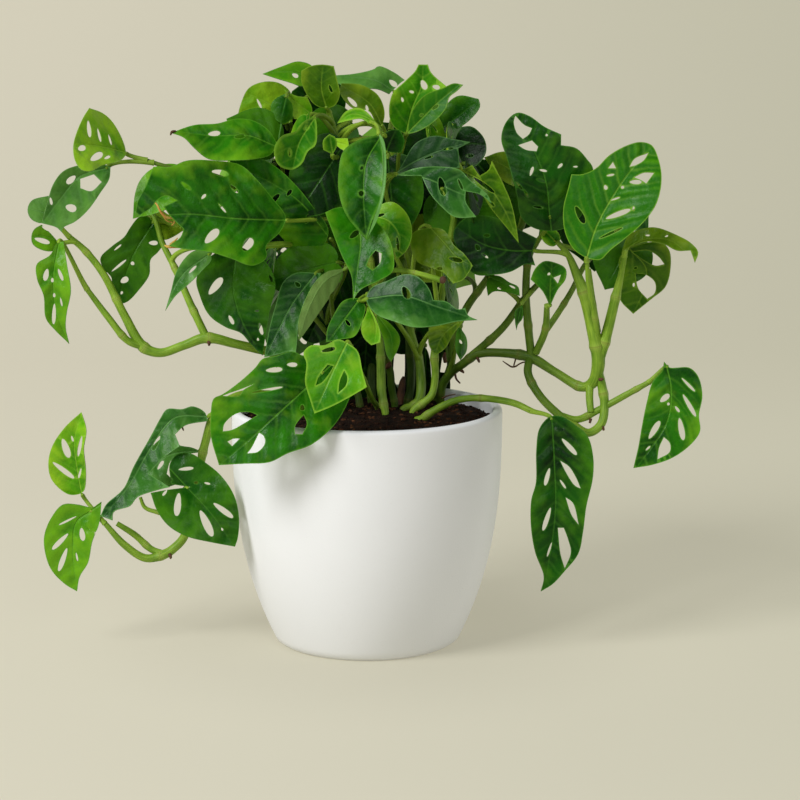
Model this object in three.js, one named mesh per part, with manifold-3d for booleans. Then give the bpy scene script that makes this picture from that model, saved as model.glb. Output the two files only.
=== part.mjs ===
// Monstera adansonii, a trailing house plant, in its round white pot.
//
// Millimetres, +Z up. The origin is the middle of the pot's foot, +X is to the right and +Y away from the
// front. It is made of one pot, one plug of soil, the stems that grow out of it, each with the leaf stalks
// that spring from it, and the large leaf blades. Young leaves and those inside the crown are fused to their
// stem.
import * as THREE from "three";
import { mergeVertices } from "three/addons/utils/BufferGeometryUtils.js";
import Module from "manifold-3d";

const wasm = await Module();
wasm.setup();

// ---------------------------------------------------------------------------------------------------------
// Driving dimensions
// ---------------------------------------------------------------------------------------------------------
const RIM_RADIUS = 90; // the pot's rim, outside
const POT_HEIGHT = 158;
const POT_TAPER = 29; // how far the wall draws in from rim to foot
const POT_TAPER_POWER = 2.75; // the wall stays upright high up and turns in near the foot
const POT_WALL = 6.2;
const POT_FLOOR = 9;
const FOOT_RADIUS = 60; // the flat ring that the pot stands on
const LIP_ROUND = 2.6; // rounding of the rim
const POT_SIDES = 28;

const SOIL_LEVEL = 149; // at the wall
const SOIL_MOUND = 3; // how much higher the soil is in the middle
const SOIL_GAP = 0.4; // the soil's clearance to the pot and to the stems
const SOIL_SIDES = 16;
const STEM_DEPTH = 26; // how deep a stem stands in the soil
const FOOT_SPANS = 3; // the stretches of a stem, from its foot up, that the soil makes room for

const STEM_SIDES = 5;
const STRAIGHT = 0.9; // how far off the line a stem's point may lie and still be skipped
const STALK_SIDES = 3;
const STALK_STEPS = 3;
const LONG_STALK = 40; // a stalk shorter than this has one step less
const STALK_ROOT = 2.3; // radius of a leaf stalk where it leaves the stem
const STALK_TIP = 1.3; // and where it meets the blade
const STALK_GAP = 2.2; // from the end of a stalk to its blade
const BLADE = 0.7; // thickness of a blade

// Places on the plant are [across, up, depth]. Across and up are read on an upright board that stands on the
// pot's axis, and depth is how far the place lies behind the board, so that a negative depth is nearer the
// front. A place off the board moves along its line of sight from EYE, and keeps its spot in the front view.
const EYE = new THREE.Vector3(22, -1505, 433);

function place([across, up, depth]) {
  const onBoard = new THREE.Vector3(across, 0, up);
  return EYE.clone().lerp(onBoard, (depth - EYE.y) / -EYE.y);
}

// Colours of the finishes.
const FINISH = {
  pot: { color: 0xe9e7e2, roughness: 0.55, metalness: 0 },
  soil: { color: 0x2c211b, roughness: 0.95, metalness: 0 },
  stem: { color: 0x7f9b3f, roughness: 0.5, metalness: 0 },
  dark: { color: 0x1d4a1e, roughness: 0.35, metalness: 0 },
  grey: { color: 0x3f7043, roughness: 0.35, metalness: 0 },
  mid: { color: 0x38761f, roughness: 0.35, metalness: 0 },
  olive: { color: 0x5a7a1c, roughness: 0.35, metalness: 0 },
  bright: { color: 0x6fa02b, roughness: 0.35, metalness: 0 },
};

// ---------------------------------------------------------------------------------------------------------
// The plant's stems. A route is [across, up, depth, radius] for each of its points. Routes of one node are
// fused, and a rooted one goes on down into the soil.
// ---------------------------------------------------------------------------------------------------------
const ROUTES = new Map();

function route(name, node, points, rooted = "") {
  ROUTES.set(name, { node, points, rooted: rooted === "rooted" });
}

route("left_arch", "stem_left", [
  [-20, 154, 22, 3.4], [-23, 168, 18, 3.4], [-33, 181, 10, 3.3], [-50, 192, 0, 3.3], [-70, 196, -8, 3.2],
  [-87, 200, -12, 3.1], [-106, 204, -15, 3.7], [-121, 199, -15, 3.1], [-137, 194, -16, 3.1],
  [-148, 198, -16, 3.7], [-160, 219, -15, 2.9], [-173, 246, -13, 2.5], [-185, 262, -10, 2.3],
  [-195, 271, -10, 1.9],
], "rooted");
route("left_riser", "stem_left", [
  [-106, 204, -15, 2.8], [-116, 226, -10, 2.6], [-126, 250, -2, 2.3], [-134, 267, 4, 2],
  [-140, 285, 10, 1.7], [-145, 286, 14, 1.5],
]);
route("left_hanging_stalk", "stem_left", [
  [-148, 198, -16, 2.6], [-158, 202, -20, 2.5], [-171, 218, -22, 2.3], [-184, 236, -19, 1.8],
]);
route("left_low", "stem_left_low", [
  [-41, 147, 12, 3.3], [-45, 159, 8, 3.3], [-63, 165, 0, 3.2], [-85, 165, -12, 3.2],
  [-100, 155, -17, 3.1], [-108, 133, -17, 3], [-115, 101, -18, 3], [-123, 69, -20, 3],
  [-130, 61, -21, 3.1], [-136, 57, -22, 3.3], [-149, 54, -24, 2.8], [-163, 63, -26, 2.6],
  [-176, 78, -27, 1.8],
], "rooted");
route("low_left_second", "stem_left_low", [
  [-136, 57, -22, 2.2], [-145, 60, -20, 2.4], [-156, 70, -18, 2.3], [-168, 78, -17, 1.8],
]);
route("low_left_curl", "stem_left_low", [
  [-120, 79, -19, 1.6], [-138, 85, -12, 1.6], [-149, 89, -10, 1.4], [-152, 96, -10, 1.2],
]);
route("right_vine", "stem_right", [
  [49, 160, 50, 3], [49, 167, 47, 3], [51, 174, 44, 3], [57, 181.5, 38, 3], [63, 186, 31, 3.1],
  [73, 193, 25, 3.2], [88, 194, 18, 3.1], [108, 191, 10, 3.7], [125, 181, 4, 3], [143, 171, -4, 3.3],
  [150, 174, -8, 4], [153.5, 187, -12, 4.7], [150, 208, -14, 4.6], [144.6, 230, -14, 4.3],
  [138, 247, -13, 3.2], [132, 260, -12, 2.1], [125, 268, -10, 1.8],
], "rooted");
route("right_tall", "stem_right", [
  [153, 187, -12, 4], [158, 204, -14, 3.8], [164, 230, -16, 3.3], [167.5, 246, -16, 2.1],
  [169.5, 258, -17, 1.7],
]);
route("right_loop", "stem_right", [
  [108, 191, 10, 2.9], [107, 180, 0, 2.9], [115, 165, -10, 2.9], [128, 152, -16, 2.9],
  [139, 144, -18, 2.9], [148, 140, -18, 2.9], [156, 146, -16, 3], [158, 159, -12, 3.1],
  [156, 172, -10, 3.2], [153, 184, -12, 3],
]);
route("right_link", "stem_right", [
  [148, 172, -8, 2.8], [148, 163, -11, 2.6], [149, 154, -14, 2.4],
]);
route("right_hanging_stalk", "stem_right", [
  [128, 152, -16, 2.4], [140, 149, -15, 2.5], [155, 156, -12, 2.4], [171, 165, -14, 2.3],
  [187, 174, -20, 1.8],
]);
route("right_upright", "stem_right", [
  [109, 192, 10, 2.9], [107, 209, 6, 2.9], [105, 236, 2, 2.7], [107, 259, 0, 2.5], [111, 266, -2, 2],
]);
route("right_branch", "stem_right", [
  [69, 192, 27, 2.5], [81, 202, 22, 2.8], [91, 212, 16, 2.6], [104, 230, 6, 2.4], [117, 244, -2, 1.8],
]);
route("right_young_stalk", "stem_right", [
  [112, 194, 8, 2.6], [118, 209, 0, 2.6], [119, 225, -8, 2],
]);
route("right_brown", "stem_right", [
  [118, 208, 1, 2.2], [126, 220, 6, 2.2], [135, 235, 12, 2], [144, 253, 16, 1.8], [156, 266, 16, 1.4],
]);
route("right_large_stalk", "stem_right", [
  [153, 202, -14, 2], [150, 222, -24, 2], [146, 242, -34, 1.8], [145, 255, -40, 1.3],
]);
route("front_right", "stem_front_right", [
  [32, 147.5, -6, 2.7], [36.6, 149.5, -8, 2.7], [42, 153.4, -9, 2.7], [50, 158, -10, 2.6],
  [58.5, 161.7, -11, 2.5], [68.5, 163.4, -12, 2.4], [82, 163, -16, 2.4], [98, 160, -22, 2.4],
  [109, 155, -28, 2.1],
], "rooted");
route("front_low", "stem_front_low", [
  [7.5, 155.5, 20, 1.9], [3.5, 163, 10, 1.9], [0, 171, -2, 1.9], [-6, 185, -40, 1.9],
  [-11, 198, -84, 1.6],
], "rooted");
route("mid_left", "stem_mid_left", [
  [12.5, 152, 4, 2.6], [11, 160, 6, 2.9], [9.6, 170, 10, 3.3], [9.4, 181, 12, 3.2], [8.8, 199, 13, 2.7],
  [7.5, 210, 13, 2.7], [6, 236, 12, 2.7], [-1, 269, 14, 2.6], [-10, 302, 16, 2.4], [-17, 328, 16, 2.2],
  [-24, 352, 14, 1.8],
], "rooted");
route("mid", "stem_mid", [
  [24, 155.5, 24, 2.8], [30, 158, 26, 3], [34.5, 162, 28, 3.2], [36, 170, 32, 3.5], [35.6, 180, 36, 3.3],
  [34.4, 190, 38, 3.1], [31.3, 200, 40, 2.8], [29, 209, 40, 2.8], [28.5, 222, 38, 2.8],
  [30, 242, 36, 2.9], [25, 275, 34, 2.6], [20, 308, 30, 2.4], [16, 341, 28, 2],
], "rooted");
route("mid_right", "stem_mid_right", [
  [31, 155, 14, 2.6], [36, 159, 15, 2.7], [42.6, 165, 16, 2.6], [44.4, 170, 17, 2.5],
  [45.4, 180, 18, 2.6], [44.8, 191, 18, 2.8], [46, 204, 21.5, 2.7], [48, 222, 20, 2.7],
  [53, 256, 14, 2.5], [58, 289, 14, 2.2], [58, 318, 14, 1.9], [52, 333, 18, 1.5],
], "rooted");
route("back_left", "stem_back_left", [
  [-4.5, 156, 34, 2.4], [-6, 166, 38, 2.6], [-10, 178, 42, 3], [-19, 196, 46, 3], [-30, 222, 50, 2.8],
  [-41, 249, 52, 2.6], [-49, 275, 54, 2.4], [-53, 302, 54, 2.2], [-51, 328, 50, 2], [-46, 352, 44, 1.6],
], "rooted");
route("left_reach", "stem_back_left", [
  [-50, 278, 54, 1.8], [-62, 292, 44, 1.8], [-86, 306, 24, 1.7], [-109, 314, 8, 1.6],
  [-130, 317, 0, 1.6], [-143, 321, -2, 1.4],
]);
route("right_back", "stem_right_back", [
  [45, 162.5, 64, 2.8], [48, 170, 62, 3], [54, 180, 60, 3], [56.5, 190, 60, 2.8], [58, 205, 58, 2.8],
  [66, 224, 52, 2.8], [80, 244, 40, 2.6], [93, 264, 28, 2.4], [103, 281, 20, 2.1], [105, 298, 18, 1.7],
], "rooted");
route("mid_dark", "stem_mid", [
  [27, 160, 46, 2.8], [29, 170, 48, 3], [29.5, 184, 50, 3], [28, 200, 48, 2.8], [28, 222, 43, 2.6],
  [29, 242, 36, 2.2],
], "rooted");
route("low_dark", "stem_mid_left", [
  [18.5, 159, 36, 2.4], [16.5, 170, 34, 2.7], [15.5, 181, 31, 2.7], [13, 190, 25, 2.3],
  [9, 201, 14, 2.2],
], "rooted");
route("pale_stub", "stem_mid_left", [
  [6, 232, 12, 1.9], [10, 244, -20, 1.9], [18, 249, -46, 1.8], [33, 247, -56, 1.8], [50, 242, -58, 2.1],
]);
route("back", "stem_back", [
  [3, 162, 58, 2.9], [3, 178, 64, 3.1], [4, 195, 74, 3], [6, 222, 82, 2.9], [6, 256, 86, 2.7],
  [3, 289, 84, 2.4], [2, 321, 78, 2],
], "rooted");

// ---------------------------------------------------------------------------------------------------------
// The leaves: name, midrib of the blade, finish, the route that its stalk springs from and how far along that
// route, then how the blade is shaped. roll turns the blade about its midrib, from facing the front; fold
// lifts both halves off the midrib; curl bends the edges back down; arch bows the midrib up; wave ripples the
// edge. A blade that faces the front has its edge as seen on the board, [across, up] for each corner. The
// others have a width and the usual heart shape. A hole is the [across, up] of its two ends and its width, or
// a ring of corners.
// ---------------------------------------------------------------------------------------------------------
const LEAVES = [];

function leaf(name, rib, finish, routeName, share, shape) {
  LEAVES.push({ name, rib, finish, route: routeName, share, fused: false, ...shape });
}

function youngLeaf(...details) {
  leaf(...details);
  const young = LEAVES.at(-1);
  young.fused = true;
  young.holes ??= [];
}

// Leaves at the end of the left vine.
leaf("left_top", [[-157, 326, -5], [-173, 330, -20], [-190, 332, -36]], "bright", "left_reach", 1, {
  roll: 35, fold: 14, wave: 0.06,
  edge: [[-157, 327], [-160, 337], [-166, 347], [-172, 352], [-180, 355], [-189, 338], [-191, 330],
  [-190, 321], [-186, 315], [-180, 314], [-158, 323]],
  holes: [[-181, 347, -180, 336, 2.8], [-180, 321, -172, 326, 4.5]],
});
leaf("left_long", [[-170, 316, -10], [-187, 311, -15], [-199, 298, -20], [-212, 281, -25]],
  "grey", "left_reach", 0.93, {
  roll: -12, fold: 12, wave: 0.05,
  edge: [[-167, 317], [-168, 309], [-182, 289], [-191, 281], [-199, 277], [-200, 274], [-203, 277],
  [-213, 280], [-205, 305], [-198, 314], [-187, 318], [-174, 319]],
  holes: [[-190, 311, -196, 306, 4], [[-187, 309], [-178, 312], [-173, 307], [-180, 301], [-187, 303]],
  [-197, 291, -190, 289, 5]],
});
youngLeaf("left_lobe", [[-209, 286, -18], [-222, 290, -22]], "grey", "left_arch", 1, {
  roll: 15, fold: 4,
  edge: [[-208, 298], [-219, 295], [-222, 289], [-220, 283], [-214, 280], [-209, 281]],
});
youngLeaf("left_ring", [[-201, 267, -14], [-210, 271, -19], [-220, 271, -24]], "mid", "left_arch", 0.97, {
  roll: 10, fold: 20,
  edge: [[-202, 267], [-213, 279], [-218, 276], [-219, 266], [-212, 262], [-205, 262]],
});
leaf("left_hanging", [[-202, 267, -27], [-206, 246, -31], [-205, 222, -30], [-197, 200, -27]],
  "mid", "left_hanging_stalk", 1, {
  roll: 6, fold: 20, wave: 0.05,
  edge: [[-203, 267], [-208, 259], [-217, 253], [-217, 243], [-213, 232], [-212, 217], [-197, 200],
  [-199, 211], [-195, 235], [-199, 268]],
  holes: [[-210, 250, -212, 242, 3.5], [-203, 250, -200, 242, 2.5], [-206, 227, -207, 213, 2.6]],
});
leaf("left_dark", [[-140, 280, 12], [-152, 262, 6], [-159, 245, 5], [-165, 226, 5]],
  "dark", "left_riser", 1, {
  roll: -10, fold: 10, wave: 0.06,
  edge: [[-143, 284], [-149, 284], [-159, 271], [-175, 257], [-173, 250], [-168, 244], [-168, 236],
  [-165, 226], [-158, 228], [-143, 246], [-142, 256], [-134, 266], [-137, 275]],
  holes: [[-143, 267, -137, 267, 3]],
});
youngLeaf("left_shoulder", [[-118, 311, -2], [-153, 283, -12]], "mid", "back_left", 0.6, {
  width: 32, roll: 30, fold: 8, arch: 0.12,
});
leaf("left_broad", [[-53, 282, -28], [-85, 283, -46], [-118, 286, -58], [-152, 283, -66]],
  "mid", "mid_left", 0.72, {
  roll: 8, fold: 9, wave: 0.1,
  edge: [[-53, 284], [-66, 265], [-66, 257], [-75, 252], [-130, 265], [-120, 276], [-133, 291],
  [-124, 295], [-131, 298], [-152, 283], [-139, 317], [-117, 321], [-82, 318]],
  holes: [[-121, 307, -115, 302, 2.2], [-101, 314, -90, 312, 4], [-89, 305, -84, 300, 2.6],
  [-106, 267, -97, 276, 5.5], [-81, 262, -75, 270, 6]],
});
youngLeaf("left_small", [[-104, 259, -34], [-119, 248, -37], [-127, 237, -39], [-133, 222, -40]],
  "grey", "left_riser", 0.45, {
  roll: 12, fold: 6, wave: 0.06,
  edge: [[-103, 261], [-113, 262], [-121, 255], [-126, 246], [-133, 222], [-102, 256]],
});

// Leaves at the top.
leaf("upper_left", [[-59, 330, -12], [-77, 337, -18], [-100, 337, -23], [-126, 340, -26]],
  "mid", "mid_left", 0.85, {
  roll: 30, fold: 8, wave: 0.08,
  edge: [[-58, 332], [-64, 341], [-74, 347], [-85, 348], [-112, 344], [-127, 339], [-119, 336],
  [-103, 322], [-72, 322], [-62, 325]],
  holes: [[-103, 338, -95, 339, 3.5], [-86, 336, -79, 337, 2.6]],
});
youngLeaf("upper_left_back", [[-58, 331, 6], [-91, 348, 2]], "dark", "back_left", 0.8, {
  width: 36, roll: 25, arch: 0.1,
});
leaf("top_left_bright", [[-50, 346, 30], [-62, 357, 25], [-80, 366, 18]], "bright", "back_left", 0.9, {
  roll: 5, fold: 6, wave: 0.05,
  edge: [[-48, 346], [-49, 365], [-56, 371], [-66, 372], [-76, 368], [-81, 359], [-84, 348], [-75, 344],
  [-60, 343]],
  holes: [],
});
youngLeaf("top_left_tip", [[-33, 374, 22], [-48, 378, 15], [-67, 377, 8]], "mid", "back_left", 1, {
  roll: 35, fold: 10,
  edge: [[-33, 376], [-35, 382], [-44, 385], [-67, 377], [-42, 369], [-36, 371]],
});
youngLeaf("top_olive", [[-26, 356, 6], [-29, 368, 2], [-28, 382, -2]], "olive", "mid_left", 1, {
  roll: -15, fold: 10,
  edge: [[-26, 356], [-35, 360], [-41, 368], [-40, 377], [-33, 382], [-24, 382], [-19, 374], [-19, 363]],
});
youngLeaf("top_grey", [[18, 366, 40], [5, 373, 36], [-20, 375, 32]], "grey", "mid", 1, {
  roll: 35, fold: 8,
  edge: [[15, 364], [8, 367], [-18, 371], [-20, 376], [8, 382], [25, 373]],
});
leaf("top_arch", [[10, 344, 16], [2, 358, 12], [-16, 370, 8]], "olive", "mid", 0.95, {
  roll: 10, fold: 6,
  edge: [[10, 342], [12, 352], [8, 363], [-3, 370], [-16, 371], [-17, 365], [-9, 355], [2, 353]],
  holes: [[-12, 362, -6, 356, 3]],
});
youngLeaf("centre_curl", [[11, 338, -24], [2, 348, -28], [-10, 351, -29], [-19, 345, -30]],
  "bright", "mid_left", 0.9, {
  roll: 15, fold: 10,
  edge: [[12, 338], [3, 350], [-4, 355], [-13, 353], [-19, 345], [-3, 348]],
});
youngLeaf("round_hollow", [[13, 327, -14], [16, 334, -18], [20, 342, -20]], "dark", "mid_left", 0.86, {
  roll: 8, fold: 18,
  edge: [[14, 327], [23, 326], [25, 334], [22, 341], [16, 341], [11, 337], [11, 331]],
});
youngLeaf("centre_round", [[-22, 325, -34], [-24, 338, -40]], "bright", "mid_left", 0.86, {
  roll: 8, fold: 10,
  edge: [[-22, 325], [-19, 331], [-20, 336], [-24, 338], [-28, 334], [-28, 328]],
});
leaf("centre_hanging", [[9, 336, -44], [0, 320, -52], [-2, 300, -59], [0, 269, -64]],
  "mid", "mid_left", 0.92, {
  roll: 4, fold: 24,
  edge: [[9, 338], [-6, 334], [-15, 327], [-18, 314], [-18, 300], [-13, 285], [0, 269], [10, 296],
  [12, 312]],
  holes: [],
});
leaf("young_curl", [[-34, 348, -20], [-44, 332, -33], [-48, 316, -42]], "bright", "mid_left", 0.97, {
  roll: -6, fold: 22,
  edge: [[-33, 350], [-41, 346], [-46, 340], [-55, 337], [-60, 328], [-57, 318], [-49, 315], [-42, 319],
  [-38, 327], [-33, 331]],
  holes: [],
});
youngLeaf("inner_left", [[-15, 331, 2], [-48, 282, -8]], "dark", "mid_left", 0.9, {
  width: 46, fold: 5, arch: 0.06,
});
youngLeaf("inner_low", [[-14, 300, 26], [-40, 248, 20]], "dark", "back_left", 0.7, {
  width: 48, fold: 5, arch: 0.06,
});
youngLeaf("inner_centre", [[14, 322, 18], [20, 266, 14]], "dark", "mid", 0.8, {
  width: 44, roll: 5, fold: 5, arch: 0.06,
});
youngLeaf("inner_right", [[50, 302, 22], [82, 262, 18]], "dark", "mid_right", 0.8, {
  width: 48, fold: 5, arch: 0.06,
});
youngLeaf("inner_far_right", [[78, 306, 30], [102, 278, 26]], "dark", "right_back", 0.8, {
  width: 40, fold: 5, arch: 0.06,
});
youngLeaf("inner_top", [[-10, 346, 22], [-44, 328, 18]], "dark", "mid_left", 0.95, {
  width: 36, fold: 5, arch: 0.06,
});
leaf("right_top", [[26, 339, 10], [30, 355, 6], [36, 370, 3], [37, 383, 0]], "bright", "mid", 0.92, {
  roll: -5, fold: 16, wave: 0.06,
  edge: [[26, 338], [18, 343], [15, 350], [17, 364], [34, 383], [40, 383], [42, 378], [52, 369],
  [41, 361]],
  holes: [[36, 373, 39, 367, 4]],
});
leaf("right_front", [[27, 339, -18], [36, 348, -20], [46, 358, -22], [60, 370, -24]],
  "bright", "mid", 0.88, {
  roll: -10, fold: 15, wave: 0.05,
  edge: [[27, 338], [28, 348], [32, 357], [39, 364], [57, 371], [63, 370], [54, 362], [52, 355],
  [44, 346]],
  holes: [],
});
youngLeaf("right_dark", [[47, 340, 22], [60, 350, 18], [73, 360, 14]], "dark", "mid_right", 1, {
  roll: -20, fold: 6,
  edge: [[48, 338], [45, 345], [51, 356], [60, 363], [73, 361], [74, 356], [67, 347]],
});
youngLeaf("right_round", [[59, 330, 6], [68, 332, 2], [78, 331, -2]], "dark", "mid_right", 0.95, {
  roll: -10, fold: 6,
  edge: [[58, 334], [62, 343], [69, 343], [77, 335], [78, 326], [71, 317], [65, 317]],
});

// Leaves on the right.
leaf("right_grey", [[18, 312, -30], [35, 322, -35], [50, 328, -38], [68, 333, -40]], "grey", "mid", 0.8, {
  roll: -20, fold: 7, wave: 0.06,
  edge: [[19, 311], [32, 332], [44, 337], [68, 333], [60, 329], [61, 316], [28, 314]],
  holes: [],
});
leaf("right_slit", [[20, 312, -50], [40, 309, -57], [60, 300, -63], [81, 293, -68]], "grey", "mid", 0.75, {
  roll: -5, fold: 9, wave: 0.08,
  edge: [[19, 311], [32, 316], [50, 317], [61, 315], [79, 299], [82, 293], [74, 299], [65, 301], [65, 294],
  [72, 284], [58, 284], [42, 299], [36, 311]],
  holes: [[48, 310, 51, 298, 4.6]],
});
leaf("right_folded", [[62, 315, -34], [78, 306, -42], [90, 290, -46], [100, 267, -50]],
  "olive", "mid_right", 0.85, {
  roll: 18, fold: 15, wave: 0.06,
  edge: [[61, 314], [69, 318], [74, 311], [80, 315], [82, 321], [95, 293], [100, 267], [75, 299],
  [66, 302]],
  holes: [[70, 310, 84, 300, 2.6]],
});
youngLeaf("right_olive", [[101, 310, 26], [77, 323, 20]], "olive", "right_back", 0.85, {
  width: 24, roll: 35, fold: 5, arch: 0.08,
});
leaf("right_high", [[120, 285, -24], [117, 308, -30], [108, 330, -30], [96, 351, -26]],
  "dark", "right_upright", 1, {
  roll: 8, fold: 9, wave: 0.08,
  edge: [[88, 335], [91, 346], [98, 352], [106, 350], [127, 338], [127, 331], [137, 329], [148, 316],
  [146, 300], [140, 284], [128, 276], [112, 276], [102, 283]],
  holes: [[[97, 350], [103, 344], [108, 342], [106, 338], [102, 335], [98, 339], [96, 346]],
  [[99, 331], [108, 334], [112, 330], [111, 327], [104, 328]]],
});
leaf("right_large", [[145, 258, -42], [151, 278, -40], [164, 302, -36], [177, 320, -32], [186, 330, -28]],
  "bright", "right_large_stalk", 1, {
  roll: -5, fold: 9, wave: 0.04,
  edge: [[145, 257], [136, 263], [130, 275], [129, 290], [134, 312], [150, 316], [158, 324], [178, 333],
  [186, 331], [193, 308], [190, 293], [182, 281], [154, 256]],
  holes: [[[172, 317], [175, 322], [184, 326], [181, 321], [176, 318]],
  [[175, 310], [181, 313], [188, 313], [183, 306], [180, 308]], [137, 291, 143, 280, 4],
  [157, 283, 173, 289, 3.4], [172, 307, 180, 307, 3]],
});
leaf("right_low_dark", [[172, 264, 4], [184, 250, 2], [182, 234, 4], [176, 220, 6]],
  "olive", "right_tall", 0.9, {
  roll: 8, fold: 6, wave: 0.05,
  edge: [[170, 262], [182, 267], [194, 267], [199, 262], [200, 250], [197, 238], [176, 220], [167, 230],
  [166, 256]],
  holes: [[[175, 261], [185, 262], [192, 258], [196, 253], [190, 252], [182, 256]],
  [[177, 247], [184, 246], [190, 241], [190, 234], [185, 230], [179, 237]]],
});
leaf("right_edge", [[170, 262, -20], [182, 269, -24], [200, 268, -28], [216, 254, -30]],
  "olive", "right_tall", 1, {
  roll: -30, fold: 12, wave: 0.08,
  edge: [[168, 262], [172, 272], [184, 277], [191, 277], [213, 267], [218, 261], [216, 254], [213, 262],
  [204, 262], [196, 266], [184, 268]],
  holes: [],
});
youngLeaf("right_behind", [[174, 272, 16], [157, 236, 8]], "dark", "right_brown", 1, {
  width: 42, roll: -5, arch: 0.06,
});
youngLeaf("right_low_edge", [[182, 288, 12], [184, 276, 12]], "grey", "right_brown", 0.95, {
  roll: -5, fold: 5,
  edge: [[180, 288], [185, 286], [185, 276], [176, 274]],
});
youngLeaf("right_behind_green", [[124, 268, 4], [117, 280, 0]], "mid", "right_brown", 0.8, {
  fold: 6,
  edge: [[125, 267], [122, 279], [114, 280], [113, 271], [119, 268]],
});
leaf("right_mid_dark", [[110, 262, -14], [95, 262, -14], [77, 266, -13], [60, 277, -12]],
  "dark", "right_vine", 0.93, {
  fold: 8, wave: 0.05,
  edge: [[111, 252], [105, 253], [95, 248], [72, 246], [65, 252], [60, 262], [57, 274], [66, 284],
  [84, 284], [112, 270], [109, 260]],
  holes: [],
});
youngLeaf("right_small", [[81, 244, -4], [90, 240, -6], [101, 233, -8]], "dark", "right_branch", 0.7, {
  roll: -20, fold: 16,
  edge: [[80, 246], [88, 245], [100, 238], [101, 232], [84, 235], [80, 232]],
});
youngLeaf("right_bract", [[102, 226, -4], [99, 210, -6]], "dark", "right_branch", 0.85, {
  fold: 12,
  edge: [[103, 226], [103, 217], [100, 213], [99, 209], [98, 215], [98, 222]],
});
youngLeaf("right_young", [[121, 226, -10], [121, 240, -14], [122, 255, -16]],
  "mid", "right_young_stalk", 1, {
  fold: 22, wave: 0.06,
  edge: [[121, 225], [116, 235], [108, 243], [111, 250], [117, 255], [131, 250], [131, 243]],
});

// Leaves in the middle and low down, and on the low vine.
leaf("centre_left", [[-8, 289, -46], [-4, 268, -56], [-6, 250, -62], [-9, 229, -68]],
  "mid", "mid_left", 0.75, {
  roll: 3, fold: 11, wave: 0.05,
  edge: [[-27, 287], [-10, 245], [-9, 229], [-4, 236], [17, 248], [18, 258], [14, 272], [5, 282],
  [-10, 290], [-20, 290]],
  holes: [[-11, 270, -5, 275, 3.6], [[0, 252], [4, 249], [9, 254], [10, 260], [6, 262], [2, 257]]],
});
leaf("centre_bright", [[4, 285, -30], [15, 281, -36], [22, 270, -40], [20, 256, -44]],
  "bright", "mid", 0.7, {
  roll: -6, fold: 8,
  edge: [[3, 283], [8, 291], [17, 294], [26, 287], [30, 275], [27, 263], [20, 256], [9, 277]],
  holes: [],
});
leaf("centre_olive", [[42, 277, -22], [52, 266, -28], [60, 257, -33], [70, 252, -36]],
  "olive", "mid", 0.66, {
  fold: 7, wave: 0.05,
  edge: [[36, 276], [50, 276], [70, 252], [64, 243], [57, 240], [51, 247], [33, 255], [29, 265],
  [30, 273]],
  holes: [[54, 257, 63, 255, 3]],
});
leaf("low_grey", [[1, 230, -70], [24, 232, -78], [48, 224, -86], [73, 216, -92]], "grey", "mid_left", 0.5, {
  roll: -25, fold: 8, wave: 0.05,
  edge: [[0, 229], [3, 237], [24, 246], [33, 245], [41, 237], [44, 229], [53, 228], [60, 223], [65, 224],
  [67, 219], [73, 216], [32, 211], [6, 220]],
  holes: [[24, 238, 28, 230, 5]],
});
youngLeaf("low_left_small", [[-6, 228, -62], [-15, 216, -68], [-26, 201, -74]], "mid", "mid_left", 0.45, {
  roll: 5, fold: 10, wave: 0.05,
  edge: [[-5, 230], [-15, 229], [-26, 210], [-27, 201], [-8, 205], [-1, 226]],
});
youngLeaf("low_mid_small", [[1, 226, -64], [6, 212, -68], [5, 200, -70]], "bright", "mid_left", 0.42, {
  fold: 14,
  edge: [[1, 226], [9, 208], [9, 201], [3, 199], [-2, 204], [-4, 212]],
});
youngLeaf("low_mid_leaf", [[7, 219, -40], [16, 205, -44], [16, 188, -48]], "mid", "mid", 0.4, {
  fold: 10,
  edge: [[6, 220], [15, 214], [22, 204], [20, 195], [16, 188], [13, 193]],
});
youngLeaf("low_right_leaf", [[60, 214, -40], [50, 205, -46], [45, 192, -50]], "olive", "mid", 0.42, {
  fold: 10,
  edge: [[64, 215], [52, 197], [45, 192], [41, 200], [41, 211], [50, 215]],
});
leaf("pale_underside", [[-15, 249, -32], [-28, 241, -42], [-38, 224, -52], [-45, 203, -60]],
  "mid", "back_left", 0.45, {
  roll: 150, fold: 8,
  edge: [[-15, 250], [-26, 248], [-34, 241], [-41, 228], [-45, 215], [-45, 202], [-20, 238]],
  holes: [],
});
youngLeaf("behind_yellow", [[-18, 253, 4], [-30, 265, 0], [-40, 275, -2]], "bright", "back_left", 0.5, {
  roll: 10, fold: 6,
  edge: [[-17, 253], [-24, 263], [-28, 275], [-35, 279], [-50, 267], [-44, 262]],
});
youngLeaf("behind_dark", [[-20, 254, -6], [-69, 240, -12]], "dark", "back_left", 0.4, {
  width: 36, roll: 15, fold: 5, arch: 0.06,
});
youngLeaf("vine_dark", [[62, 211, 0], [63, 200, -5], [62, 189, -10]], "dark", "right_vine", 0.14, {
  roll: 8, fold: 10,
  edge: [[61, 212], [66, 204], [66, 195], [62, 189], [59, 195], [59, 206]],
});
leaf("low_left_dark", [[-86, 257, -16], [-88, 237, -22], [-82, 214, -26], [-69, 192, -28]],
  "dark", "back_left", 0.35, {
  fold: 9, wave: 0.06,
  edge: [[-100, 260], [-112, 244], [-110, 232], [-104, 219], [-93, 211], [-83, 207], [-69, 192],
  [-60, 240], [-66, 254], [-80, 262]],
  holes: [[-104, 233, -95, 244, 5], [-91, 219, -88, 213, 2.6], [-71, 214, -69, 206, 2.6]],
});
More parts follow.
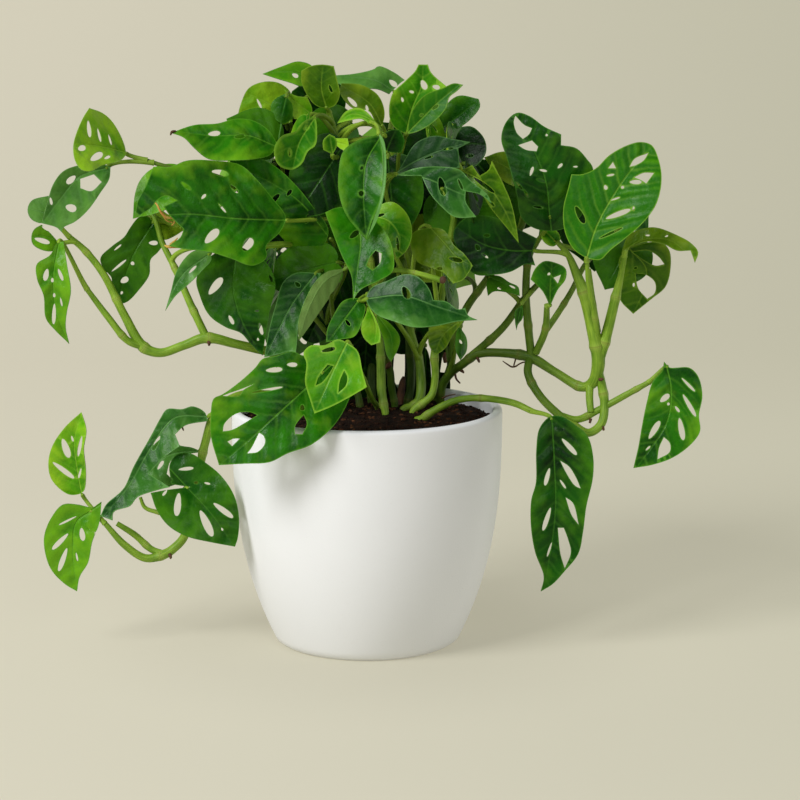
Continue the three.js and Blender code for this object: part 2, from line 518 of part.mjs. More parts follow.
leaf("low_left_grey", [[-34, 246, -22], [-48, 228, -30], [-58, 210, -36], [-68, 190, -42]],
  "grey", "back_left", 0.3, {
  roll: 10, fold: 8, wave: 0.05,
  edge: [[-30, 247], [-47, 247], [-55, 241], [-64, 212], [-68, 191], [-51, 195], [-47, 194], [-45, 215],
  [-40, 229]],
  holes: [],
});
leaf("young_bright", [[-13, 201, -90], [-24, 178, -98], [-35, 153, -104]], "bright", "front_low", 1, {
  fold: 9, wave: 0.05,
  edge: [[-19, 203], [-28, 199], [-37, 199], [-42, 194], [-40, 187], [-41, 174], [-35, 153], [0, 171],
  [-6, 195]],
  holes: [[-30, 195, -21, 197, 2.8],
  [[-34, 172], [-32, 178], [-26, 186], [-22, 185], [-25, 180], [-30, 174]],
  [[-15, 182], [-13, 178], [-14, 172], [-19, 167], [-18, 175]]],
});
leaf("low_large", [[-30, 180, -74], [-58, 154, -90], [-80, 134, -97], [-99, 118, -102]],
  "mid", "front_low", 0.6, {
  roll: 4, fold: 8, wave: 0.06,
  edge: [[-50, 195], [-69, 190], [-85, 174], [-102, 163], [-104, 137], [-99, 118], [-65, 120], [-37, 132],
  [-22, 145], [-13, 160], [-10, 172], [-22, 188]],
  holes: [[[-96, 165], [-91, 167], [-85, 169], [-75, 173], [-82, 169], [-85, 165]],
  [-67, 182, -56, 183, 3.4], [-53, 186, -46, 186, 3],
  [[-96, 141], [-95, 146], [-87, 153], [-78, 154], [-73, 152], [-81, 147], [-90, 142]],
  [[-93, 134], [-89, 136], [-85, 136], [-90, 131]],
  [[-80, 126], [-77, 130], [-72, 140], [-69, 138], [-68, 133], [-73, 127]]],
});
leaf("low_left_front", [[-120, 102, -40], [-105, 85, -46], [-89, 62, -48]], "dark", "left_low", 0.55, {
  roll: -10, fold: 7, wave: 0.05,
  edge: [[-118, 103], [-131, 105], [-132, 118], [-127, 125], [-118, 126], [-97, 110], [-89, 97], [-86, 82],
  [-89, 62], [-121, 69], [-133, 76], [-141, 87], [-145, 99]],
  holes: [[-126, 115, -116, 116, 2.4], [-126, 99, -128, 83, 4.6], [-103, 92, -90, 82, 3.8],
  [-112, 87, -104, 69, 5.4]],
});
leaf("low_left_arch",
  [[-106, 151, -20], [-128, 150, -26], [-144, 130, -30], [-160, 103, -33], [-178, 82, -34]],
  "grey", "left_low", 0.25, {
  roll: 20, fold: 9, wave: 0.06,
  edge: [[-106, 148], [-108, 154], [-116, 158], [-133, 156], [-163, 102], [-179, 83], [-171, 80],
  [-170, 86], [-132, 103], [-146, 112], [-125, 131], [-128, 139], [-121, 145]],
  holes: [[-138, 138, -143, 128, 2.8]],
});
leaf("low_left_tip", [[-186, 86, -27], [-195, 79, -28], [-198, 60, -30], [-196, 31, -32]],
  "mid", "left_low", 1, {
  roll: 5, fold: 13, wave: 0.05,
  edge: [[-184, 89], [-204, 91], [-212, 82], [-217, 70], [-217, 59], [-213, 46], [-204, 36], [-196, 31],
  [-194, 41], [-188, 51], [-180, 78], [-178, 93]],
  holes: [[-192, 75, -191, 66, 3.8], [-201, 71, -212, 60, 3.2], [-202, 61, -208, 45, 3.4]],
});
leaf("low_left_bright", [[-191, 98, -19], [-194, 118, -22], [-195, 135, -25], [-190, 154, -28]],
  "bright", "left_low", 0.97, {
  roll: -20, fold: 22, wave: 0.05,
  edge: [[-191, 99], [-200, 98], [-211, 108], [-213, 119], [-210, 131], [-201, 144], [-190, 154],
  [-187, 142], [-189, 129], [-189, 102]],
  holes: [[-203, 136, -199, 123, 4.6], [-190, 138, -193, 124, 2.4], [-210, 120, -196, 109, 3.4]],
});
leaf("front_hanging", [[123, 149, -34], [125, 120, -38], [126, 85, -41], [119, 31, -42]],
  "dark", "front_right", 1, {
  roll: -8, fold: 15, wave: 0.05,
  edge: [[122, 151], [115, 143], [113, 106], [110, 94], [113, 58], [119, 41], [117, 31], [125, 36],
  [142, 57], [151, 109], [151, 124], [147, 138], [130, 151]],
  holes: [[130, 136, 140, 125, 3.2],
  [[129, 121], [135, 117], [140, 109], [143, 102], [139, 104], [133, 113]], [122, 116, 119, 104, 3],
  [[133, 96], [138, 92], [142, 77], [137, 84]], [123, 89, 118, 73, 3.2],
  [[128, 75], [132, 75], [135, 67], [137, 58], [133, 47], [130, 57]]],
});
leaf("right_hanging", [[199, 184, -24], [202, 170, -26], [200, 148, -28], [180, 116, -30]],
  "mid", "right_hanging_stalk", 1, {
  roll: -6, fold: 10, wave: 0.06,
  edge: [[201, 184], [197, 188], [196, 182], [190, 175], [178, 116], [204, 123], [216, 132], [222, 141],
  [221, 152], [223, 165], [220, 178], [214, 184]],
  holes: [[195, 161, 201, 166, 4], [188, 136, 195, 148, 4], [210, 166, 219, 151, 2.8],
  [208, 150, 211, 135, 3.8], [[198, 137], [202, 133], [202, 127], [194, 122], [195, 130]]],
});

// Leaves on the far side and at the sides.
leaf("back_top_left", [[-32, 315, 78], [-64, 348, 118]], "mid", "back_left", 0.85, {
  width: 48, roll: 150, fold: 8, arch: 0.08,
});
leaf("back_top", [[3, 328, 92], [6, 370, 132]], "bright", "back", 1, {
  width: 46, roll: 170, fold: 8, arch: 0.1,
});
leaf("back_top_right", [[33, 324, 84], [60, 358, 116]], "mid", "mid", 0.85, {
  width: 46, roll: 200, fold: 8, arch: 0.08,
});
leaf("back_left_high", [[-46, 285, 84], [-83, 302, 122]], "grey", "back_left", 0.7, {
  width: 48, roll: 140, fold: 6, arch: 0.1,
});
youngLeaf("back_middle_high", [[-1, 292, 112], [-17, 316, 160]], "mid", "back", 0.8, {
  width: 50, roll: 165, fold: 8, arch: 0.1,
});
leaf("back_right_high", [[48, 285, 88], [78, 298, 138]], "dark", "right_back", 0.8, {
  width: 50, roll: 205, fold: 6, arch: 0.1,
});
youngLeaf("back_left_low", [[-44, 249, 84], [-69, 229, 130]], "dark", "back_left", 0.5, {
  width: 46, roll: 150, fold: 8, arch: 0.12,
});
leaf("back_middle", [[16, 254, 116], [27, 229, 168]], "mid", "back", 0.6, {
  width: 50, roll: 180, fold: 8, arch: 0.14,
});
leaf("back_left_hanging", [[-40, 229, 98], [-60, 184, 124]], "grey", "back", 0.4, {
  width: 46, roll: 170, fold: 8, arch: 0.1,
});
leaf("back_hanging", [[-12, 219, 112], [-13, 172, 136]], "dark", "back", 0.35, {
  width: 44, roll: 182, fold: 10, arch: 0.08,
});
leaf("back_right", [[56, 248, 98], [72, 240, 158]], "mid", "right_back", 0.6, {
  width: 48, roll: 190, fold: 6, arch: 0.14,
});
youngLeaf("back_right_hanging", [[38, 238, 84], [38, 208, 106]], "dark", "right_back", 0.45, {
  width: 42, roll: 188, fold: 8, arch: 0.08,
});
leaf("back_right_reach", [[87, 292, 58], [100, 311, 104]], "mid", "right_back", 0.95, {
  width: 44, roll: 210, fold: 8, arch: 0.1,
});
youngLeaf("left_side_high", [[-76, 316, 36], [-100, 284, 58]], "mid", "back_left", 0.85, {
  width: 44, roll: 70, fold: 8, arch: 0.1,
});
youngLeaf("left_side", [[-70, 284, 62], [-90, 246, 84]], "grey", "back_left", 0.7, {
  width: 46, roll: 75, fold: 8, arch: 0.1,
});
youngLeaf("left_side_low", [[-58, 238, 66], [-74, 196, 86]], "dark", "back_left", 0.45, {
  width: 44, roll: 75, fold: 8, arch: 0.1,
});
youngLeaf("right_side_high", [[110, 302, 50], [132, 268, 74]], "mid", "right_back", 0.97, {
  width: 46, roll: -70, fold: 8, arch: 0.1,
});
youngLeaf("right_side", [[84, 286, 72], [98, 256, 100]], "dark", "right_back", 0.7, {
  width: 44, roll: -75, fold: 8, arch: 0.1,
});
youngLeaf("right_side_low", [[50, 238, 70], [54, 200, 86]], "grey", "right_back", 0.4, {
  width: 40, roll: -80, fold: 8, arch: 0.1,
});
youngLeaf("right_sheath", [[125, 267, -10], [114, 278, -6]], "bright", "right_vine", 1, {
  width: 12, fold: 20,
});

// ---------------------------------------------------------------------------------------------------------
// Solids
// ---------------------------------------------------------------------------------------------------------
function toSolid(geometry) {
  const bare = geometry.clone();
  bare.deleteAttribute("normal");
  bare.deleteAttribute("uv");
  const merged = mergeVertices(bare, 1e-4);
  return new wasm.Manifold(
    new wasm.Mesh({
      numProp: 3,
      vertProperties: new Float32Array(merged.attributes.position.array),
      triVerts: new Uint32Array(merged.index.array),
    }),
  );
}

function toGeometry(solid) {
  const mesh = solid.getMesh();
  const geometry = new THREE.BufferGeometry();
  geometry.setAttribute("position", new THREE.BufferAttribute(mesh.vertProperties, 3));
  geometry.setIndex(new THREE.BufferAttribute(mesh.triVerts, 1));
  geometry.computeVertexNormals();
  return geometry;
}

function addNode(parent, name, geometry, finish) {
  const mesh = new THREE.Mesh(geometry, new THREE.MeshStandardMaterial(FINISH[finish]));
  mesh.name = name;
  parent.add(mesh);
  return mesh;
}

// A closed round tube through the points, with a radius for each of them.
function tube(points, radii, sides, stepsPerSpan) {
  const curve = new THREE.CatmullRomCurve3(points, false, "centripetal");
  const steps = Math.round((points.length - 1) * stepsPerSpan);
  const corners = [];
  const faces = [];
  let across = new THREE.Vector3(0.31, 0.87, 0.38);
  for (let i = 0; i <= steps; i++) {
    const t = i / steps;
    const centre = curve.getPoint(t);
    const along = curve.getTangent(t);
    across = across.clone().addScaledVector(along, -across.dot(along)).normalize();
    const other = new THREE.Vector3().crossVectors(along, across);
    const at = t * (radii.length - 1);
    const low = Math.min(Math.floor(at), radii.length - 2);
    const radius = THREE.MathUtils.lerp(radii[low], radii[low + 1], at - low);
    for (let k = 0; k < sides; k++) {
      const angle = (2 * Math.PI * k) / sides;
      const corner = centre.clone();
      corner.addScaledVector(across, radius * Math.cos(angle));
      corner.addScaledVector(other, radius * Math.sin(angle));
      corners.push(...corner.toArray());
    }
  }
  for (let i = 0; i < steps; i++) {
    for (let k = 0; k < sides; k++) {
      const a = i * sides + k;
      const b = i * sides + ((k + 1) % sides);
      faces.push(a, b, b + sides, a, b + sides, a + sides);
    }
  }
  for (let k = 1; k < sides - 1; k++) {
    const end = steps * sides;
    faces.push(0, k + 1, k, end, end + k, end + k + 1);
  }
  const geometry = new THREE.BufferGeometry();
  geometry.setAttribute("position", new THREE.Float32BufferAttribute(corners, 3));
  geometry.setIndex(faces);
  return geometry;
}

// ---------------------------------------------------------------------------------------------------------
// Leaf blades
// ---------------------------------------------------------------------------------------------------------
// Half of a blade's outline, as [share of the length, share of the half width], from the notch at the stalk
// round the lobe to the drip tip.
const HALF_OUTLINE = [
  [0, 0],
  [-0.045, 0.22],
  [-0.02, 0.55],
  [0.12, 0.86],
  [0.34, 1],
  [0.57, 0.9],
  [0.77, 0.57],
  [0.92, 0.19],
  [1, 0],
];
const MIDRIB_POINTS = [0.25, 0.5, 0.75];
const WAVES = 1.6; // ripples along one edge, and where they start on each side
const WAVE_START_RIGHT = 0.2;
const WAVE_START_LEFT = 0.65;
const MOST_WAVE = 1.6; // a ripple grows no more past this
const RIB_STEPS = 24;
// The side veins, and the holes between them, lean to the tip.
const VEIN_ANGLE = THREE.MathUtils.degToRad(52);
const HOLE_CORNERS = 5;
const SMALL_HOLE = 8; // a hole shorter than this has one corner less

// Where the eye sees a place against the board.
function onBoard(spot) {
  const ray = spot.clone().sub(EYE);
  const met = EYE.clone().addScaledVector(ray, -EYE.y / ray.y);
  return new THREE.Vector2(met.x, met.z);
}

function gapToSegment(point, a, b) {
  const along = new THREE.Vector2().subVectors(b, a);
  const t = new THREE.Vector2().subVectors(point, a).dot(along) / (along.lengthSq() || 1);
  const nearest = along.multiplyScalar(THREE.MathUtils.clamp(t, 0, 1)).add(a);
  return point.distanceTo(nearest);
}

// The curved surface of a blade. at(a, d) is the place a share a along the midrib and d millimetres to its
// right, normal(a, d) points out of the upper side, and laid([across, up]) is the flat point, in millimetres
// along and to the right of the midrib, that the eye sees at a place of the board.
class BladeSurface {
  constructor({ rib, edge, width, roll = 0, fold = 0, curl = 0, arch = 0, wave = 0 }) {
    const places = rib.map(place);
    const tip = places.at(-1);
    this.base = places[0];
    this.along = tip.clone().sub(this.base).normalize();
    const toEye = EYE.clone().sub(this.base);
    this.up = toEye.addScaledVector(this.along, -toEye.dot(this.along)).normalize();
    this.up.applyAxisAngle(this.along, THREE.MathUtils.degToRad(roll));
    const bow = arch * this.base.distanceTo(tip);
    this.line = new THREE.CatmullRomCurve3(places, false, "centripetal").getSpacedPoints(RIB_STEPS);
    this.line.forEach((p, k) => {
      const a = k / RIB_STEPS;
      p.addScaledVector(this.up, bow * 4 * a * (1 - a));
    });
    this.length = this.line.slice(1).reduce((sum, p, k) => sum + p.distanceTo(this.line[k]), 0);
    this.half = width / 2 || this.widest(edge) / Math.max(Math.cos(THREE.MathUtils.degToRad(roll)), 0.5);
    this.fold = THREE.MathUtils.degToRad(fold);
    this.curl = THREE.MathUtils.degToRad(curl) || 1e-4;
    this.wave = wave;
  }

  // The widest that the drawn edge lies off the midrib, on the board.
  widest(edge) {
    const seen = this.line.map(onBoard);
    const off = (corner) => Math.min(...seen.slice(1).map((p, k) => gapToSegment(corner, seen[k], p)));
    return Math.max(...edge.map(([x, y]) => off(new THREE.Vector2(x, y))));
  }

  // The midrib and its direction. It runs straight on past its ends.
  midrib(a) {
    const inside = THREE.MathUtils.clamp(a, 0, 1);
    const low = Math.min(Math.floor(inside * RIB_STEPS), RIB_STEPS - 1);
    const part = inside * RIB_STEPS - low;
    const slope = (k) => {
      const [from, to] = [Math.max(k - 1, 0), Math.min(k + 1, RIB_STEPS)];
      return this.line[to].clone().sub(this.line[from]).divideScalar(to - from);
    };
    const ahead = slope(low).lerp(slope(low + 1), part).normalize();
    const spot = this.line[low].clone().lerp(this.line[low + 1], part);
    return [spot.addScaledVector(ahead, (a - inside) * this.length), ahead];
  }

  at(a, d) {
    const [spot, tangent] = this.midrib(a);
    const up = this.up.clone().addScaledVector(tangent, -this.up.dot(tangent)).normalize();
    const right = new THREE.Vector3().crossVectors(tangent, up);
    const out = Math.abs(d) / this.half;
    const edge = this.fold - this.curl * out;
    const reach = (this.half * (Math.sin(this.fold) - Math.sin(edge))) / this.curl;
    const lift = (this.half * (Math.cos(edge) - Math.cos(this.fold))) / this.curl;
    const phase = WAVES * a + (d > 0 ? WAVE_START_RIGHT : WAVE_START_LEFT);
    const ripple = this.wave * this.half * Math.min(out * out, MOST_WAVE) * Math.sin(2 * Math.PI * phase);
    return spot.addScaledVector(right, Math.sign(d) * reach).addScaledVector(up, lift + ripple);
  }

  normal(a, d) {
    const small = 0.02;
    const side = d === 0 ? 0 : Math.sign(d) * 0.5;
    const forward = this.at(a + small, d + side).sub(this.at(a - small, d + side));
    const sideways = this.at(a, d + side + 0.4).sub(this.at(a, d + side - 0.4));
    return sideways.cross(forward).normalize();
  }

  // Places all over the blade and round it, with where each is seen.
  get grid() {
    if (this.spots) return this.spots;
    this.spots = [];
    for (let a = -0.5; a <= 1.25; a += 0.05) {
      for (let w = -1.4; w <= 1.4; w += 0.1) {
        this.spots.push([a, w * this.half, onBoard(this.at(a, w * this.half))]);
      }
    }
    return this.spots;
  }

  laid([x, y]) {
    const drawn = new THREE.Vector2(x, y);
    let [a, d, best] = this.grid[0];
    for (const [b, e, seen] of this.grid) {
      if (seen.distanceToSquared(drawn) < best.distanceToSquared(drawn)) [a, d, best] = [b, e, seen];
    }
    for (let turn = 0; turn < 8; turn++) {
      const here = onBoard(this.at(a, d));
      const byShare = onBoard(this.at(a + 0.004, d)).sub(here).divideScalar(0.004);
      const bySide = onBoard(this.at(a, d + 0.1)).sub(here).divideScalar(0.1);
      const miss = drawn.clone().sub(here);
      const area = byShare.cross(bySide);
      if (Math.abs(area) < 1e-3) break;
      a += THREE.MathUtils.clamp(miss.cross(bySide) / area, -0.05, 0.05);
      d += THREE.MathUtils.clamp(byShare.cross(miss) / area, -3, 3);
    }
    return new THREE.Vector2(a * this.length, d);
  }
}

// A hole is a slim drop that lies between two side veins.
function holeOutline([a, offset, long, wide], length) {
  const side = Math.sign(offset) || 1;
  const lean = new THREE.Vector2(Math.cos(VEIN_ANGLE), side * Math.sin(VEIN_ANGLE));
  const cross = new THREE.Vector2(-lean.y, lean.x);
  const corners = [];
  const count = long < SMALL_HOLE ? HOLE_CORNERS - 1 : HOLE_CORNERS;
  for (let k = 0; k < count; k++) {
    const angle = (2 * Math.PI * k) / count;
    const taper = 1 + 0.25 * Math.cos(angle);
    const corner = new THREE.Vector2(a * length, offset);
    corner.addScaledVector(lean, (long / 2) * Math.cos(angle));
    corner.addScaledVector(cross, (wide / 2) * taper * Math.sin(angle));
    corners.push(corner);
  }
  return corners;
}

// Flips the inner edges of a flat triangulation until each one is the better diagonal of its quad.
function relax(points, triangles) {
  const minAngle = (a, b, c) => {
    let least = Math.PI;
    for (const [p, q, r] of [[a, b, c], [b, c, a], [c, a, b]]) {
      const one = new THREE.Vector2().subVectors(points[q], points[p]);
      const two = new THREE.Vector2().subVectors(points[r], points[p]);
      const cosine = one.dot(two) / (one.length() * two.length() || 1);
      least = Math.min(least, Math.acos(THREE.MathUtils.clamp(cosine, -1, 1)));
    }
    return least;
  };
  const turn = (a, b, c) => {
    const one = new THREE.Vector2().subVectors(points[b], points[a]);
    const two = new THREE.Vector2().subVectors(points[c], points[a]);
    return one.cross(two);
  };
  for (let pass = 0; pass < 8; pass++) {
    const edges = new Map();
    triangles.forEach((tri, index) => {
      tri.forEach((a, k) => edges.set(`${a},${tri[(k + 1) % 3]}`, [index, tri[(k + 2) % 3]]));
    });
    const touched = new Set();
    for (const [key, [one, c]] of edges) {
      const [a, b] = key.split(",").map(Number);
      const twin = edges.get(`${b},${a}`);
      if (!twin || touched.has(one) || touched.has(twin[0])) continue;
      if (points[a].y === 0 && points[b].y === 0) continue;
      const [two, d] = twin;
      if (turn(c, a, d) < 1e-3 || turn(d, b, c) < 1e-3) continue;
      const now = Math.min(minAngle(a, b, c), minAngle(b, a, d));
      const flipped = Math.min(minAngle(c, a, d), minAngle(d, b, c));
      if (flipped <= now + 1e-4) continue;
      triangles[one] = [c, a, d];
      triangles[two] = [d, b, c];
      touched.add(one).add(two);
    }
    if (!touched.size) break;
  }
  return triangles;
}

// The flat outline of one half of a heart-shaped blade, closed along the midrib.
function heartHalf({ length, half }, side) {
  const outer = HALF_OUTLINE.map(([a, w]) => new THREE.Vector2(a * length, side * w * half));
  const ribs = MIDRIB_POINTS.map((a) => new THREE.Vector2(a * length, 0));
  return [...outer, ...ribs.reverse()];
}

// The half of a drawn outline on one side of the midrib, closed along it.
function drawnHalf(ring, side) {
  const chain = [];
  ring.forEach((p, k) => {
    const q = ring[(k + 1) % ring.length];
    if (side * p.y > 0) chain.push(p);
    if (p.y * q.y < 0) chain.push(new THREE.Vector2(p.x + ((q.x - p.x) * p.y) / (p.y - q.y), 0));
  });
  const last = chain.findIndex((p, k) => p.y === 0 && chain[(k + 1) % chain.length].y === 0);
  const turned = [...chain.slice(last + 1), ...chain.slice(0, last + 1)];
  const [start, end] = [turned[0].x, turned.at(-1).x];
  const [low, high] = [Math.min(start, end), Math.max(start, end)];
  const ribs = MIDRIB_POINTS.map((a) => new THREE.Vector2(THREE.MathUtils.lerp(low, high, a), 0));
  return [...turned, ...(end > start ? ribs.reverse() : ribs)];
}

// The flat outlines that a blade is made of: its two halves, or one ring where the edge crosses the midrib
// more than at the base and the tip.
function contoursOf(leaf, surface) {
  if (!leaf.edge) return [1, -1].map((side) => heartHalf(surface, side));
  const ring = leaf.edge.map((p) => surface.laid(p));
  for (const p of ring) if (Math.abs(p.y) < 0.3) p.y = p.y < 0 ? -0.3 : 0.3;
  const crossings = ring.filter((p, k) => p.y * ring[(k + 1) % ring.length].y < 0).length;
  return crossings === 2 ? [1, -1].map((side) => drawnHalf(ring, side)) : [ring];
}

// The flat ring of a hole that is drawn on the board.
function drawnHole(hole, surface) {
  if (Array.isArray(hole[0])) return hole.map((p) => surface.laid(p));
  const [x1, y1, x2, y2, wide] = hole;
  const way = new THREE.Vector2(x2 - x1, y2 - y1).normalize().multiplyScalar(wide / 2);
  const [x, y] = [(x1 + x2) / 2, (y1 + y2) / 2];
  return [[x1, y1], [x - way.y, y + way.x], [x2, y2], [x + way.y, y - way.x]].map((p) => surface.laid(p));
}

// The blade as a closed sheet. Each outline is split into triangles on the flat, round its holes, and both
// faces of the curved blade use that same split.
function blade(leaf) {
  const surface = new BladeSurface(leaf);
  const contours = contoursOf(leaf, surface);
  const cuts = [];
  for (const hole of leaf.holes ?? drawnHoles(leaf.name, surface.length, surface.half)) {
    const drawn = leaf.edge && drawnHole(hole, surface);
    const ring = drawn ? drawnIn(drawn, contours, cuts) : fitHole(hole, surface, contours, cuts);
    if (ring) cuts.push(ring);
  }
  const flat = [];
  const index = new Map();
  const indexOf = (x, y) => {
    const key = `${x.toFixed(3)},${y.toFixed(3)}`;
    if (!index.has(key)) {
      index.set(key, flat.length);
      flat.push(new THREE.Vector2(x, y));
    }
    return index.get(key);
  };
  const triangles = [];
  const rims = [];
  for (const contour of contours) {
    const holes = cuts.filter((ring) => inside(ring[0], contour));
    const rings = [contour, ...holes];
    rings.forEach((ring, k) => {
      if (THREE.ShapeUtils.isClockWise(ring) !== k > 0) ring.reverse();
    });
    const all = rings.flat().map((p) => indexOf(p.x, p.y));
    const split = THREE.ShapeUtils.triangulateShape(contour, holes);
    triangles.push(...split.map((tri) => tri.map((k) => all[k])));
    rims.push(...rings.map((ring) => ring.map((p) => indexOf(p.x, p.y))));
  }
  relax(flat, triangles);
  const corners = [];
  for (const lift of [BLADE / 2, -BLADE / 2]) {
    for (const { x, y } of flat) {
      const a = x / surface.length;
      corners.push(...surface.at(a, y).addScaledVector(surface.normal(a, y), lift).toArray());
    }
  }
  const under = flat.length;
  const faces = [];
  for (const [a, b, c] of triangles) faces.push(a, c, b, a + under, b + under, c + under);
  for (const rim of rims) {
    rim.forEach((a, k) => {
      const b = rim[(k + 1) % rim.length];
      if (flat[a].y === 0 && flat[b].y === 0) return;
      faces.push(a, b, b + under, a, b + under, a + under);
    });
  }
  const geometry = new THREE.BufferGeometry();
  geometry.setAttribute("position", new THREE.Float32BufferAttribute(corners, 3));
  geometry.setIndex(faces);
  return geometry;
}

// A hole is kept clear of the midrib, of the edge and of the holes cut before it. It is drawn in until it
// fits, and left out if it would be too small.
const HOLE_MARGIN = 1.4;
const LEAST_GAP = 1;
const LEAST_HOLE = 6;

function fits(ring, contours, cuts) {
  const home = contours.find((contour) => ring.every((corner) => inside(corner, contour)));
  return home && ![home, ...cuts].some((other) => tooClose(ring, other));
}

function drawnIn(ring, contours, cuts) {
  const middle = new THREE.Box2().setFromPoints(ring).getCenter(new THREE.Vector2());
  for (let size = 1; size > 0.5; size *= 0.88) {
    const smaller = ring.map((corner) => middle.clone().lerp(corner, size));
    if (fits(smaller, contours, cuts)) return smaller;
  }
  return null;
}

function fitHole([a, offset, long, wide], surface, contours, cuts) {
  const side = offset < 0 ? -1 : 1;
  for (let size = long; size >= LEAST_HOLE; size *= 0.88) {
    const slim = Math.min(wide, 0.6 * size);
    const reach = (size * Math.sin(VEIN_ANGLE) + slim * Math.cos(VEIN_ANGLE)) / 2;
    const out = side * Math.max(Math.abs(offset), HOLE_MARGIN + reach);
    const ring = holeOutline([a, out, size, slim], surface.length);
    if (fits(ring, contours, cuts)) return ring;
  }
  return null;
}

function inside({ x, y }, ring) {
  let odd = false;
  ring.forEach((a, k) => {
    const b = ring[(k + 1) % ring.length];
    if (a.y > y !== b.y > y && x < a.x + ((b.x - a.x) * (y - a.y)) / (b.y - a.y)) odd = !odd;
  });
  return odd;
}

function tooClose(one, two) {
  const near = (points, ring) =>
    points.some((p) => ring.some((a, k) => gapToSegment(p, a, ring[(k + 1) % ring.length]) < LEAST_GAP));
  return near(one, two) || near(two, one);
}

function seededRandom(name) {
  let state = 0;
  for (const letter of name) state = (state * 31 + letter.charCodeAt(0)) >>> 0;
  return () => {
    state = (state + 0x6d2b79f5) >>> 0;
    let mixed = Math.imul(state ^ (state >>> 15), state | 1);
    mixed ^= mixed + Math.imul(mixed ^ (mixed >>> 7), mixed | 61);
    return ((mixed ^ (mixed >>> 14)) >>> 0) / 4294967296;
  };
}

// Blades whose holes aren't listed get two, drawn by a seeded rule.
function drawnHoles(name, length, half) {
  const random = seededRandom(name);
  const holes = [];
  for (const [a, side] of [[0.3, 1], [0.42, -1]]) {
    const long = half * (0.5 + 0.15 * random());
    holes.push([a + 0.05 * random(), side * half * (0.38 + 0.12 * random()), long, length * 0.08]);
  }
  return holes;
}

// ---------------------------------------------------------------------------------------------------------
// Stems and leaf stalks
// ---------------------------------------------------------------------------------------------------------
function routeCurve(name) {
  return new THREE.CatmullRomCurve3(ROUTES.get(name).points.map(place), false, "centripetal");
}

// A point of a route that lies almost on the line between its neighbours is skipped.
function withoutStraightPoints(points) {
  const kept = [points[0]];
  for (let k = 1; k < points.length - 1; k++) {
    const line = new THREE.Line3(place(kept.at(-1)), place(points[k + 1]));
    const here = place(points[k]);
    const nearest = line.closestPointToPoint(here, true, new THREE.Vector3());
    if (nearest.distanceTo(here) > STRAIGHT) kept.push(points[k]);
  }
  return [...kept, points.at(-1)];
}

// The tube of a route. A rooted one starts deep in the soil, and its hole is the same tube, wider.
function routeTube(entry, spare = 0, spans = Infinity) {
  const points = withoutStraightPoints(entry.points);
  const centres = points.map(place);
  const radii = points.map((point) => point[3] + spare);
  if (entry.rooted) {
    centres.unshift(centres[0].clone().add(new THREE.Vector3(0, 0, -STEM_DEPTH - spare)));
    radii.unshift(radii[0]);
  }
  return tube(centres.slice(0, spans + 1), radii.slice(0, spans + 1), STEM_SIDES, 1);
}

// A stalk leaves its stem at a slant, and reaches the blade from behind and below.
function stalk(leaf, gap) {
  const curve = routeCurve(leaf.route);
  const start = curve.getPoint(leaf.share);
  const surface = new BladeSurface(leaf);
  const leave = surface.base.clone().sub(start).normalize().add(curve.getTangent(leaf.share)).normalize();
  const arrive = surface.along.clone().multiplyScalar(0.75).addScaledVector(surface.up, 0.65).normalize();
  const end = surface.base.clone().addScaledVector(arrive, -gap);
  const span = start.distanceTo(end);
  const bend = new THREE.CubicBezierCurve3(
    start,
    start.clone().addScaledVector(leave, 0.3 * span),
    end.clone().addScaledVector(arrive, -0.35 * span),
    end,
  );
  const steps = span < LONG_STALK ? STALK_STEPS - 1 : STALK_STEPS;
  const points = bend.getPoints(steps);
  const radii = points.map((_, k) => THREE.MathUtils.lerp(STALK_ROOT, STALK_TIP, k / steps));
  return tube(points, radii, STALK_SIDES, 1);
}

function stemSolid(node) {
  let solid = null;
  const join = (geometry) => {
    const piece = toSolid(geometry);
    solid = solid ? solid.add(piece) : piece;
  };
  for (const entry of ROUTES.values()) if (entry.node === node) join(routeTube(entry));
  for (const leaf of LEAVES) {
    if (ROUTES.get(leaf.route).node !== node) continue;
    if (leaf.fused) {
      join(stalk(leaf, -1));
      join(blade(leaf));
    } else {
      join(stalk(leaf, STALK_GAP));
    }
  }
  const bodies = solid.decompose();
  return bodies.reduce((best, body) => (body.volume() > best.volume() ? body : best));
}

// ---------------------------------------------------------------------------------------------------------
// Pot and soil
// ---------------------------------------------------------------------------------------------------------
function potRadius(z) {
  return RIM_RADIUS - POT_TAPER * (1 - z / POT_HEIGHT) ** POT_TAPER_POWER;
}

function potGeometry() {
  const outside = [];
  for (const share of [0.05, 0.16, 0.34, 0.62]) outside.push(share * POT_HEIGHT);
  const lipTop = POT_HEIGHT - LIP_ROUND;
  const profile = [new THREE.Vector2(0, 0), new THREE.Vector2(FOOT_RADIUS, 0)];
  for (const z of outside) profile.push(new THREE.Vector2(potRadius(z), z));
  profile.push(new THREE.Vector2(RIM_RADIUS, lipTop));
  profile.push(new THREE.Vector2(RIM_RADIUS - LIP_ROUND, POT_HEIGHT));
  profile.push(new THREE.Vector2(RIM_RADIUS - POT_WALL + LIP_ROUND - 0.6, POT_HEIGHT));
  profile.push(new THREE.Vector2(RIM_RADIUS - POT_WALL, lipTop));
  for (const z of outside.slice(1).reverse()) profile.push(new THREE.Vector2(potRadius(z) - POT_WALL, z));
  profile.push(new THREE.Vector2(potRadius(POT_FLOOR) - POT_WALL - 2, POT_FLOOR));
  profile.push(new THREE.Vector2(0, POT_FLOOR));
  return new THREE.LatheGeometry(profile, POT_SIDES);
}

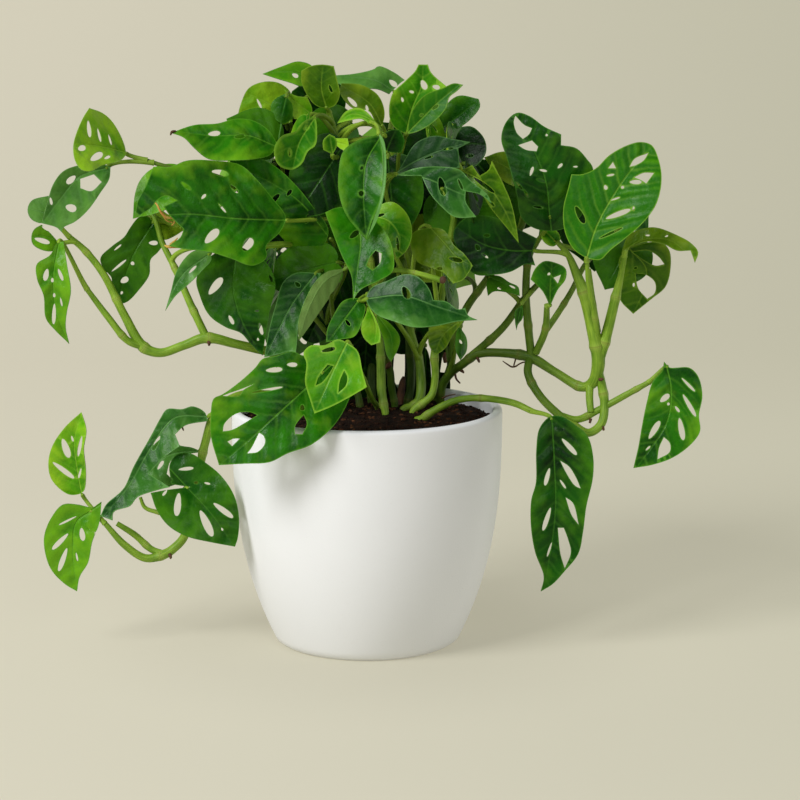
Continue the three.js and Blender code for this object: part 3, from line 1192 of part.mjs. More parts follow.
function soilSolid() {
  const gap = POT_WALL + SOIL_GAP + RIM_RADIUS * (1 - Math.cos(Math.PI / POT_SIDES));
  const profile = [new THREE.Vector2(0, POT_FLOOR + SOIL_GAP)];
  profile.push(new THREE.Vector2(potRadius(POT_FLOOR) - POT_WALL - 8, POT_FLOOR + SOIL_GAP));
  for (const share of [0.16, 0.34, 0.62]) {
    const z = share * POT_HEIGHT;
    profile.push(new THREE.Vector2(potRadius(z) - gap - 0.8, z));
  }
  profile.push(new THREE.Vector2(potRadius(SOIL_LEVEL) - gap - 0.8, SOIL_LEVEL));
  for (const share of [0.7, 0.35]) {
    const rise = SOIL_MOUND * (1 - share * share) + Math.sin(9 * share);
    profile.push(new THREE.Vector2(share * (RIM_RADIUS - gap), SOIL_LEVEL + rise));
  }
  profile.push(new THREE.Vector2(0, SOIL_LEVEL + SOIL_MOUND));
  let soil = toSolid(new THREE.LatheGeometry(profile, SOIL_SIDES).rotateX(Math.PI / 2));
  for (const entry of ROUTES.values()) {
    if (entry.rooted) soil = soil.subtract(toSolid(routeTube(entry, SOIL_GAP, FOOT_SPANS)));
  }
  return soil;
}

// ---------------------------------------------------------------------------------------------------------
// Assembly
// ---------------------------------------------------------------------------------------------------------
const group = new THREE.Group();
addNode(group, "pot", potGeometry().rotateX(Math.PI / 2), "pot");
addNode(group, "soil", toGeometry(soilSolid()), "soil");
for (const node of new Set([...ROUTES.values()].map((entry) => entry.node))) {
  addNode(group, node, toGeometry(stemSolid(node)), "stem");
}
for (const entry of LEAVES) {
  if (!entry.fused) addNode(group, `leaf_${entry.name}`, blade(entry), entry.finish);
}

export default group;
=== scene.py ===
# %% [markdown]
# # A potted monstera adansonii, dressed in Blender
# The plant is a climbing house plant with heart-shaped leaves that are full of drop-shaped holes. Its stems
# stand and hang in a plain white pot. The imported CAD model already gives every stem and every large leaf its
# place, so this script keeps that frame and puts a finer piece with a real surface over each solid.

import math
import random

import bpy
import numpy as np
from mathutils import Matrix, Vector, geometry, noise


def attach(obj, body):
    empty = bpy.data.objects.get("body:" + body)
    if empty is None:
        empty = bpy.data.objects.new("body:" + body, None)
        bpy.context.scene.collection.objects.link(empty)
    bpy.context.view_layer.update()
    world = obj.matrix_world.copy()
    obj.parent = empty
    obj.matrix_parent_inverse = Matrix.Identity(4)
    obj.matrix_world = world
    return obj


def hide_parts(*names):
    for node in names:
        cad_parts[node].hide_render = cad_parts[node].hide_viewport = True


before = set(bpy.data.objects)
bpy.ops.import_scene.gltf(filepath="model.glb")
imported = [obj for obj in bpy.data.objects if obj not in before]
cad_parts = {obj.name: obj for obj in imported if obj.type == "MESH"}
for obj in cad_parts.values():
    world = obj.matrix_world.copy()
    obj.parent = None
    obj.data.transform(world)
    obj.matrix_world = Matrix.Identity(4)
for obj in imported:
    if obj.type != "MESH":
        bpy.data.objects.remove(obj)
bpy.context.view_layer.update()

# %% [markdown]
# ## Camera, floor and light
# The camera looks slightly down on the pot through a long lens, so that it hardly changes the plant's shape.
# Behind the pot one seamless sheet of pale greenish beige runs from floor to wall, as in a studio. It glows
# with painted light, paler on the left and darker to the right, with a painted shadow round the pot's foot. A
# curved sheet could be a plane and a wall with a bevel; one swept profile is simpler and has no seam at all.

# %% Camera
MM = 0.001
EYE = Vector((22.0, -1505.0, 433.0))  # mm
CAMERA_PITCH = math.radians(90 - 10.2)  # 10.2 degrees down from level
LENS, SENSOR = 103.5, 36.0  # mm
camera = bpy.data.objects.new("camera", bpy.data.cameras.new("camera"))
camera.location = EYE * MM
camera.rotation_euler = (CAMERA_PITCH, 0, 0)
camera.data.lens = LENS
camera.data.sensor_width = SENSOR
bpy.context.scene.collection.objects.link(camera)
bpy.context.scene.camera = camera
bpy.context.scene.view_settings.view_transform = "Standard"
print("camera at", [round(v, 3) for v in camera.location])


# %% Colours as a maker names them
def colour(red, green, blue):
    """A colour given in the usual 0 to 255 steps, as the linear light that the shaders work in."""
    steps = [v / 255 for v in (red, green, blue)]
    linear = [v / 12.92 if v <= 0.04045 else ((v + 0.055) / 1.055) ** 2.4 for v in steps]
    return (*linear, 1.0)


# %% [markdown]
# ## A small kit for finishes
# A finish is a net of shader nodes. Wiring them one by one makes long code that hides the idea, so a signal
# wraps one socket and understands plain arithmetic. A finish then reads like a recipe.

# %% Signals and finishes
class Signal:
    """One value on its way through a finish. Plain arithmetic on it adds Math nodes."""

    def __init__(self, finish, socket):
        self.finish = finish
        self.socket = socket

    def math(self, operation, *others, clamp=False):
        """Adds one Math node that takes this value and the others."""
        node = self.finish.tree.nodes.new("ShaderNodeMath")
        node.operation = operation
        node.use_clamp = clamp
        for slot, value in zip(node.inputs, (self, *others)):
            self.finish.plug(slot, value)
        return Signal(self.finish, node.outputs[0])

    def __add__(self, other):
        return self.math("ADD", other)

    def __sub__(self, other):
        return self.math("SUBTRACT", other)

    def __mul__(self, other):
        return self.math("MULTIPLY", other)

    def __rsub__(self, other):
        return self.math("MULTIPLY", -1.0).math("ADD", other)

    __radd__ = __add__
    __rmul__ = __mul__

    def clamped(self):
        """The same value, held between 0 and 1."""
        return self.math("ADD", 0.0, clamp=True)

    def fades(self, start, end):
        """1 below start, 0 above end, and a soft step between them."""
        return self.finish.node(
            "ShaderNodeMapRange", {"interpolation_type": "SMOOTHSTEP"}, "Result",
            **{"Value": self, "From Min": start, "From Max": end, "To Min": 1.0, "To Max": 0.0},
        )


class Finish:
    """A material with one Principled shader, and short words for the nodes that feed it."""

    def __init__(self, name):
        self.material = bpy.data.materials.new(name)
        self.material.use_nodes = True
        self.tree = self.material.node_tree
        self.shader = self.tree.nodes["Principled BSDF"]

    def plug(self, slot, value):
        if isinstance(value, Signal):
            self.tree.links.new(value.socket, slot)
        else:
            slot.default_value = value

    def node(self, kind, settings=None, output=0, **inputs):
        made = self.tree.nodes.new(kind)
        for key, value in (settings or {}).items():
            setattr(made, key, value)
        for key, value in inputs.items():
            self.plug(made.inputs[key], value)
        return Signal(self, made.outputs[output])

    def written(self, attribute):
        """A number that the mesh carries at each of its points."""
        return self.node("ShaderNodeAttribute", {"attribute_name": attribute}, "Fac")

    def here(self):
        return self.node("ShaderNodeTexCoord", output="Object")

    def cloudy(self, scale, detail=3.0, where=None):
        return self.node("ShaderNodeTexNoise", None, "Fac",
                         **{"Vector": where or self.here(), "Scale": scale, "Detail": detail})

    def mixed(self, share, first, second):
        made = self.tree.nodes.new("ShaderNodeMix")
        made.data_type = "RGBA"
        self.plug(made.inputs["Factor"], share)
        colours = [s for s in made.inputs if s.type == "RGBA"]
        self.plug(colours[0], first)
        self.plug(colours[1], second)
        return Signal(self, next(s for s in made.outputs if s.type == "RGBA"))

    def bumped(self, height, depth):
        """A surface that is pushed out by height, depth metres for a height of 1."""
        return self.node("ShaderNodeBump", None, "Normal",
                         **{"Height": height, "Distance": depth, "Strength": 1.0})

    def wear(self, **inputs):
        """Sets the shader's own sockets; an underscore stands for a space in a socket's name."""
        for key, value in inputs.items():
            self.plug(self.shader.inputs[key.replace("_", " ")], value)
        return self.material


# %% Seamless backdrop
FLOOR_FRONT, FLOOR_BACK, BEND, WALL_TOP, HALF_WIDTH = -3.2, 1.2, 0.9, 3.2, 3.5  # metres
BEND_STEPS = 12

BACKDROP_PROFILE = [(FLOOR_FRONT, 0.0), (FLOOR_BACK, 0.0)]  # how far behind the pot, how high
for step in range(1, BEND_STEPS + 1):
    turn = math.radians(90 * step / BEND_STEPS)
    BACKDROP_PROFILE.append((FLOOR_BACK + BEND * math.sin(turn), BEND - BEND * math.cos(turn)))
BACKDROP_PROFILE.append((FLOOR_BACK + BEND, WALL_TOP))

corners = [(side * HALF_WIDTH, y, z) for y, z in BACKDROP_PROFILE for side in (-1, 1)]
strips = [(2 * k, 2 * k + 1, 2 * k + 3, 2 * k + 2) for k in range(len(BACKDROP_PROFILE) - 1)]
backdrop_mesh = bpy.data.meshes.new("backdrop")
backdrop_mesh.from_pydata(corners, [], strips)
backdrop_mesh.shade_smooth()
backdrop = bpy.data.objects.new("backdrop", backdrop_mesh)
bpy.context.scene.collection.objects.link(backdrop)

paper = Finish("backdrop_paper")
grain = paper.cloudy(2.2, 2.0)
across = paper.node("ShaderNodeSeparateXYZ", None, 0, Vector=paper.here())
behind = Signal(paper, across.socket.node.outputs["Y"])
from_pot = (across * across + behind * behind).math("SQRT")
shade = from_pot.fades(0.05, 0.22) * 0.22  # painted shadow: the glow is darker round the pot's foot, where the pot keeps the light off the paper
# Painted light: the paper glows of itself, paler on the left towards the key light and darker to the right
painted_glow = paper.mixed(across.fades(-0.7, 0.8), colour(192, 190, 168), colour(216, 210, 190))
painted_glow = paper.mixed(shade, painted_glow, colour(60, 56, 46))
backdrop_mesh.materials.append(paper.wear(
    Base_Color=paper.mixed(grain, colour(150, 147, 132), colour(146, 143, 128)),
    Emission_Color=painted_glow,
    Emission_Strength=0.6,
    Roughness=0.9,
))
print("backdrop:", len(strips), "strips")

# %% Soft studio light
KEY_POWER = 112.0  # watts, from a large soft box up on the left
FILL_POWER = 10.0
EDGE_POWER = 5.0
WORLD_LIGHT = 0.15


def soft_box(name, place, aim, size, power):
    lamp = bpy.data.lights.new(name, "AREA")
    lamp.shape = "RECTANGLE"
    lamp.size, lamp.size_y = size
    lamp.energy = power
    made = bpy.data.objects.new(name, lamp)
    made.location = place
    made.rotation_euler = (Vector(aim) - Vector(place)).to_track_quat("-Z", "Y").to_euler()
    bpy.context.scene.collection.objects.link(made)


soft_box("key_light", (-2.1, -1.8, 2.3), (0.0, 0.0, 0.2), (1.5, 1.5), KEY_POWER)
soft_box("fill_light", (0.9, -2.0, 1.2), (0.0, 0.0, 0.2), (1.4, 1.0), FILL_POWER)
soft_box("edge_light", (1.7, 0.5, 0.5), (0.0, 0.0, 0.15), (0.9, 0.9), EDGE_POWER)
world = bpy.data.worlds.new("studio")
world.use_nodes = True
world.node_tree.nodes["Background"].inputs["Color"].default_value = (0.97, 0.985, 1.0, 1.0)
world.node_tree.nodes["Background"].inputs["Strength"].default_value = WORLD_LIGHT
bpy.context.scene.world = world
print("lights: key", KEY_POWER, "W, fill", FILL_POWER, "W, edge", EDGE_POWER, "W")

# %% [markdown]
# ## Where things are
# Every place is given as it is seen on an upright board that stands through the middle of the pot: how far
# across, how far up, and how far behind the board. The eye's line through the board then gives the real
# place. It is a handy way to put leaves where they belong in the view and still spread them in depth.

# %% Places on the board
def place(point):
    """[across, up, depth] in mm, to the place in the frame, in mm."""
    across, up, depth = point[:3]
    share = (depth - EYE.y) / -EYE.y
    return EYE.lerp(Vector((across, 0, up)), share)


ROUTES = {}
LEAVES = []


# A route's shade is painted shade: how much darker its stem is painted where the plant shades it, one value or
# several spread evenly along it.
def route(name, node, points, rooted=False, shade=0.0):
    ROUTES[name] = {"node": node, "points": points, "rooted": rooted, "painted_shades": np.atleast_1d(shade)}


PLAIN_LEAF = {
    "edge": None, "holes": None,  # as drawn on the board; None leaves both to a rule
    "width": None,  # mm, of a leaf whose edge isn't drawn
    "roll": 0, "fold": 0, "curl": 0,  # degrees round the midrib, up from it, and back down at the sides
    "arch": 0, "wave": 0,  # how far the midrib bows and the edge ripples, as shares of its length and width
    "rim": 1,  # how wide the light line along the margin is, partly a painted highlight
    "tone": 0,  # painted light: paler than its finish above 0, darker with painted shade below 0
    "relief": None,  # how far it is puffed up between its veins, where its size doesn't say
}


def leaf(name, rib, finish, route, share, **more):
    said = {"name": name, "rib": rib, "finish": finish, "route": route, "share": share}
    LEAVES.append(PLAIN_LEAF | said | more)


# %% [markdown]
# ## The stems
# A stem is a soft green cane, thicker where a leaf once grew. Each is a route of a few places with a radius,
# and a smooth curve runs through them. Two vines hang out to the left, a tangle hangs on the right, and a
# bundle of canes stands in the middle. A route that starts in the soil is rooted.

# %% Routes
route("left_arch", "stem_left", [
    (-20, 154, 22, 3.4), (-23, 168, 18, 3.4), (-33, 181, 10, 3.3), (-50, 192, 0, 3.3),
    (-70, 196, -8, 3.2), (-87, 200, -12, 3.1), (-106, 204, -15, 3.7), (-121, 199, -15, 3.1),
    (-137, 194, -16, 3.1), (-148, 198, -16, 3.7), (-160, 219, -15, 2.9), (-173, 246, -13, 2.5),
    (-185, 262, -10, 2.3), (-195, 271, -10, 1.9)
], rooted=True)
route("left_riser", "stem_left", [
    (-106, 204, -15, 2.8), (-116, 226, -10, 2.6), (-126, 250, -2, 2.3), (-134, 267, 4, 2),
    (-140, 285, 10, 1.7), (-145, 286, 14, 1.5)
])
route("left_hanging_stalk", "stem_left", [
    (-148, 198, -16, 2.6), (-158, 202, -20, 2.5), (-171, 218, -22, 2.3), (-184, 236, -19, 1.8)
])
route("left_low", "stem_left_low", [
    (-41, 147, 12, 3.3), (-45, 159, 8, 3.3), (-63, 165, 0, 3.2), (-85, 165, -12, 3.2),
    (-100, 155, -17, 3.1), (-108, 133, -17, 3), (-115, 101, -18, 3), (-123, 69, -20, 3),
    (-130, 61, -21, 3.1), (-136, 57, -22, 3.3), (-149, 54, -24, 2.8), (-163, 63, -26, 2.6),
    (-176, 78, -27, 1.8)
], rooted=True, shade=0.1)
route("low_left_second", "stem_left_low", [
    (-136, 57, -22, 2.2), (-145, 60, -20, 2.4), (-156, 70, -18, 2.3), (-168, 78, -17, 1.8)
])
route("low_left_curl", "stem_left_low", [
    (-120, 79, -19, 1.6), (-138, 85, -12, 1.6), (-149, 89, -10, 1.4), (-152, 96, -10, 1.2)
])
route("right_vine", "stem_right", [
    (49, 160, 50, 3), (49, 167, 47, 3), (51, 174, 44, 3), (57, 181.5, 38, 3), (63, 186, 31, 3.1),
    (73, 193, 25, 3.2), (88, 194, 18, 3.1), (108, 191, 10, 3.7), (125, 181, 4, 3), (143, 171, -4, 3.3),
    (150, 174, -8, 4), (153.5, 187, -12, 4.7), (150, 208, -14, 4.6), (144.6, 230, -14, 4.3),
    (138, 247, -13, 3.2), (132, 260, -12, 2.1), (125, 268, -10, 1.8)
], rooted=True, shade=(0.8, 0.8, 0.75, 0.1, 0.1, 0.35))
route("right_tall", "stem_right", [
    (153, 187, -12, 4), (158, 204, -14, 3.8), (164, 230, -16, 3.3), (167.5, 246, -16, 2.1),
    (169.5, 258, -17, 1.7)
])
route("right_loop", "stem_right", [
    (108, 191, 10, 2.9), (107, 180, 0, 2.9), (115, 165, -10, 2.9), (128, 152, -16, 2.9),
    (139, 144, -18, 2.9), (148, 140, -18, 2.9), (156, 146, -16, 3), (158, 159, -12, 3.1),
    (156, 172, -10, 3.2), (153, 184, -12, 3)
], shade=(0.75, 0.65, 0.4, 0.1, 0, 0))
route("right_link", "stem_right", [
    (148, 172, -8, 2.8), (148, 163, -11, 2.6), (149, 154, -14, 2.4)
])
route("right_hanging_stalk", "stem_right", [
    (128, 152, -16, 2.4), (140, 149, -15, 2.5), (155, 156, -12, 2.4), (171, 165, -14, 2.3),
    (187, 174, -20, 1.8)
], shade=(0, 0.1, 0.3))
route("right_upright", "stem_right", [
    (109, 192, 10, 2.9), (107, 209, 6, 2.9), (105, 236, 2, 2.7), (107, 259, 0, 2.5), (111, 266, -2, 2)
], shade=0.6)
route("right_branch", "stem_right", [
    (69, 192, 27, 2.5), (81, 202, 22, 2.8), (91, 212, 16, 2.6), (104, 230, 6, 2.4), (117, 244, -2, 1.8)
], shade=0.6)
route("right_young_stalk", "stem_right", [
    (112, 194, 8, 2.6), (118, 209, 0, 2.6), (119, 225, -8, 2)
], shade=0.45)
route("right_brown", "stem_right", [
    (118, 208, 1, 2.2), (126, 220, 6, 2.2), (135, 235, 12, 2), (144, 253, 16, 1.8), (156, 266, 16, 1.4)
], shade=0.45)
route("right_large_stalk", "stem_right", [
    (153, 202, -14, 2), (150, 222, -24, 2), (146, 242, -34, 1.8), (145, 255, -40, 1.3)
])
route("front_right", "stem_front_right", [
    (32, 147.5, -6, 2.7), (36.6, 149.5, -8, 2.7), (42, 153.4, -9, 2.7), (50, 158, -10, 2.6),
    (58.5, 161.7, -11, 2.5), (68.5, 163.4, -12, 2.4), (82, 163, -16, 2.4), (98, 160, -22, 2.4),
    (109, 155, -28, 2.1)
], rooted=True)
route("front_low", "stem_front_low", [
    (7.5, 155.5, 20, 1.9), (3.5, 163, 10, 1.9), (0, 171, -2, 1.9), (-6, 185, -40, 1.9), (-11, 198, -84, 1.6)
], rooted=True)
route("mid_left", "stem_mid_left", [
    (12.5, 152, 4, 2.6), (11, 160, 6, 2.9), (9.6, 170, 10, 3.3), (9.4, 181, 12, 3.2), (8.8, 199, 13, 2.7),
    (7.5, 210, 13, 2.7), (6, 236, 12, 2.7), (-1, 269, 14, 2.6), (-10, 302, 16, 2.4), (-17, 328, 16, 2.2),
    (-24, 352, 14, 1.8)
], rooted=True, shade=0.15)
route("mid", "stem_mid", [
    (24, 155.5, 24, 2.8), (30, 158, 26, 3), (34.5, 162, 28, 3.2), (36, 170, 32, 3.5), (35.6, 180, 36, 3.3),
    (34.4, 190, 38, 3.1), (31.3, 200, 40, 2.8), (29, 209, 40, 2.8), (28.5, 222, 38, 2.8), (30, 242, 36, 2.9),
    (25, 275, 34, 2.6), (20, 308, 30, 2.4), (16, 341, 28, 2)
], rooted=True, shade=0.2)
route("mid_right", "stem_mid_right", [
    (31, 155, 14, 2.6), (36, 159, 15, 2.7), (42.6, 165, 16, 2.6), (44.4, 170, 17, 2.5), (45.4, 180, 18, 2.6),
    (44.8, 191, 18, 2.8), (46, 204, 21.5, 2.7), (48, 222, 20, 2.7), (53, 256, 14, 2.5), (58, 289, 14, 2.2),
    (58, 318, 14, 1.9), (52, 333, 18, 1.5)
], rooted=True)
route("back_left", "stem_back_left", [
    (-4.5, 156, 34, 2.4), (-6, 166, 38, 2.6), (-10, 178, 42, 3), (-19, 196, 46, 3), (-30, 222, 50, 2.8),
    (-41, 249, 52, 2.6), (-49, 275, 54, 2.4), (-53, 302, 54, 2.2), (-51, 328, 50, 2), (-46, 352, 44, 1.6)
], rooted=True, shade=0.75)
route("left_reach", "stem_back_left", [
    (-50, 278, 54, 1.8), (-62, 292, 44, 1.8), (-86, 306, 24, 1.7), (-109, 314, 8, 1.6),
    (-130, 317, 0, 1.6), (-143, 321, -2, 1.4)
], shade=0.6)
route("right_back", "stem_right_back", [
    (45, 162.5, 64, 2.8), (48, 170, 62, 3), (54, 180, 60, 3), (56.5, 190, 60, 2.8), (58, 205, 58, 2.8),
    (66, 224, 52, 2.8), (80, 244, 40, 2.6), (93, 264, 28, 2.4), (103, 281, 20, 2.1), (105, 298, 18, 1.7)
], rooted=True, shade=0.7)
route("mid_dark", "stem_mid", [
    (27, 160, 46, 2.8), (29, 170, 48, 3), (29.5, 184, 50, 3), (28, 200, 48, 2.8), (28, 222, 43, 2.6),
    (29, 242, 36, 2.2)
], rooted=True, shade=0.9)
route("low_dark", "stem_mid_left", [
    (18.5, 159, 36, 2.4), (16.5, 170, 34, 2.7), (15.5, 181, 31, 2.7), (13, 190, 25, 2.3), (9, 201, 14, 2.2)
], rooted=True, shade=0.9)
route("pale_stub", "stem_mid_left", [
    (6, 232, 12, 1.9), (10, 244, -20, 1.9), (18, 249, -46, 1.8), (33, 247, -56, 1.8), (50, 242, -58, 2.1)
])
route("back", "stem_back", [
    (3, 162, 58, 2.9), (3, 178, 64, 3.1), (4, 195, 74, 3), (6, 222, 82, 2.9), (6, 256, 86, 2.7),
    (3, 289, 84, 2.4), (2, 321, 78, 2)
], rooted=True, shade=0.9)
route("left_stub", "stem_back_left", [
    (-48, 272, 53, 1.8), (-46, 268, 30, 1.9), (-50, 266, -6, 2), (-58, 266, -24, 2.3), (-69, 265, -30, 2.2)
])
route("right_rib", "stem_right", [
    (169.5, 256, -17, 1.6), (171, 264, -18, 1.5), (177, 268.5, -19, 1.2), (187, 269.5, -18, 0.8)
])
route("right_thin", "stem_right", [(153.5, 208, -11, 1.6), (150, 228, -4, 1.3), (146.7, 250, 0, 1.1)])
print("routes:", len(ROUTES), "on", len({entry["node"] for entry in ROUTES.values()}), "stems")

# %% [markdown]
# ## Leaves on the left
# The left vine ends in young bright leaves, and broad older ones hang back over it. A leaf has a midrib of a
# few places, its green, the stem that it grows from, and how its blade is rolled and folded. Where a leaf
# shows well, its edge is drawn on the board as the eye sees it, and so is each hole: as a long oval from one
# end to the other with a width, or as an outline of its own. Each leaf is also painted lighter or darker by
# the light that falls on it: one in the shade of the others has a tone below 0 and is painted darker, and
# one that hangs in the light has a tone above 0 and is painted paler.

# %% Blades at the end of the left vine
leaf("left_top", [(-157, 326, -5), (-173, 330, -20), (-190, 332, -36)], "bright", "left_reach", 1, roll=35,
     fold=14, wave=0.06, tone=1.5,
     edge=[(-157, 327), (-160, 337), (-166, 347), (-172, 352), (-180, 355), (-184, 349), (-189, 338),
         (-191, 330), (-190, 321), (-186, 315), (-180, 314), (-172, 318), (-163, 320), (-158, 323)],
     holes=[(-181, 347, -180, 336, 2.8), (-175, 342, -173, 333, 1.8), (-168, 338, -166, 331, 1.5),
         (-188, 328, -183, 330, 4), (-180, 321, -172, 326, 4.5), (-171, 322, -167, 324, 2)])
leaf("left_long", [(-170, 316, -10), (-187, 311, -15), (-199, 298, -20), (-212, 281, -25)], "grey",
     "left_reach", 0.93, roll=-12, fold=12, wave=0.05, tone=1.5,
     edge=[(-167, 317), (-168, 309), (-174, 300), (-182, 289), (-191, 281), (-199, 277), (-200, 274),
         (-203, 277), (-213, 280), (-209, 293), (-205, 305), (-198, 314), (-187, 318), (-174, 319)],
     holes=[(-190, 311, -196, 306, 4), [(-187, 309), (-178, 312), (-173, 307), (-180, 301), (-187, 303)],
         (-197, 291, -190, 289, 5), (-207, 297, -206, 292, 2)])
leaf("left_lobe", [(-209, 286, -18), (-222, 290, -22)], "grey", "left_arch", 1, roll=15, fold=4, tone=2,
     edge=[(-208, 298), (-219, 295), (-222, 289), (-220, 283), (-214, 280), (-209, 281), (-207, 290)])
leaf("left_ring", [(-201, 267, -14), (-210, 271, -19), (-220, 271, -24)], "mid", "left_arch", 0.97, roll=10,
     fold=20, tone=2,
     edge=[(-202, 267), (-207, 273), (-213, 279), (-218, 276), (-220, 271), (-219, 266), (-212, 262),
         (-205, 262)],
     holes=[(-218, 270, -208, 267, 3.5), (-213, 278, -208, 275, 1.6)])
leaf("left_hanging", [(-202, 267, -27), (-206, 246, -31), (-205, 222, -30), (-197, 200, -27)], "mid",
     "left_hanging_stalk", 1, roll=6, fold=20, wave=0.05, tone=1.5,
     edge=[(-203, 267), (-208, 259), (-217, 253), (-217, 243), (-213, 232), (-212, 217), (-206, 209),
         (-197, 200), (-199, 211), (-198, 221), (-195, 235), (-197, 252), (-199, 268)],
     holes=[(-210, 250, -212, 242, 3.5), (-203, 250, -200, 242, 2.5), (-207, 244, -207, 241, 2),
         (-206, 234, -206, 231, 1.8), (-202, 231, -201, 225, 1.4), (-206, 227, -207, 213, 2.6)])
leaf("left_dark", [(-140, 280, 12), (-152, 262, 6), (-159, 245, 5), (-165, 226, 5)], "dark", "left_riser", 1,
     roll=-10, fold=10, wave=0.06, tone=1.5,
     edge=[(-143, 284), (-149, 284), (-155, 277), (-159, 271), (-167, 265), (-175, 257), (-173, 250),
         (-168, 244), (-168, 236), (-165, 226), (-158, 228), (-150, 236), (-143, 246), (-142, 256),
         (-137, 261), (-134, 266), (-137, 275)],
     holes=[(-166, 262, -161, 266, 1.3), (-168, 248, -158, 256, 1.7), (-155, 253, -153, 254, 2.5),
         (-162, 241, -157, 244, 4), (-162, 233, -161, 235, 1.6), (-143, 267, -137, 267, 3)])
leaf("left_shoulder", [(-118, 311, -2), (-153, 283, -12)], "mid", "back_left", 0.6, width=32, roll=30, fold=8,
     arch=0.12, tone=1, holes=())
leaf("left_broad", [(-53, 282, -28), (-85, 283, -46), (-118, 286, -58), (-152, 283, -66)], "mid", "mid_left",
     0.72, roll=8, fold=9, wave=0.1,
     edge=[(-53, 284), (-57, 274), (-66, 265), (-66, 257), (-75, 252), (-90, 257), (-103, 261), (-120, 263),
         (-130, 265), (-122, 271), (-120, 276), (-128, 284), (-133, 291), (-124, 295), (-131, 298),
         (-137, 295), (-141, 290), (-152, 283), (-150, 294), (-144, 305), (-139, 317), (-128, 317),
         (-117, 321), (-100, 321), (-82, 318), (-72, 309), (-62, 297)],
     holes=[(-121, 307, -115, 302, 2.2), (-108, 296, -105, 299, 2), (-101, 314, -90, 312, 4),
         (-89, 305, -84, 300, 2.6), (-106, 267, -97, 276, 5.5), (-81, 262, -75, 270, 6),
         (-97, 293, -92, 287, 1.4)])
leaf("left_small", [(-104, 259, -34), (-119, 248, -37), (-127, 237, -39), (-133, 222, -40)], "grey",
     "left_riser", 0.45, roll=12, fold=6, wave=0.06, tone=1,
     edge=[(-103, 261), (-113, 262), (-121, 255), (-126, 246), (-129, 235), (-133, 222), (-126, 232),
         (-117, 240), (-107, 250), (-102, 256)],
     holes=[(-117, 247, -112, 252, 1.8)])
print("blades so far:", len(LEAVES))

# %% [markdown]
# ## Leaves at the top
# The crown is the densest part. Its leaves face the light in all directions, and some still curl.

# %% Blades at the top
leaf("upper_left", [(-59, 330, -12), (-77, 337, -18), (-100, 337, -23), (-126, 340, -26)], "mid", "mid_left",
     0.85, roll=30, fold=8, wave=0.08, tone=0.5,
     edge=[(-58, 332), (-64, 341), (-74, 347), (-85, 348), (-97, 345), (-112, 344), (-127, 339), (-119, 336),
         (-112, 329), (-103, 322), (-88, 321), (-72, 322), (-62, 325)],
     holes=[(-103, 338, -95, 339, 3.5), (-86, 336, -79, 337, 2.6)])
leaf("upper_left_back", [(-58, 331, 6), (-91, 348, 2)], "dark", "back_left", 0.8, width=36, roll=25, arch=0.1,
     tone=2, holes=())
leaf("top_left_bright", [(-50, 346, 30), (-62, 357, 25), (-80, 366, 18)], "bright", "back_left", 0.9, roll=5,
     fold=6, wave=0.05, tone=2,
     edge=[(-48, 346), (-48, 356), (-49, 365), (-56, 371), (-66, 372), (-76, 368), (-81, 359), (-84, 348),
         (-75, 344), (-60, 343)],
     holes=[(-71, 361, -68, 355, 1.6), (-68, 355, -70, 349, 1.8)])
leaf("top_left_tip", [(-33, 374, 22), (-48, 378, 15), (-67, 377, 8)], "mid", "back_left", 1, roll=35, fold=10,
     tone=1,
     edge=[(-33, 376), (-35, 382), (-44, 385), (-54, 382), (-67, 377), (-58, 374), (-48, 371), (-42, 369),
         (-36, 371)],
     holes=[(-48, 377, -44, 375, 3)])
leaf("top_olive", [(-26, 356, 6), (-29, 368, 2), (-28, 382, -2)], "olive", "mid_left", 1, roll=-15, fold=10,
     tone=-0.5,
     edge=[(-26, 355), (-33, 357), (-38, 363), (-42, 372), (-42, 379), (-36, 382), (-28, 383), (-21, 382),
         (-19, 374), (-17, 364), (-20, 357)],
     holes=[(-24, 370, -22, 365, 1.8)])
leaf("top_grey", [(18, 366, 40), (5, 373, 36), (-20, 375, 32)], "grey", "mid", 1, roll=35, fold=8, tone=1.5,
     edge=[(22, 371), (15, 364), (8, 367), (-4, 368), (-18, 371), (-20, 376), (-8, 377), (5, 380), (8, 382),
         (18, 378), (25, 373)],
     holes=[(15, 373, 20, 369, 3.6)])
leaf("top_arch", [(10, 344, 16), (2, 358, 12), (-16, 370, 8)], "olive", "mid", 0.95, roll=10, fold=6,
     tone=0.5,
     edge=[(10, 342), (12, 352), (8, 363), (-3, 370), (-16, 371), (-17, 365), (-9, 355), (2, 353), (6, 346)],
     holes=[(-12, 362, -6, 356, 3), (0, 357, 1, 353, 2)])
leaf("centre_curl", [(11, 338, -24), (2, 348, -28), (-10, 351, -29), (-19, 345, -30)], "bright", "mid_left",
     0.9, roll=15, fold=10, rim=2.2, tone=0.5,
     edge=[(12, 338), (8, 343), (3, 350), (-4, 355), (-13, 353), (-19, 345), (-11, 347), (-3, 348), (4, 343)])
leaf("round_hollow", [(13, 327, -14), (16, 334, -18), (20, 342, -20)], "dark", "mid_left", 0.86, roll=8,
     fold=18, tone=-0.5, relief=-0.7,
     edge=[(14, 327), (23, 326), (25, 334), (22, 341), (16, 341), (11, 337), (11, 331)])
leaf("centre_round", [(-22, 325, -34), (-24, 338, -40)], "bright", "mid_left", 0.86, roll=8, fold=10, rim=1.6,
     tone=-0.5,
     edge=[(-22, 325), (-19, 331), (-20, 336), (-24, 338), (-28, 334), (-28, 328)])
leaf("centre_hanging", [(9, 336, -44), (0, 320, -52), (-2, 300, -59), (0, 269, -64)], "mid", "mid_left", 0.92,
     roll=4, fold=24, rim=2.4, tone=-0.5, relief=-0.4,
     edge=[(9, 338), (-6, 334), (-15, 327), (-18, 314), (-18, 300), (-13, 285), (-6, 276), (0, 269), (4, 282),
         (10, 296), (12, 312), (11, 328)],
     holes=[(-4, 315, -2, 317, 2), (-5, 300, -2, 299, 3.6)])
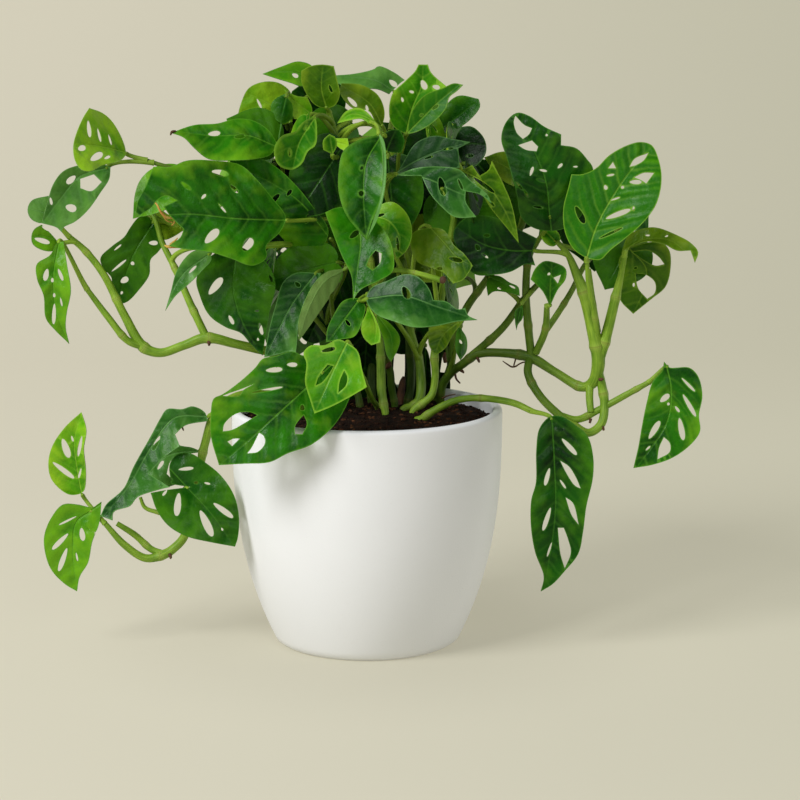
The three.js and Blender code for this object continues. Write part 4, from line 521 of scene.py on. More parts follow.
leaf("young_curl", [(-34, 348, -20), (-44, 332, -33), (-48, 316, -42)], "bright", "mid_left", 0.97, roll=-6,
     fold=22, rim=2.4, tone=-1,
     edge=[(-33, 350), (-41, 346), (-46, 340), (-55, 337), (-60, 328), (-57, 318), (-49, 315), (-42, 319),
         (-38, 327), (-33, 331), (-32, 342)],
     holes=[(-40, 341, -38, 343, 1.6), (-50, 324, -50, 328, 1.4)])
leaf("inner_left", [(-15, 331, 2), (-48, 282, -8)], "dark", "mid_left", 0.9, width=46, fold=5, arch=0.06,
     tone=-0.5, holes=())
leaf("inner_low", [(-14, 300, 26), (-40, 248, 20)], "dark", "back_left", 0.7, width=48, fold=5, arch=0.06,
     tone=2, holes=())
leaf("inner_centre", [(14, 322, 18), (20, 266, 14)], "dark", "mid", 0.8, width=44, roll=5, fold=5, arch=0.06,
     holes=())
leaf("inner_right", [(50, 302, 22), (82, 262, 18)], "dark", "mid_right", 0.8, width=48, fold=5, arch=0.06,
     tone=1.5, holes=())
leaf("inner_far_right", [(78, 306, 30), (102, 278, 26)], "dark", "right_back", 0.8, width=40, fold=5,
     arch=0.06, tone=1.5, holes=())
leaf("inner_top", [(-10, 346, 22), (-44, 328, 18)], "dark", "mid_left", 0.95, width=36, fold=5, arch=0.06,
     tone=1, holes=())
leaf("right_top", [(26, 339, 10), (30, 355, 6), (36, 370, 3), (37, 383, 0)], "bright", "mid", 0.92, roll=-5,
     fold=16, wave=0.06, tone=-0.5,
     edge=[(26, 338), (18, 343), (15, 350), (17, 364), (25, 372), (32, 379), (34, 383), (40, 383), (42, 378),
         (52, 369), (41, 361), (33, 350)],
     holes=[(36, 373, 39, 367, 4), (43, 369, 48, 368, 3), (28, 366, 31, 365, 1.8), (23, 362, 24, 359, 1.6)])
leaf("right_front", [(27, 339, -18), (36, 348, -20), (46, 358, -22), (60, 370, -24)], "bright", "mid", 0.88,
     roll=-10, fold=15, wave=0.05, tone=-1.5,
     edge=[(27, 338), (28, 348), (32, 357), (39, 364), (50, 368), (57, 371), (63, 370), (59, 366), (54, 362),
         (52, 355), (44, 346), (34, 340)],
     holes=[(43, 354, 47, 357, 2), (35, 350, 37, 351, 1.8)])
leaf("right_dark", [(47, 340, 22), (60, 350, 18), (73, 360, 14)], "dark", "mid_right", 1, roll=-20, fold=6,
     edge=[(48, 338), (45, 345), (51, 356), (60, 363), (73, 361), (74, 356), (67, 347), (58, 341)])
leaf("right_round", [(59, 330, 6), (68, 332, 2), (78, 331, -2)], "dark", "mid_right", 0.95, roll=-10, fold=6,
     tone=-1,
     edge=[(58, 334), (62, 343), (69, 343), (77, 335), (78, 326), (71, 317), (65, 317), (60, 326)],
     holes=[(65, 324, 70, 324, 2)])
print("blades so far:", len(LEAVES))

# %% [markdown]
# ## Leaves on the right
# A large ragged leaf hangs in front of the dark inside, an old one stands high behind it, and a bright one
# faces the light.

# %% Blades on the right
leaf("right_grey", [(18, 312, -30), (35, 322, -35), (50, 328, -38), (68, 333, -40)], "grey", "mid", 0.8,
     roll=-20, fold=7, wave=0.06, tone=-1.5,
     edge=[(19, 311), (25, 321), (32, 332), (44, 337), (56, 335), (68, 333), (60, 329), (61, 316), (45, 316),
         (28, 314)],
     holes=[(50, 328, 57, 329, 1.6), (38, 322, 44, 324, 1.4)])
leaf("right_slit", [(20, 312, -50), (40, 309, -57), (60, 300, -63), (81, 293, -68)], "grey", "mid", 0.75,
     roll=-5, fold=9, wave=0.08, tone=-0.5,
     edge=[(19, 311), (32, 316), (50, 317), (61, 315), (68, 308), (79, 299), (82, 293), (74, 299), (65, 301),
         (65, 294), (72, 284), (58, 284), (50, 290), (42, 299), (36, 311), (27, 311)],
     holes=[(48, 310, 51, 298, 4.6), (60, 309, 63, 302, 1.6)])
leaf("right_folded", [(62, 315, -34), (78, 306, -42), (90, 290, -46), (100, 267, -50)], "olive", "mid_right",
     0.85, roll=18, fold=15, wave=0.06,
     edge=[(61, 314), (69, 318), (74, 311), (80, 315), (82, 321), (88, 309), (95, 293), (98, 280), (100, 267),
         (92, 277), (82, 289), (75, 299), (66, 302)],
     holes=[(62, 313, 66, 310, 3), (70, 310, 84, 300, 2.6), (80, 295, 84, 291, 1.4)])
leaf("right_olive", [(101, 310, 26), (77, 323, 20)], "olive", "right_back", 0.85, width=24, roll=35, fold=5,
     arch=0.08, tone=1, holes=())
leaf("right_high", [(120, 285, -24), (117, 308, -30), (108, 330, -30), (96, 351, -26)], "dark",
     "right_upright", 1, roll=8, fold=9, wave=0.08,
     edge=[(92, 322), (88, 335), (91, 346), (98, 352), (106, 350), (116, 343), (127, 338), (127, 331),
         (137, 329), (144, 322), (148, 316), (146, 300), (140, 284), (128, 276), (112, 276), (102, 283),
         (98, 300)],
     holes=[[(97, 350), (103, 344), (108, 342), (106, 338), (102, 335), (98, 339), (96, 346)], [(99, 331),
         (108, 334), (112, 330), (111, 327), (104, 328)], (125, 316, 128, 319, 2), (135, 317, 138, 317, 1.2),
         (113, 315, 118, 314, 1.6), (107, 311, 109, 317, 2.1), (111, 309, 117, 307, 1.8),
         (98, 307, 102, 302, 1.4), (103, 302, 106, 297, 1.4), (109, 291, 116, 290, 1.4),
         (117, 337, 118, 338, 1.6)])
leaf("right_large", [(145, 258, -42), (151, 278, -40), (164, 302, -36), (177, 320, -32), (186, 330, -28)],
     "bright", "right_large_stalk", 1, roll=-5, fold=9, wave=0.04, tone=-1, relief=1.2,
     edge=[(145, 257), (136, 263), (130, 275), (129, 290), (132, 303), (134, 312), (141, 312), (150, 316),
         (158, 324), (168, 330), (178, 333), (186, 331), (191, 321), (193, 308), (190, 293), (182, 281),
         (170, 270), (160, 262), (154, 256), (149, 256)],
     holes=[[(172, 317), (175, 322), (184, 326), (181, 321), (176, 318)], [(175, 310), (181, 313), (188, 313),
         (183, 306), (180, 308)], [(158, 316), (161, 320), (163, 316)], (157, 311, 162, 312, 1.4),
         (167, 303, 168, 304, 2), (175, 288, 175, 291, 1.4), (137, 291, 143, 280, 4),
         (156, 305, 157, 302, 2.4), (157, 283, 173, 289, 3.4), (153, 270, 168, 277, 1.6),
         (160, 295, 166, 297, 1.2), (172, 307, 180, 307, 3)])
leaf("right_low_dark", [(172, 264, 4), (184, 250, 2), (182, 234, 4), (176, 220, 6)], "olive", "right_tall",
     0.9, roll=8, fold=6, wave=0.05, tone=-0.5,
     edge=[(170, 262), (182, 267), (194, 267), (199, 262), (200, 250), (197, 238), (188, 230), (176, 220),
         (167, 230), (167, 244), (166, 256)],
     holes=[[(175, 261), (185, 262), (192, 258), (196, 253), (190, 252), (182, 256)], [(177, 247), (184, 246),
         (190, 241), (190, 234), (185, 230), (179, 237)], (176, 250, 178, 251, 1.6),
         (176, 241, 176, 238, 1.4)])
leaf("right_edge", [(170, 262, -20), (182, 269, -24), (200, 268, -28), (216, 254, -30)], "olive",
     "right_tall", 1, roll=-30, fold=12, wave=0.08, tone=0.5,
     edge=[(168, 262), (172, 272), (184, 277), (191, 277), (204, 272), (213, 267), (218, 261), (216, 254),
         (213, 262), (204, 262), (196, 266), (184, 268), (175, 265)],
     holes=[(176, 275, 178, 277, 1.4), (183, 272, 186, 272, 1.2), (196, 271, 198, 272, 1.2)])
leaf("right_behind", [(174, 272, 16), (157, 236, 8)], "dark", "right_brown", 1, width=42, roll=-5, arch=0.06,
     tone=1.5, holes=())
leaf("right_low_edge", [(182, 288, 12), (184, 276, 12)], "grey", "right_brown", 0.95, roll=-5, fold=5,
     edge=[(180, 288), (185, 286), (185, 276), (176, 274)])
leaf("right_behind_green", [(124, 268, 4), (117, 280, 0)], "mid", "right_brown", 0.8, fold=6,
     edge=[(125, 267), (122, 279), (114, 280), (113, 271), (119, 268)])
leaf("right_mid_dark", [(110, 262, -14), (95, 262, -14), (77, 266, -13), (60, 277, -12)], "dark",
     "right_vine", 0.93, fold=8, wave=0.05, tone=-0.5,
     edge=[(111, 252), (105, 253), (95, 248), (84, 246), (72, 246), (65, 252), (60, 262), (57, 274),
         (66, 284), (84, 284), (100, 276), (112, 270), (109, 260)],
     holes=[(77, 272, 81, 272, 2), (72, 266, 74, 262, 2.6), (76, 260, 80, 257, 1.4)])
leaf("right_small", [(81, 244, -4), (90, 240, -6), (101, 233, -8)], "dark", "right_branch", 0.7, roll=-20,
     fold=16, tone=2,
     edge=[(80, 246), (88, 245), (94, 241), (100, 238), (101, 232), (94, 234), (84, 235), (80, 232),
         (79, 239)],
     holes=[(86, 237, 89, 237, 2), (94, 239, 98, 237, 1.2)])
leaf("right_bract", [(102, 226, -4), (99, 210, -6)], "dark", "right_branch", 0.85, fold=12,
     edge=[(103, 226), (103, 217), (100, 213), (99, 209), (98, 215), (98, 222)])
leaf("right_young", [(121, 226, -10), (121, 240, -14), (122, 255, -16)], "mid", "right_young_stalk", 1,
     fold=22, wave=0.06,
     edge=[(121, 225), (116, 235), (108, 243), (111, 250), (117, 255), (124, 254), (131, 250), (131, 243),
         (126, 236)],
     holes=[(119, 246, 121, 247, 1.8), [(123, 244), (128, 246), (126, 240)]])
print("blades so far:", len(LEAVES))

# %% [markdown]
# ## Leaves in the middle and below
# They hang over the rim of the pot, and the lowest vine reaches down past it on the left.

# %% Blades in the middle and low down
leaf("centre_left", [(-8, 289, -46), (-4, 268, -56), (-6, 250, -62), (-9, 229, -68)], "mid", "mid_left", 0.75,
     roll=3, fold=11, wave=0.05, relief=-0.6,
     edge=[(-27, 287), (-23, 276), (-16, 258), (-10, 245), (-9, 229), (-4, 236), (8, 242), (17, 248),
         (18, 258), (14, 272), (5, 282), (-10, 290), (-20, 290)],
     holes=[(-11, 270, -5, 275, 3.6), [(0, 252), (4, 249), (9, 254), (10, 260), (6, 262), (2, 257)]])
leaf("centre_bright", [(4, 285, -30), (15, 281, -36), (22, 270, -40), (20, 256, -44)], "bright", "mid", 0.7,
     roll=-6, fold=8,
     edge=[(3, 283), (8, 291), (17, 294), (26, 287), (30, 275), (27, 263), (20, 256), (16, 266), (9, 277)],
     holes=[(5, 284, 12, 286, 2), (20, 271, 21, 262, 1.8)])
leaf("centre_olive", [(42, 277, -22), (52, 266, -28), (60, 257, -33), (70, 252, -36)], "olive", "mid", 0.66,
     fold=7, wave=0.05,
     edge=[(36, 276), (50, 276), (58, 265), (64, 260), (70, 252), (64, 243), (57, 240), (51, 247), (44, 250),
         (33, 255), (29, 265), (30, 273)],
     holes=[(54, 257, 63, 255, 3), (46, 250, 50, 250, 2.4)])
leaf("low_grey", [(1, 230, -70), (24, 232, -78), (48, 224, -86), (73, 216, -92)], "grey", "mid_left", 0.5,
     roll=-25, fold=8, wave=0.05, tone=-0.5, relief=-0.6,
     edge=[(0, 229), (3, 237), (14, 242), (24, 246), (33, 245), (41, 237), (44, 229), (53, 228), (60, 223),
         (65, 224), (67, 219), (73, 216), (60, 215), (46, 212), (32, 211), (18, 215), (6, 220)],
     holes=[(24, 238, 28, 230, 5)])
leaf("low_left_small", [(-6, 228, -62), (-15, 216, -68), (-26, 201, -74)], "mid", "mid_left", 0.45, roll=5,
     fold=10, wave=0.05,
     edge=[(-5, 230), (-15, 229), (-22, 219), (-26, 210), (-27, 201), (-17, 203), (-8, 205), (-3, 215),
         (-1, 226)],
     holes=[(-14, 216, -11, 212, 2)])
leaf("low_mid_small", [(1, 226, -64), (6, 212, -68), (5, 200, -70)], "bright", "mid_left", 0.42, fold=14,
     rim=1.6, tone=0.5,
     edge=[(1, 226), (5, 219), (9, 208), (9, 201), (3, 199), (-2, 204), (-4, 212), (-1, 219)])
leaf("low_mid_leaf", [(7, 219, -40), (16, 205, -44), (16, 188, -48)], "mid", "mid", 0.4, fold=10, tone=1,
     edge=[(6, 220), (15, 214), (22, 204), (20, 195), (16, 188), (13, 193), (11, 203), (8, 212)])
leaf("low_right_leaf", [(60, 214, -40), (50, 205, -46), (45, 192, -50)], "olive", "mid", 0.42, fold=10,
     tone=1, relief=0.25,
     edge=[(64, 215), (57, 206), (52, 197), (45, 192), (41, 200), (41, 211), (50, 215)])
leaf("pale_underside", [(-15, 249, -32), (-28, 241, -42), (-38, 224, -52), (-45, 203, -60)], "mid",
     "back_left", 0.45, roll=150, fold=8, tone=1,
     edge=[(-15, 250), (-26, 248), (-34, 241), (-41, 228), (-45, 215), (-45, 202), (-37, 213), (-28, 226),
         (-20, 238)],
     holes=[(-25, 231, -21, 235, 1.6)])
leaf("behind_yellow", [(-18, 253, 4), (-30, 265, 0), (-40, 275, -2)], "bright", "back_left", 0.5, roll=10,
     fold=6, tone=2,
     edge=[(-17, 253), (-24, 263), (-28, 275), (-35, 279), (-42, 272), (-50, 267), (-44, 262), (-25, 256)],
     holes=[(-33, 277, -33, 275, 2), (-37, 271, -35, 272, 2.5), (-31, 270, -36, 263, 3.4),
         (-27, 263, -23, 265, 2.4), (-28, 260, -22, 258, 2.4)])
leaf("behind_dark", [(-20, 254, -6), (-69, 240, -12)], "dark", "back_left", 0.4, width=36, roll=15, fold=5,
     arch=0.06, tone=2, holes=())
leaf("vine_dark", [(62, 211, 0), (63, 200, -5), (62, 189, -10)], "dark", "right_vine", 0.14, roll=8, fold=10,
     tone=0.5,
     edge=[(61, 212), (66, 204), (66, 195), (62, 189), (59, 195), (59, 206)],
     holes=[(61, 203, 63, 200, 1.6)])
leaf("low_left_dark", [(-86, 257, -16), (-88, 237, -22), (-82, 214, -26), (-69, 192, -28)], "dark",
     "back_left", 0.35, fold=9, wave=0.06, tone=1,
     edge=[(-100, 260), (-112, 244), (-110, 232), (-104, 219), (-93, 211), (-83, 207), (-77, 200), (-69, 192),
         (-67, 205), (-64, 222), (-60, 240), (-66, 254), (-80, 262)],
     holes=[(-104, 233, -95, 244, 5), (-91, 219, -88, 213, 2.6), (-71, 214, -69, 206, 2.6),
         (-64, 246, -62, 241, 1.8), (-74, 222, -71, 222, 1.4), (-72, 204, -72, 202, 1.4)])
leaf("low_left_grey", [(-34, 246, -22), (-48, 228, -30), (-58, 210, -36), (-68, 190, -42)], "grey",
     "back_left", 0.3, roll=10, fold=8, wave=0.05,
     edge=[(-30, 247), (-47, 247), (-55, 241), (-60, 226), (-64, 212), (-68, 191), (-58, 193), (-51, 195),
         (-47, 194), (-46, 203), (-45, 215), (-40, 229), (-32, 242)],
     holes=[(-47, 241, -44, 238, 2.6)])
leaf("young_bright", [(-13, 201, -90), (-24, 178, -98), (-35, 153, -104)], "bright", "front_low", 1, fold=9,
     wave=0.05, rim=1.8, tone=-0.5, relief=-0.4,
     edge=[(-12, 200), (-19, 203), (-28, 199), (-37, 199), (-42, 194), (-40, 187), (-41, 174), (-38, 163),
         (-35, 153), (-23, 158), (-10, 165), (0, 171), (-3, 182), (-6, 195)],
     holes=[(-30, 195, -21, 197, 2.8), [(-34, 172), (-32, 178), (-26, 186), (-22, 185), (-25, 180),
         (-30, 174)], [(-15, 182), (-13, 178), (-14, 172), (-19, 167), (-18, 175)]])
leaf("low_large", [(-30, 180, -74), (-58, 154, -90), (-80, 134, -97), (-99, 118, -102)], "mid", "front_low",
     0.6, roll=4, fold=8, wave=0.06, relief=-0.1,
     edge=[(-42, 192), (-50, 195), (-60, 192), (-69, 190), (-74, 184), (-85, 174), (-96, 166), (-102, 163),
         (-104, 150), (-104, 137), (-99, 118), (-82, 119), (-65, 120), (-53, 126), (-37, 132), (-22, 145),
         (-13, 160), (-10, 172), (-22, 188)],
     holes=[[(-96, 165), (-91, 167), (-85, 169), (-75, 173), (-82, 169), (-85, 165)],
         (-77, 167, -56, 171, 1.8), (-67, 182, -56, 183, 3.4), (-53, 186, -46, 186, 3), [(-96, 141),
         (-95, 146), (-87, 153), (-78, 154), (-73, 152), (-81, 147), (-90, 142)], [(-93, 134), (-89, 136),
         (-85, 136), (-90, 131)], [(-80, 126), (-77, 130), (-72, 140), (-69, 138), (-68, 133), (-73, 127)],
         (-43, 159, -43, 155, 3), [(-42, 152), (-40, 146), (-43, 139), (-48, 139), (-48, 144), (-45, 149)]])
leaf("low_left_front", [(-120, 102, -40), (-105, 85, -46), (-89, 62, -48)], "dark", "left_low", 0.55,
     roll=-10, fold=7, wave=0.05, tone=0.5,
     edge=[(-118, 103), (-131, 105), (-132, 118), (-127, 125), (-118, 126), (-107, 119), (-97, 110),
         (-89, 97), (-86, 82), (-87, 68), (-89, 62), (-105, 65), (-121, 69), (-133, 76), (-141, 87),
         (-145, 99), (-134, 101)],
     holes=[(-126, 115, -116, 116, 2.4), (-131, 109, -131, 107, 1.6), (-116, 106, -113, 106, 2.2),
         (-109, 106, -105, 105, 1.6), (-134, 101, -137, 97, 1.8), (-126, 99, -128, 83, 4.6),
         (-103, 92, -90, 82, 3.8), (-112, 87, -104, 69, 5.4), (-98, 75, -97, 73, 1.4)])
leaf("low_left_arch", [(-106, 151, -20), (-128, 150, -26), (-144, 130, -30), (-160, 103, -33),
     (-178, 82, -34)], "grey", "left_low", 0.25, roll=20, fold=9, wave=0.06,
     edge=[(-106, 148), (-108, 154), (-116, 158), (-123, 156), (-133, 156), (-138, 149), (-144, 138),
         (-156, 117), (-163, 102), (-175, 91), (-179, 83), (-171, 80), (-170, 86), (-159, 90), (-154, 96),
         (-140, 101), (-132, 103), (-146, 112), (-137, 122), (-125, 131), (-128, 139), (-121, 145)],
     holes=[(-138, 138, -143, 128, 2.8), (-128, 126, -133, 122, 1.6)])
leaf("low_left_tip", [(-186, 86, -27), (-195, 79, -28), (-198, 60, -30), (-196, 31, -32)], "mid", "left_low",
     1, roll=5, fold=13, wave=0.05, tone=2,
     edge=[(-184, 89), (-194, 91), (-204, 91), (-212, 82), (-217, 70), (-217, 59), (-213, 46), (-204, 36),
         (-196, 31), (-194, 41), (-188, 51), (-185, 65), (-180, 78), (-178, 93), (-181, 91)],
     holes=[(-195, 83, -207, 77, 1.4), (-192, 75, -191, 66, 3.8), (-201, 71, -212, 60, 3.2),
         (-202, 61, -208, 45, 3.4), (-196, 58, -195, 52, 1.4)])
leaf("low_left_bright", [(-191, 98, -19), (-194, 118, -22), (-195, 135, -25), (-190, 154, -28)], "bright",
     "left_low", 0.97, roll=-20, fold=22, wave=0.05, tone=1,
     edge=[(-191, 99), (-200, 98), (-211, 108), (-213, 119), (-210, 131), (-201, 144), (-190, 154),
         (-187, 142), (-189, 129), (-188, 115), (-189, 102)],
     holes=[(-203, 136, -199, 123, 4.6), (-190, 138, -193, 124, 2.4), (-210, 120, -196, 109, 3.4),
         (-191, 116, -193, 109, 1.6), (-197, 138, -196, 134, 1.4)])
leaf("front_hanging", [(123, 149, -34), (125, 120, -38), (126, 85, -41), (119, 31, -42)], "dark",
     "front_right", 1, roll=-8, fold=15, wave=0.05, tone=0.5,
     edge=[(122, 151), (115, 143), (113, 128), (113, 106), (110, 94), (110, 76), (113, 58), (119, 41),
         (117, 31), (125, 36), (133, 45), (142, 57), (145, 72), (147, 90), (151, 109), (151, 124), (147, 138),
         (138, 146), (130, 151)],
     holes=[(130, 136, 140, 125, 3.2), [(129, 121), (135, 117), (140, 109), (143, 102), (139, 104),
         (133, 113)], (122, 116, 119, 104, 3), (129, 108, 133, 102, 1.6), [(133, 96), (138, 92), (142, 77),
         (137, 84)], (123, 89, 118, 73, 3.2), [(128, 75), (132, 75), (135, 67), (137, 58), (133, 47),
         (130, 57)], (124, 65, 121, 55, 1.5)])
leaf("right_hanging", [(199, 184, -24), (202, 170, -26), (200, 148, -28), (180, 116, -30)], "mid",
     "right_hanging_stalk", 1, roll=-6, fold=10, wave=0.06,
     edge=[(201, 184), (197, 188), (196, 182), (190, 175), (186, 160), (183, 143), (181, 130), (178, 116),
         (190, 118), (204, 123), (216, 132), (222, 141), (221, 152), (223, 165), (220, 178), (214, 184),
         (205, 184)],
     holes=[(195, 161, 201, 166, 4), (188, 136, 195, 148, 4), (200, 159, 201, 160, 2),
         (209, 177, 218, 168, 1.8), (210, 166, 219, 151, 2.8), (205, 158, 208, 154, 1.8),
         (208, 150, 211, 135, 3.8), [(198, 137), (202, 133), (202, 127), (194, 122), (195, 130)],
         (186, 128, 189, 131, 1.4)])
print("blades so far:", len(LEAVES))

# %% [markdown]
# ## Leaves behind
# The plant is full all round, so the same canes carry leaves on the side away from the camera as well.

# %% Blades behind
leaf("back_top_left", [(-32, 315, 78), (-64, 348, 118)], "mid", "back_left", 0.85, width=48, roll=150, fold=8,
     arch=0.08, tone=-1)
leaf("back_top", [(3, 312, 92), (8, 346, 128)], "bright", "back", 1, width=46, roll=170, fold=8, arch=0.1,
     tone=-2)
leaf("back_top_right", [(33, 324, 84), (60, 358, 116)], "mid", "mid", 0.85, width=46, roll=200, fold=8,
     arch=0.08, tone=-1.5)
leaf("back_left_high", [(-46, 285, 84), (-83, 302, 122)], "grey", "back_left", 0.7, width=48, roll=140,
     fold=6, arch=0.1, tone=-1)
leaf("back_middle_high", [(-1, 292, 112), (-17, 316, 160)], "mid", "back", 0.8, width=50, roll=165, fold=8,
     arch=0.1, holes=())
leaf("back_right_high", [(48, 285, 88), (78, 298, 138)], "dark", "right_back", 0.8, width=50, roll=205,
     fold=6, arch=0.1, tone=-0.5)
leaf("back_left_low", [(-44, 249, 84), (-69, 229, 130)], "dark", "back_left", 0.5, width=46, roll=150, fold=8,
     arch=0.12, tone=2, holes=())
leaf("back_middle", [(16, 254, 116), (27, 229, 168)], "mid", "back", 0.6, width=50, roll=180, fold=8,
     arch=0.14, tone=-1.5)
leaf("back_left_hanging", [(-40, 229, 98), (-60, 184, 124)], "grey", "back", 0.4, width=46, roll=170, fold=8,
     arch=0.1, tone=-2)
leaf("back_hanging", [(-12, 219, 112), (-13, 172, 136)], "dark", "back", 0.35, width=44, roll=182, fold=10,
     arch=0.08, tone=-1.5)
leaf("back_right", [(56, 248, 98), (72, 240, 158)], "mid", "right_back", 0.6, width=48, roll=190, fold=6,
     arch=0.14, tone=-0.5)
leaf("back_right_hanging", [(38, 238, 84), (38, 208, 106)], "dark", "right_back", 0.45, width=42, roll=188,
     fold=8, arch=0.08, holes=())
leaf("back_right_reach", [(87, 292, 58), (100, 311, 104)], "mid", "right_back", 0.95, width=44, roll=210,
     fold=8, arch=0.1)
leaf("left_side_high", [(-76, 316, 36), (-100, 284, 58)], "mid", "back_left", 0.85, width=44, roll=70, fold=8,
     arch=0.1, tone=1.5, holes=())
leaf("left_side", [(-70, 284, 62), (-90, 246, 84)], "grey", "back_left", 0.7, width=46, roll=75, fold=8,
     arch=0.1, holes=())
leaf("left_side_low", [(-58, 238, 66), (-74, 196, 86)], "dark", "back_left", 0.45, width=44, roll=75, fold=8,
     arch=0.1, holes=())
leaf("right_side_high", [(110, 302, 50), (132, 268, 74)], "mid", "right_back", 0.97, width=46, roll=-70,
     fold=8, arch=0.1, holes=())
leaf("right_side", [(84, 286, 72), (98, 256, 100)], "dark", "right_back", 0.7, width=44, roll=-75, fold=8,
     arch=0.1, holes=())
leaf("right_side_low", [(50, 238, 70), (54, 200, 86)], "grey", "right_back", 0.4, width=40, roll=-80, fold=8,
     arch=0.1, holes=())
leaf("right_sheath", [(125, 267, -10), (114, 278, -6)], "bright", "right_vine", 1, width=12, fold=20,
     holes=())
print("blades so far:", len(LEAVES))

# %% [markdown]
# ## Leaves in the shade
# Between the canes and under the crown hang dark leaves that hardly show, painted darker still with the shade
# inside the plant. They matter all the same: without them light falls through the plant, and it looks like a
# bunch and not like a bush. The last ones turn their faces to the sides, so that the plant is full from there
# too.

# %% Blades in the shade
leaf("hollow_left", [(-52, 362, 10), (-56, 346, 9)], "dark", "back_left", 0.93, fold=-20, tone=0.5,
     edge=[(-59, 361), (-53, 364), (-48, 357), (-48, 348), (-54, 345), (-60, 349), (-62, 356)])
leaf("crown_bright", [(-34, 350, 20), (-50, 362, 16)], "bright", "back_left", 0.9, fold=20, tone=0.5,
     edge=[(-53, 367), (-46, 363), (-38, 362), (-35, 353), (-39, 347), (-47, 348), (-50, 356)])
leaf("crown_high", [(-24, 342, 42), (-34, 372, 40)], "dark", "back_left", 0.95, fold=14, tone=-0.5,
     edge=[(-48, 366), (-41, 371), (-28, 378), (-19, 374), (-14, 366), (-14, 354), (-22, 344), (-36, 343),
         (-44, 352), (-50, 359)])
leaf("crown_middle", [(-10, 338, 46), (-60, 334, 40)], "dark", "mid", 0.9, fold=12, tone=-2,
     edge=[(-64, 348), (-48, 352), (-30, 352), (-12, 354), (-8, 340), (-10, 320), (-30, 312), (-50, 315),
         (-62, 330)])
leaf("crown_low", [(-6, 302, 46), (-60, 300, 36), (-86, 312, 30)], "dark", "mid_left", 0.8, fold=10, curl=20,
     tone=-2,
     edge=[(-90, 316), (-70, 321), (-40, 318), (-8, 314), (-4, 296), (-20, 282), (-48, 278), (-64, 286),
         (-80, 300)])
leaf("broad_second", [(-24, 270, -2), (-46, 296, -12), (-84, 318, -18)], "mid", "back_left", 0.5, fold=14,
     curl=36, wave=0.05, tone=0.5,
     edge=[(-90, 323), (-78, 325), (-62, 319), (-47, 306), (-35, 291), (-25, 276), (-28, 264), (-45, 262),
         (-62, 278), (-80, 300)],
     holes=[(-64, 292, -57, 299, 3), (-40, 280, -37, 286, 3), (-52, 298, -49, 302, 2.4)])
leaf("shade_right", [(16, 326, 50), (36, 300, 48), (52, 276, 46)], "dark", "mid", 0.85, curl=24, tone=-0.5,
     edge=[(10, 346), (22, 345), (44, 344), (58, 346), (60, 330), (63, 318), (66, 300), (60, 282), (44, 270),
         (26, 266), (12, 280), (8, 310)],
     holes=[(17, 296, 19, 305, 4)])
leaf("shade_far_right", [(60, 334, 48), (84, 306, 44), (104, 286, 40)], "dark", "mid_right", 0.95, curl=24,
     tone=-0.5,
     edge=[(52, 344), (60, 346), (66, 338), (73, 323), (84, 321), (97, 314), (104, 300), (117, 292),
         (113, 281), (100, 275), (84, 272), (60, 290), (52, 320)])
leaf("shade_large", [(126, 286, 26), (150, 258, 28)], "dark", "right_brown", 0.8, fold=12, tone=-1,
     edge=[(122, 291), (150, 291), (161, 270), (159, 256), (150, 248), (140, 257), (131, 264), (124, 277)])
leaf("curtain_left", [(2, 244, 60), (0, 205, 66), (-3, 164, 70)], "dark", "back", 0.5, fold=12, curl=20,
     tone=-0.5,
     edge=[(-22, 215), (-16, 240), (4, 248), (14, 236), (16, 215), (17, 190), (13, 170), (4, 160), (-10, 160),
         (-20, 170), (-24, 190)])
leaf("curtain_right", [(26, 260, 58), (32, 230, 62), (34, 206, 64)], "dark", "back", 0.6, fold=12, tone=-0.5,
     edge=[(12, 240), (20, 262), (40, 262), (52, 250), (56, 230), (50, 214), (39, 206), (35, 198), (25, 193),
         (17, 194), (14, 215)])
leaf("curtain_slim", [(33, 212, 62), (32.5, 190, 66), (32, 162, 70)], "dark", "mid_dark", 0.6, fold=20,
     tone=-2,
     edge=[(27, 210), (37, 208), (37.5, 190), (39, 172), (36, 161), (28, 160), (26, 172), (26.5, 195)])
leaf("gap_left", [(16, 212, 64), (15.6, 190, 68), (15, 160, 74)], "dark", "low_dark", 0.5, tone=-2,
     edge=[(12, 214), (19, 212), (18.4, 196), (17.8, 177), (21, 168), (19, 158), (10, 158), (11, 190)])
leaf("gap_middle", [(29, 206, 66), (29, 184, 70), (29, 158, 76)], "dark", "mid_dark", 0.6, tone=-2,
     edge=[(25, 204), (34, 206), (35, 160), (28, 156), (21, 160), (24.8, 176)])
leaf("gap_right", [(39, 198, 64), (39, 180, 68), (39, 158, 74)], "dark", "mid_dark", 0.5, tone=-0.5,
     edge=[(35, 200), (40, 196), (43, 172), (42, 160), (36, 158), (34, 180)])
leaf("gap_far", [(51, 202, 62), (49, 184, 66), (48, 160, 72)], "dark", "right_back", 0.25, tone=-2,
     edge=[(46, 204), (57, 205), (57, 193), (50, 191), (48.6, 181), (55, 180), (55, 168), (48, 158),
         (45, 164), (46, 185)])
leaf("curtain_tip", [(-10, 264, 40), (-24, 234, 46), (-38, 204, 50)], "dark", "mid_left", 0.45, fold=16,
     tone=-0.5,
     edge=[(-30, 262), (-18, 268), (-8, 262), (-6, 240), (-10, 222), (-22, 206), (-36, 200), (-44, 206),
         (-42, 220), (-34, 240)])
leaf("shade_left", [(-30, 278, 40), (-50, 266, 42), (-70, 262, 44)], "dark", "back_left", 0.5, fold=12,
     tone=-1.5,
     edge=[(-73, 270), (-62, 279), (-44, 287), (-30, 284), (-24, 268), (-26, 250), (-42, 244), (-62, 246),
         (-74, 256)],
     holes=[(-62, 258.5, -58.5, 260.5, 3), (-56.5, 261.5, -52.5, 263, 3), (-38, 262, -34, 270, 3.2),
         (-28, 263, -25, 264.5, 2.6)])
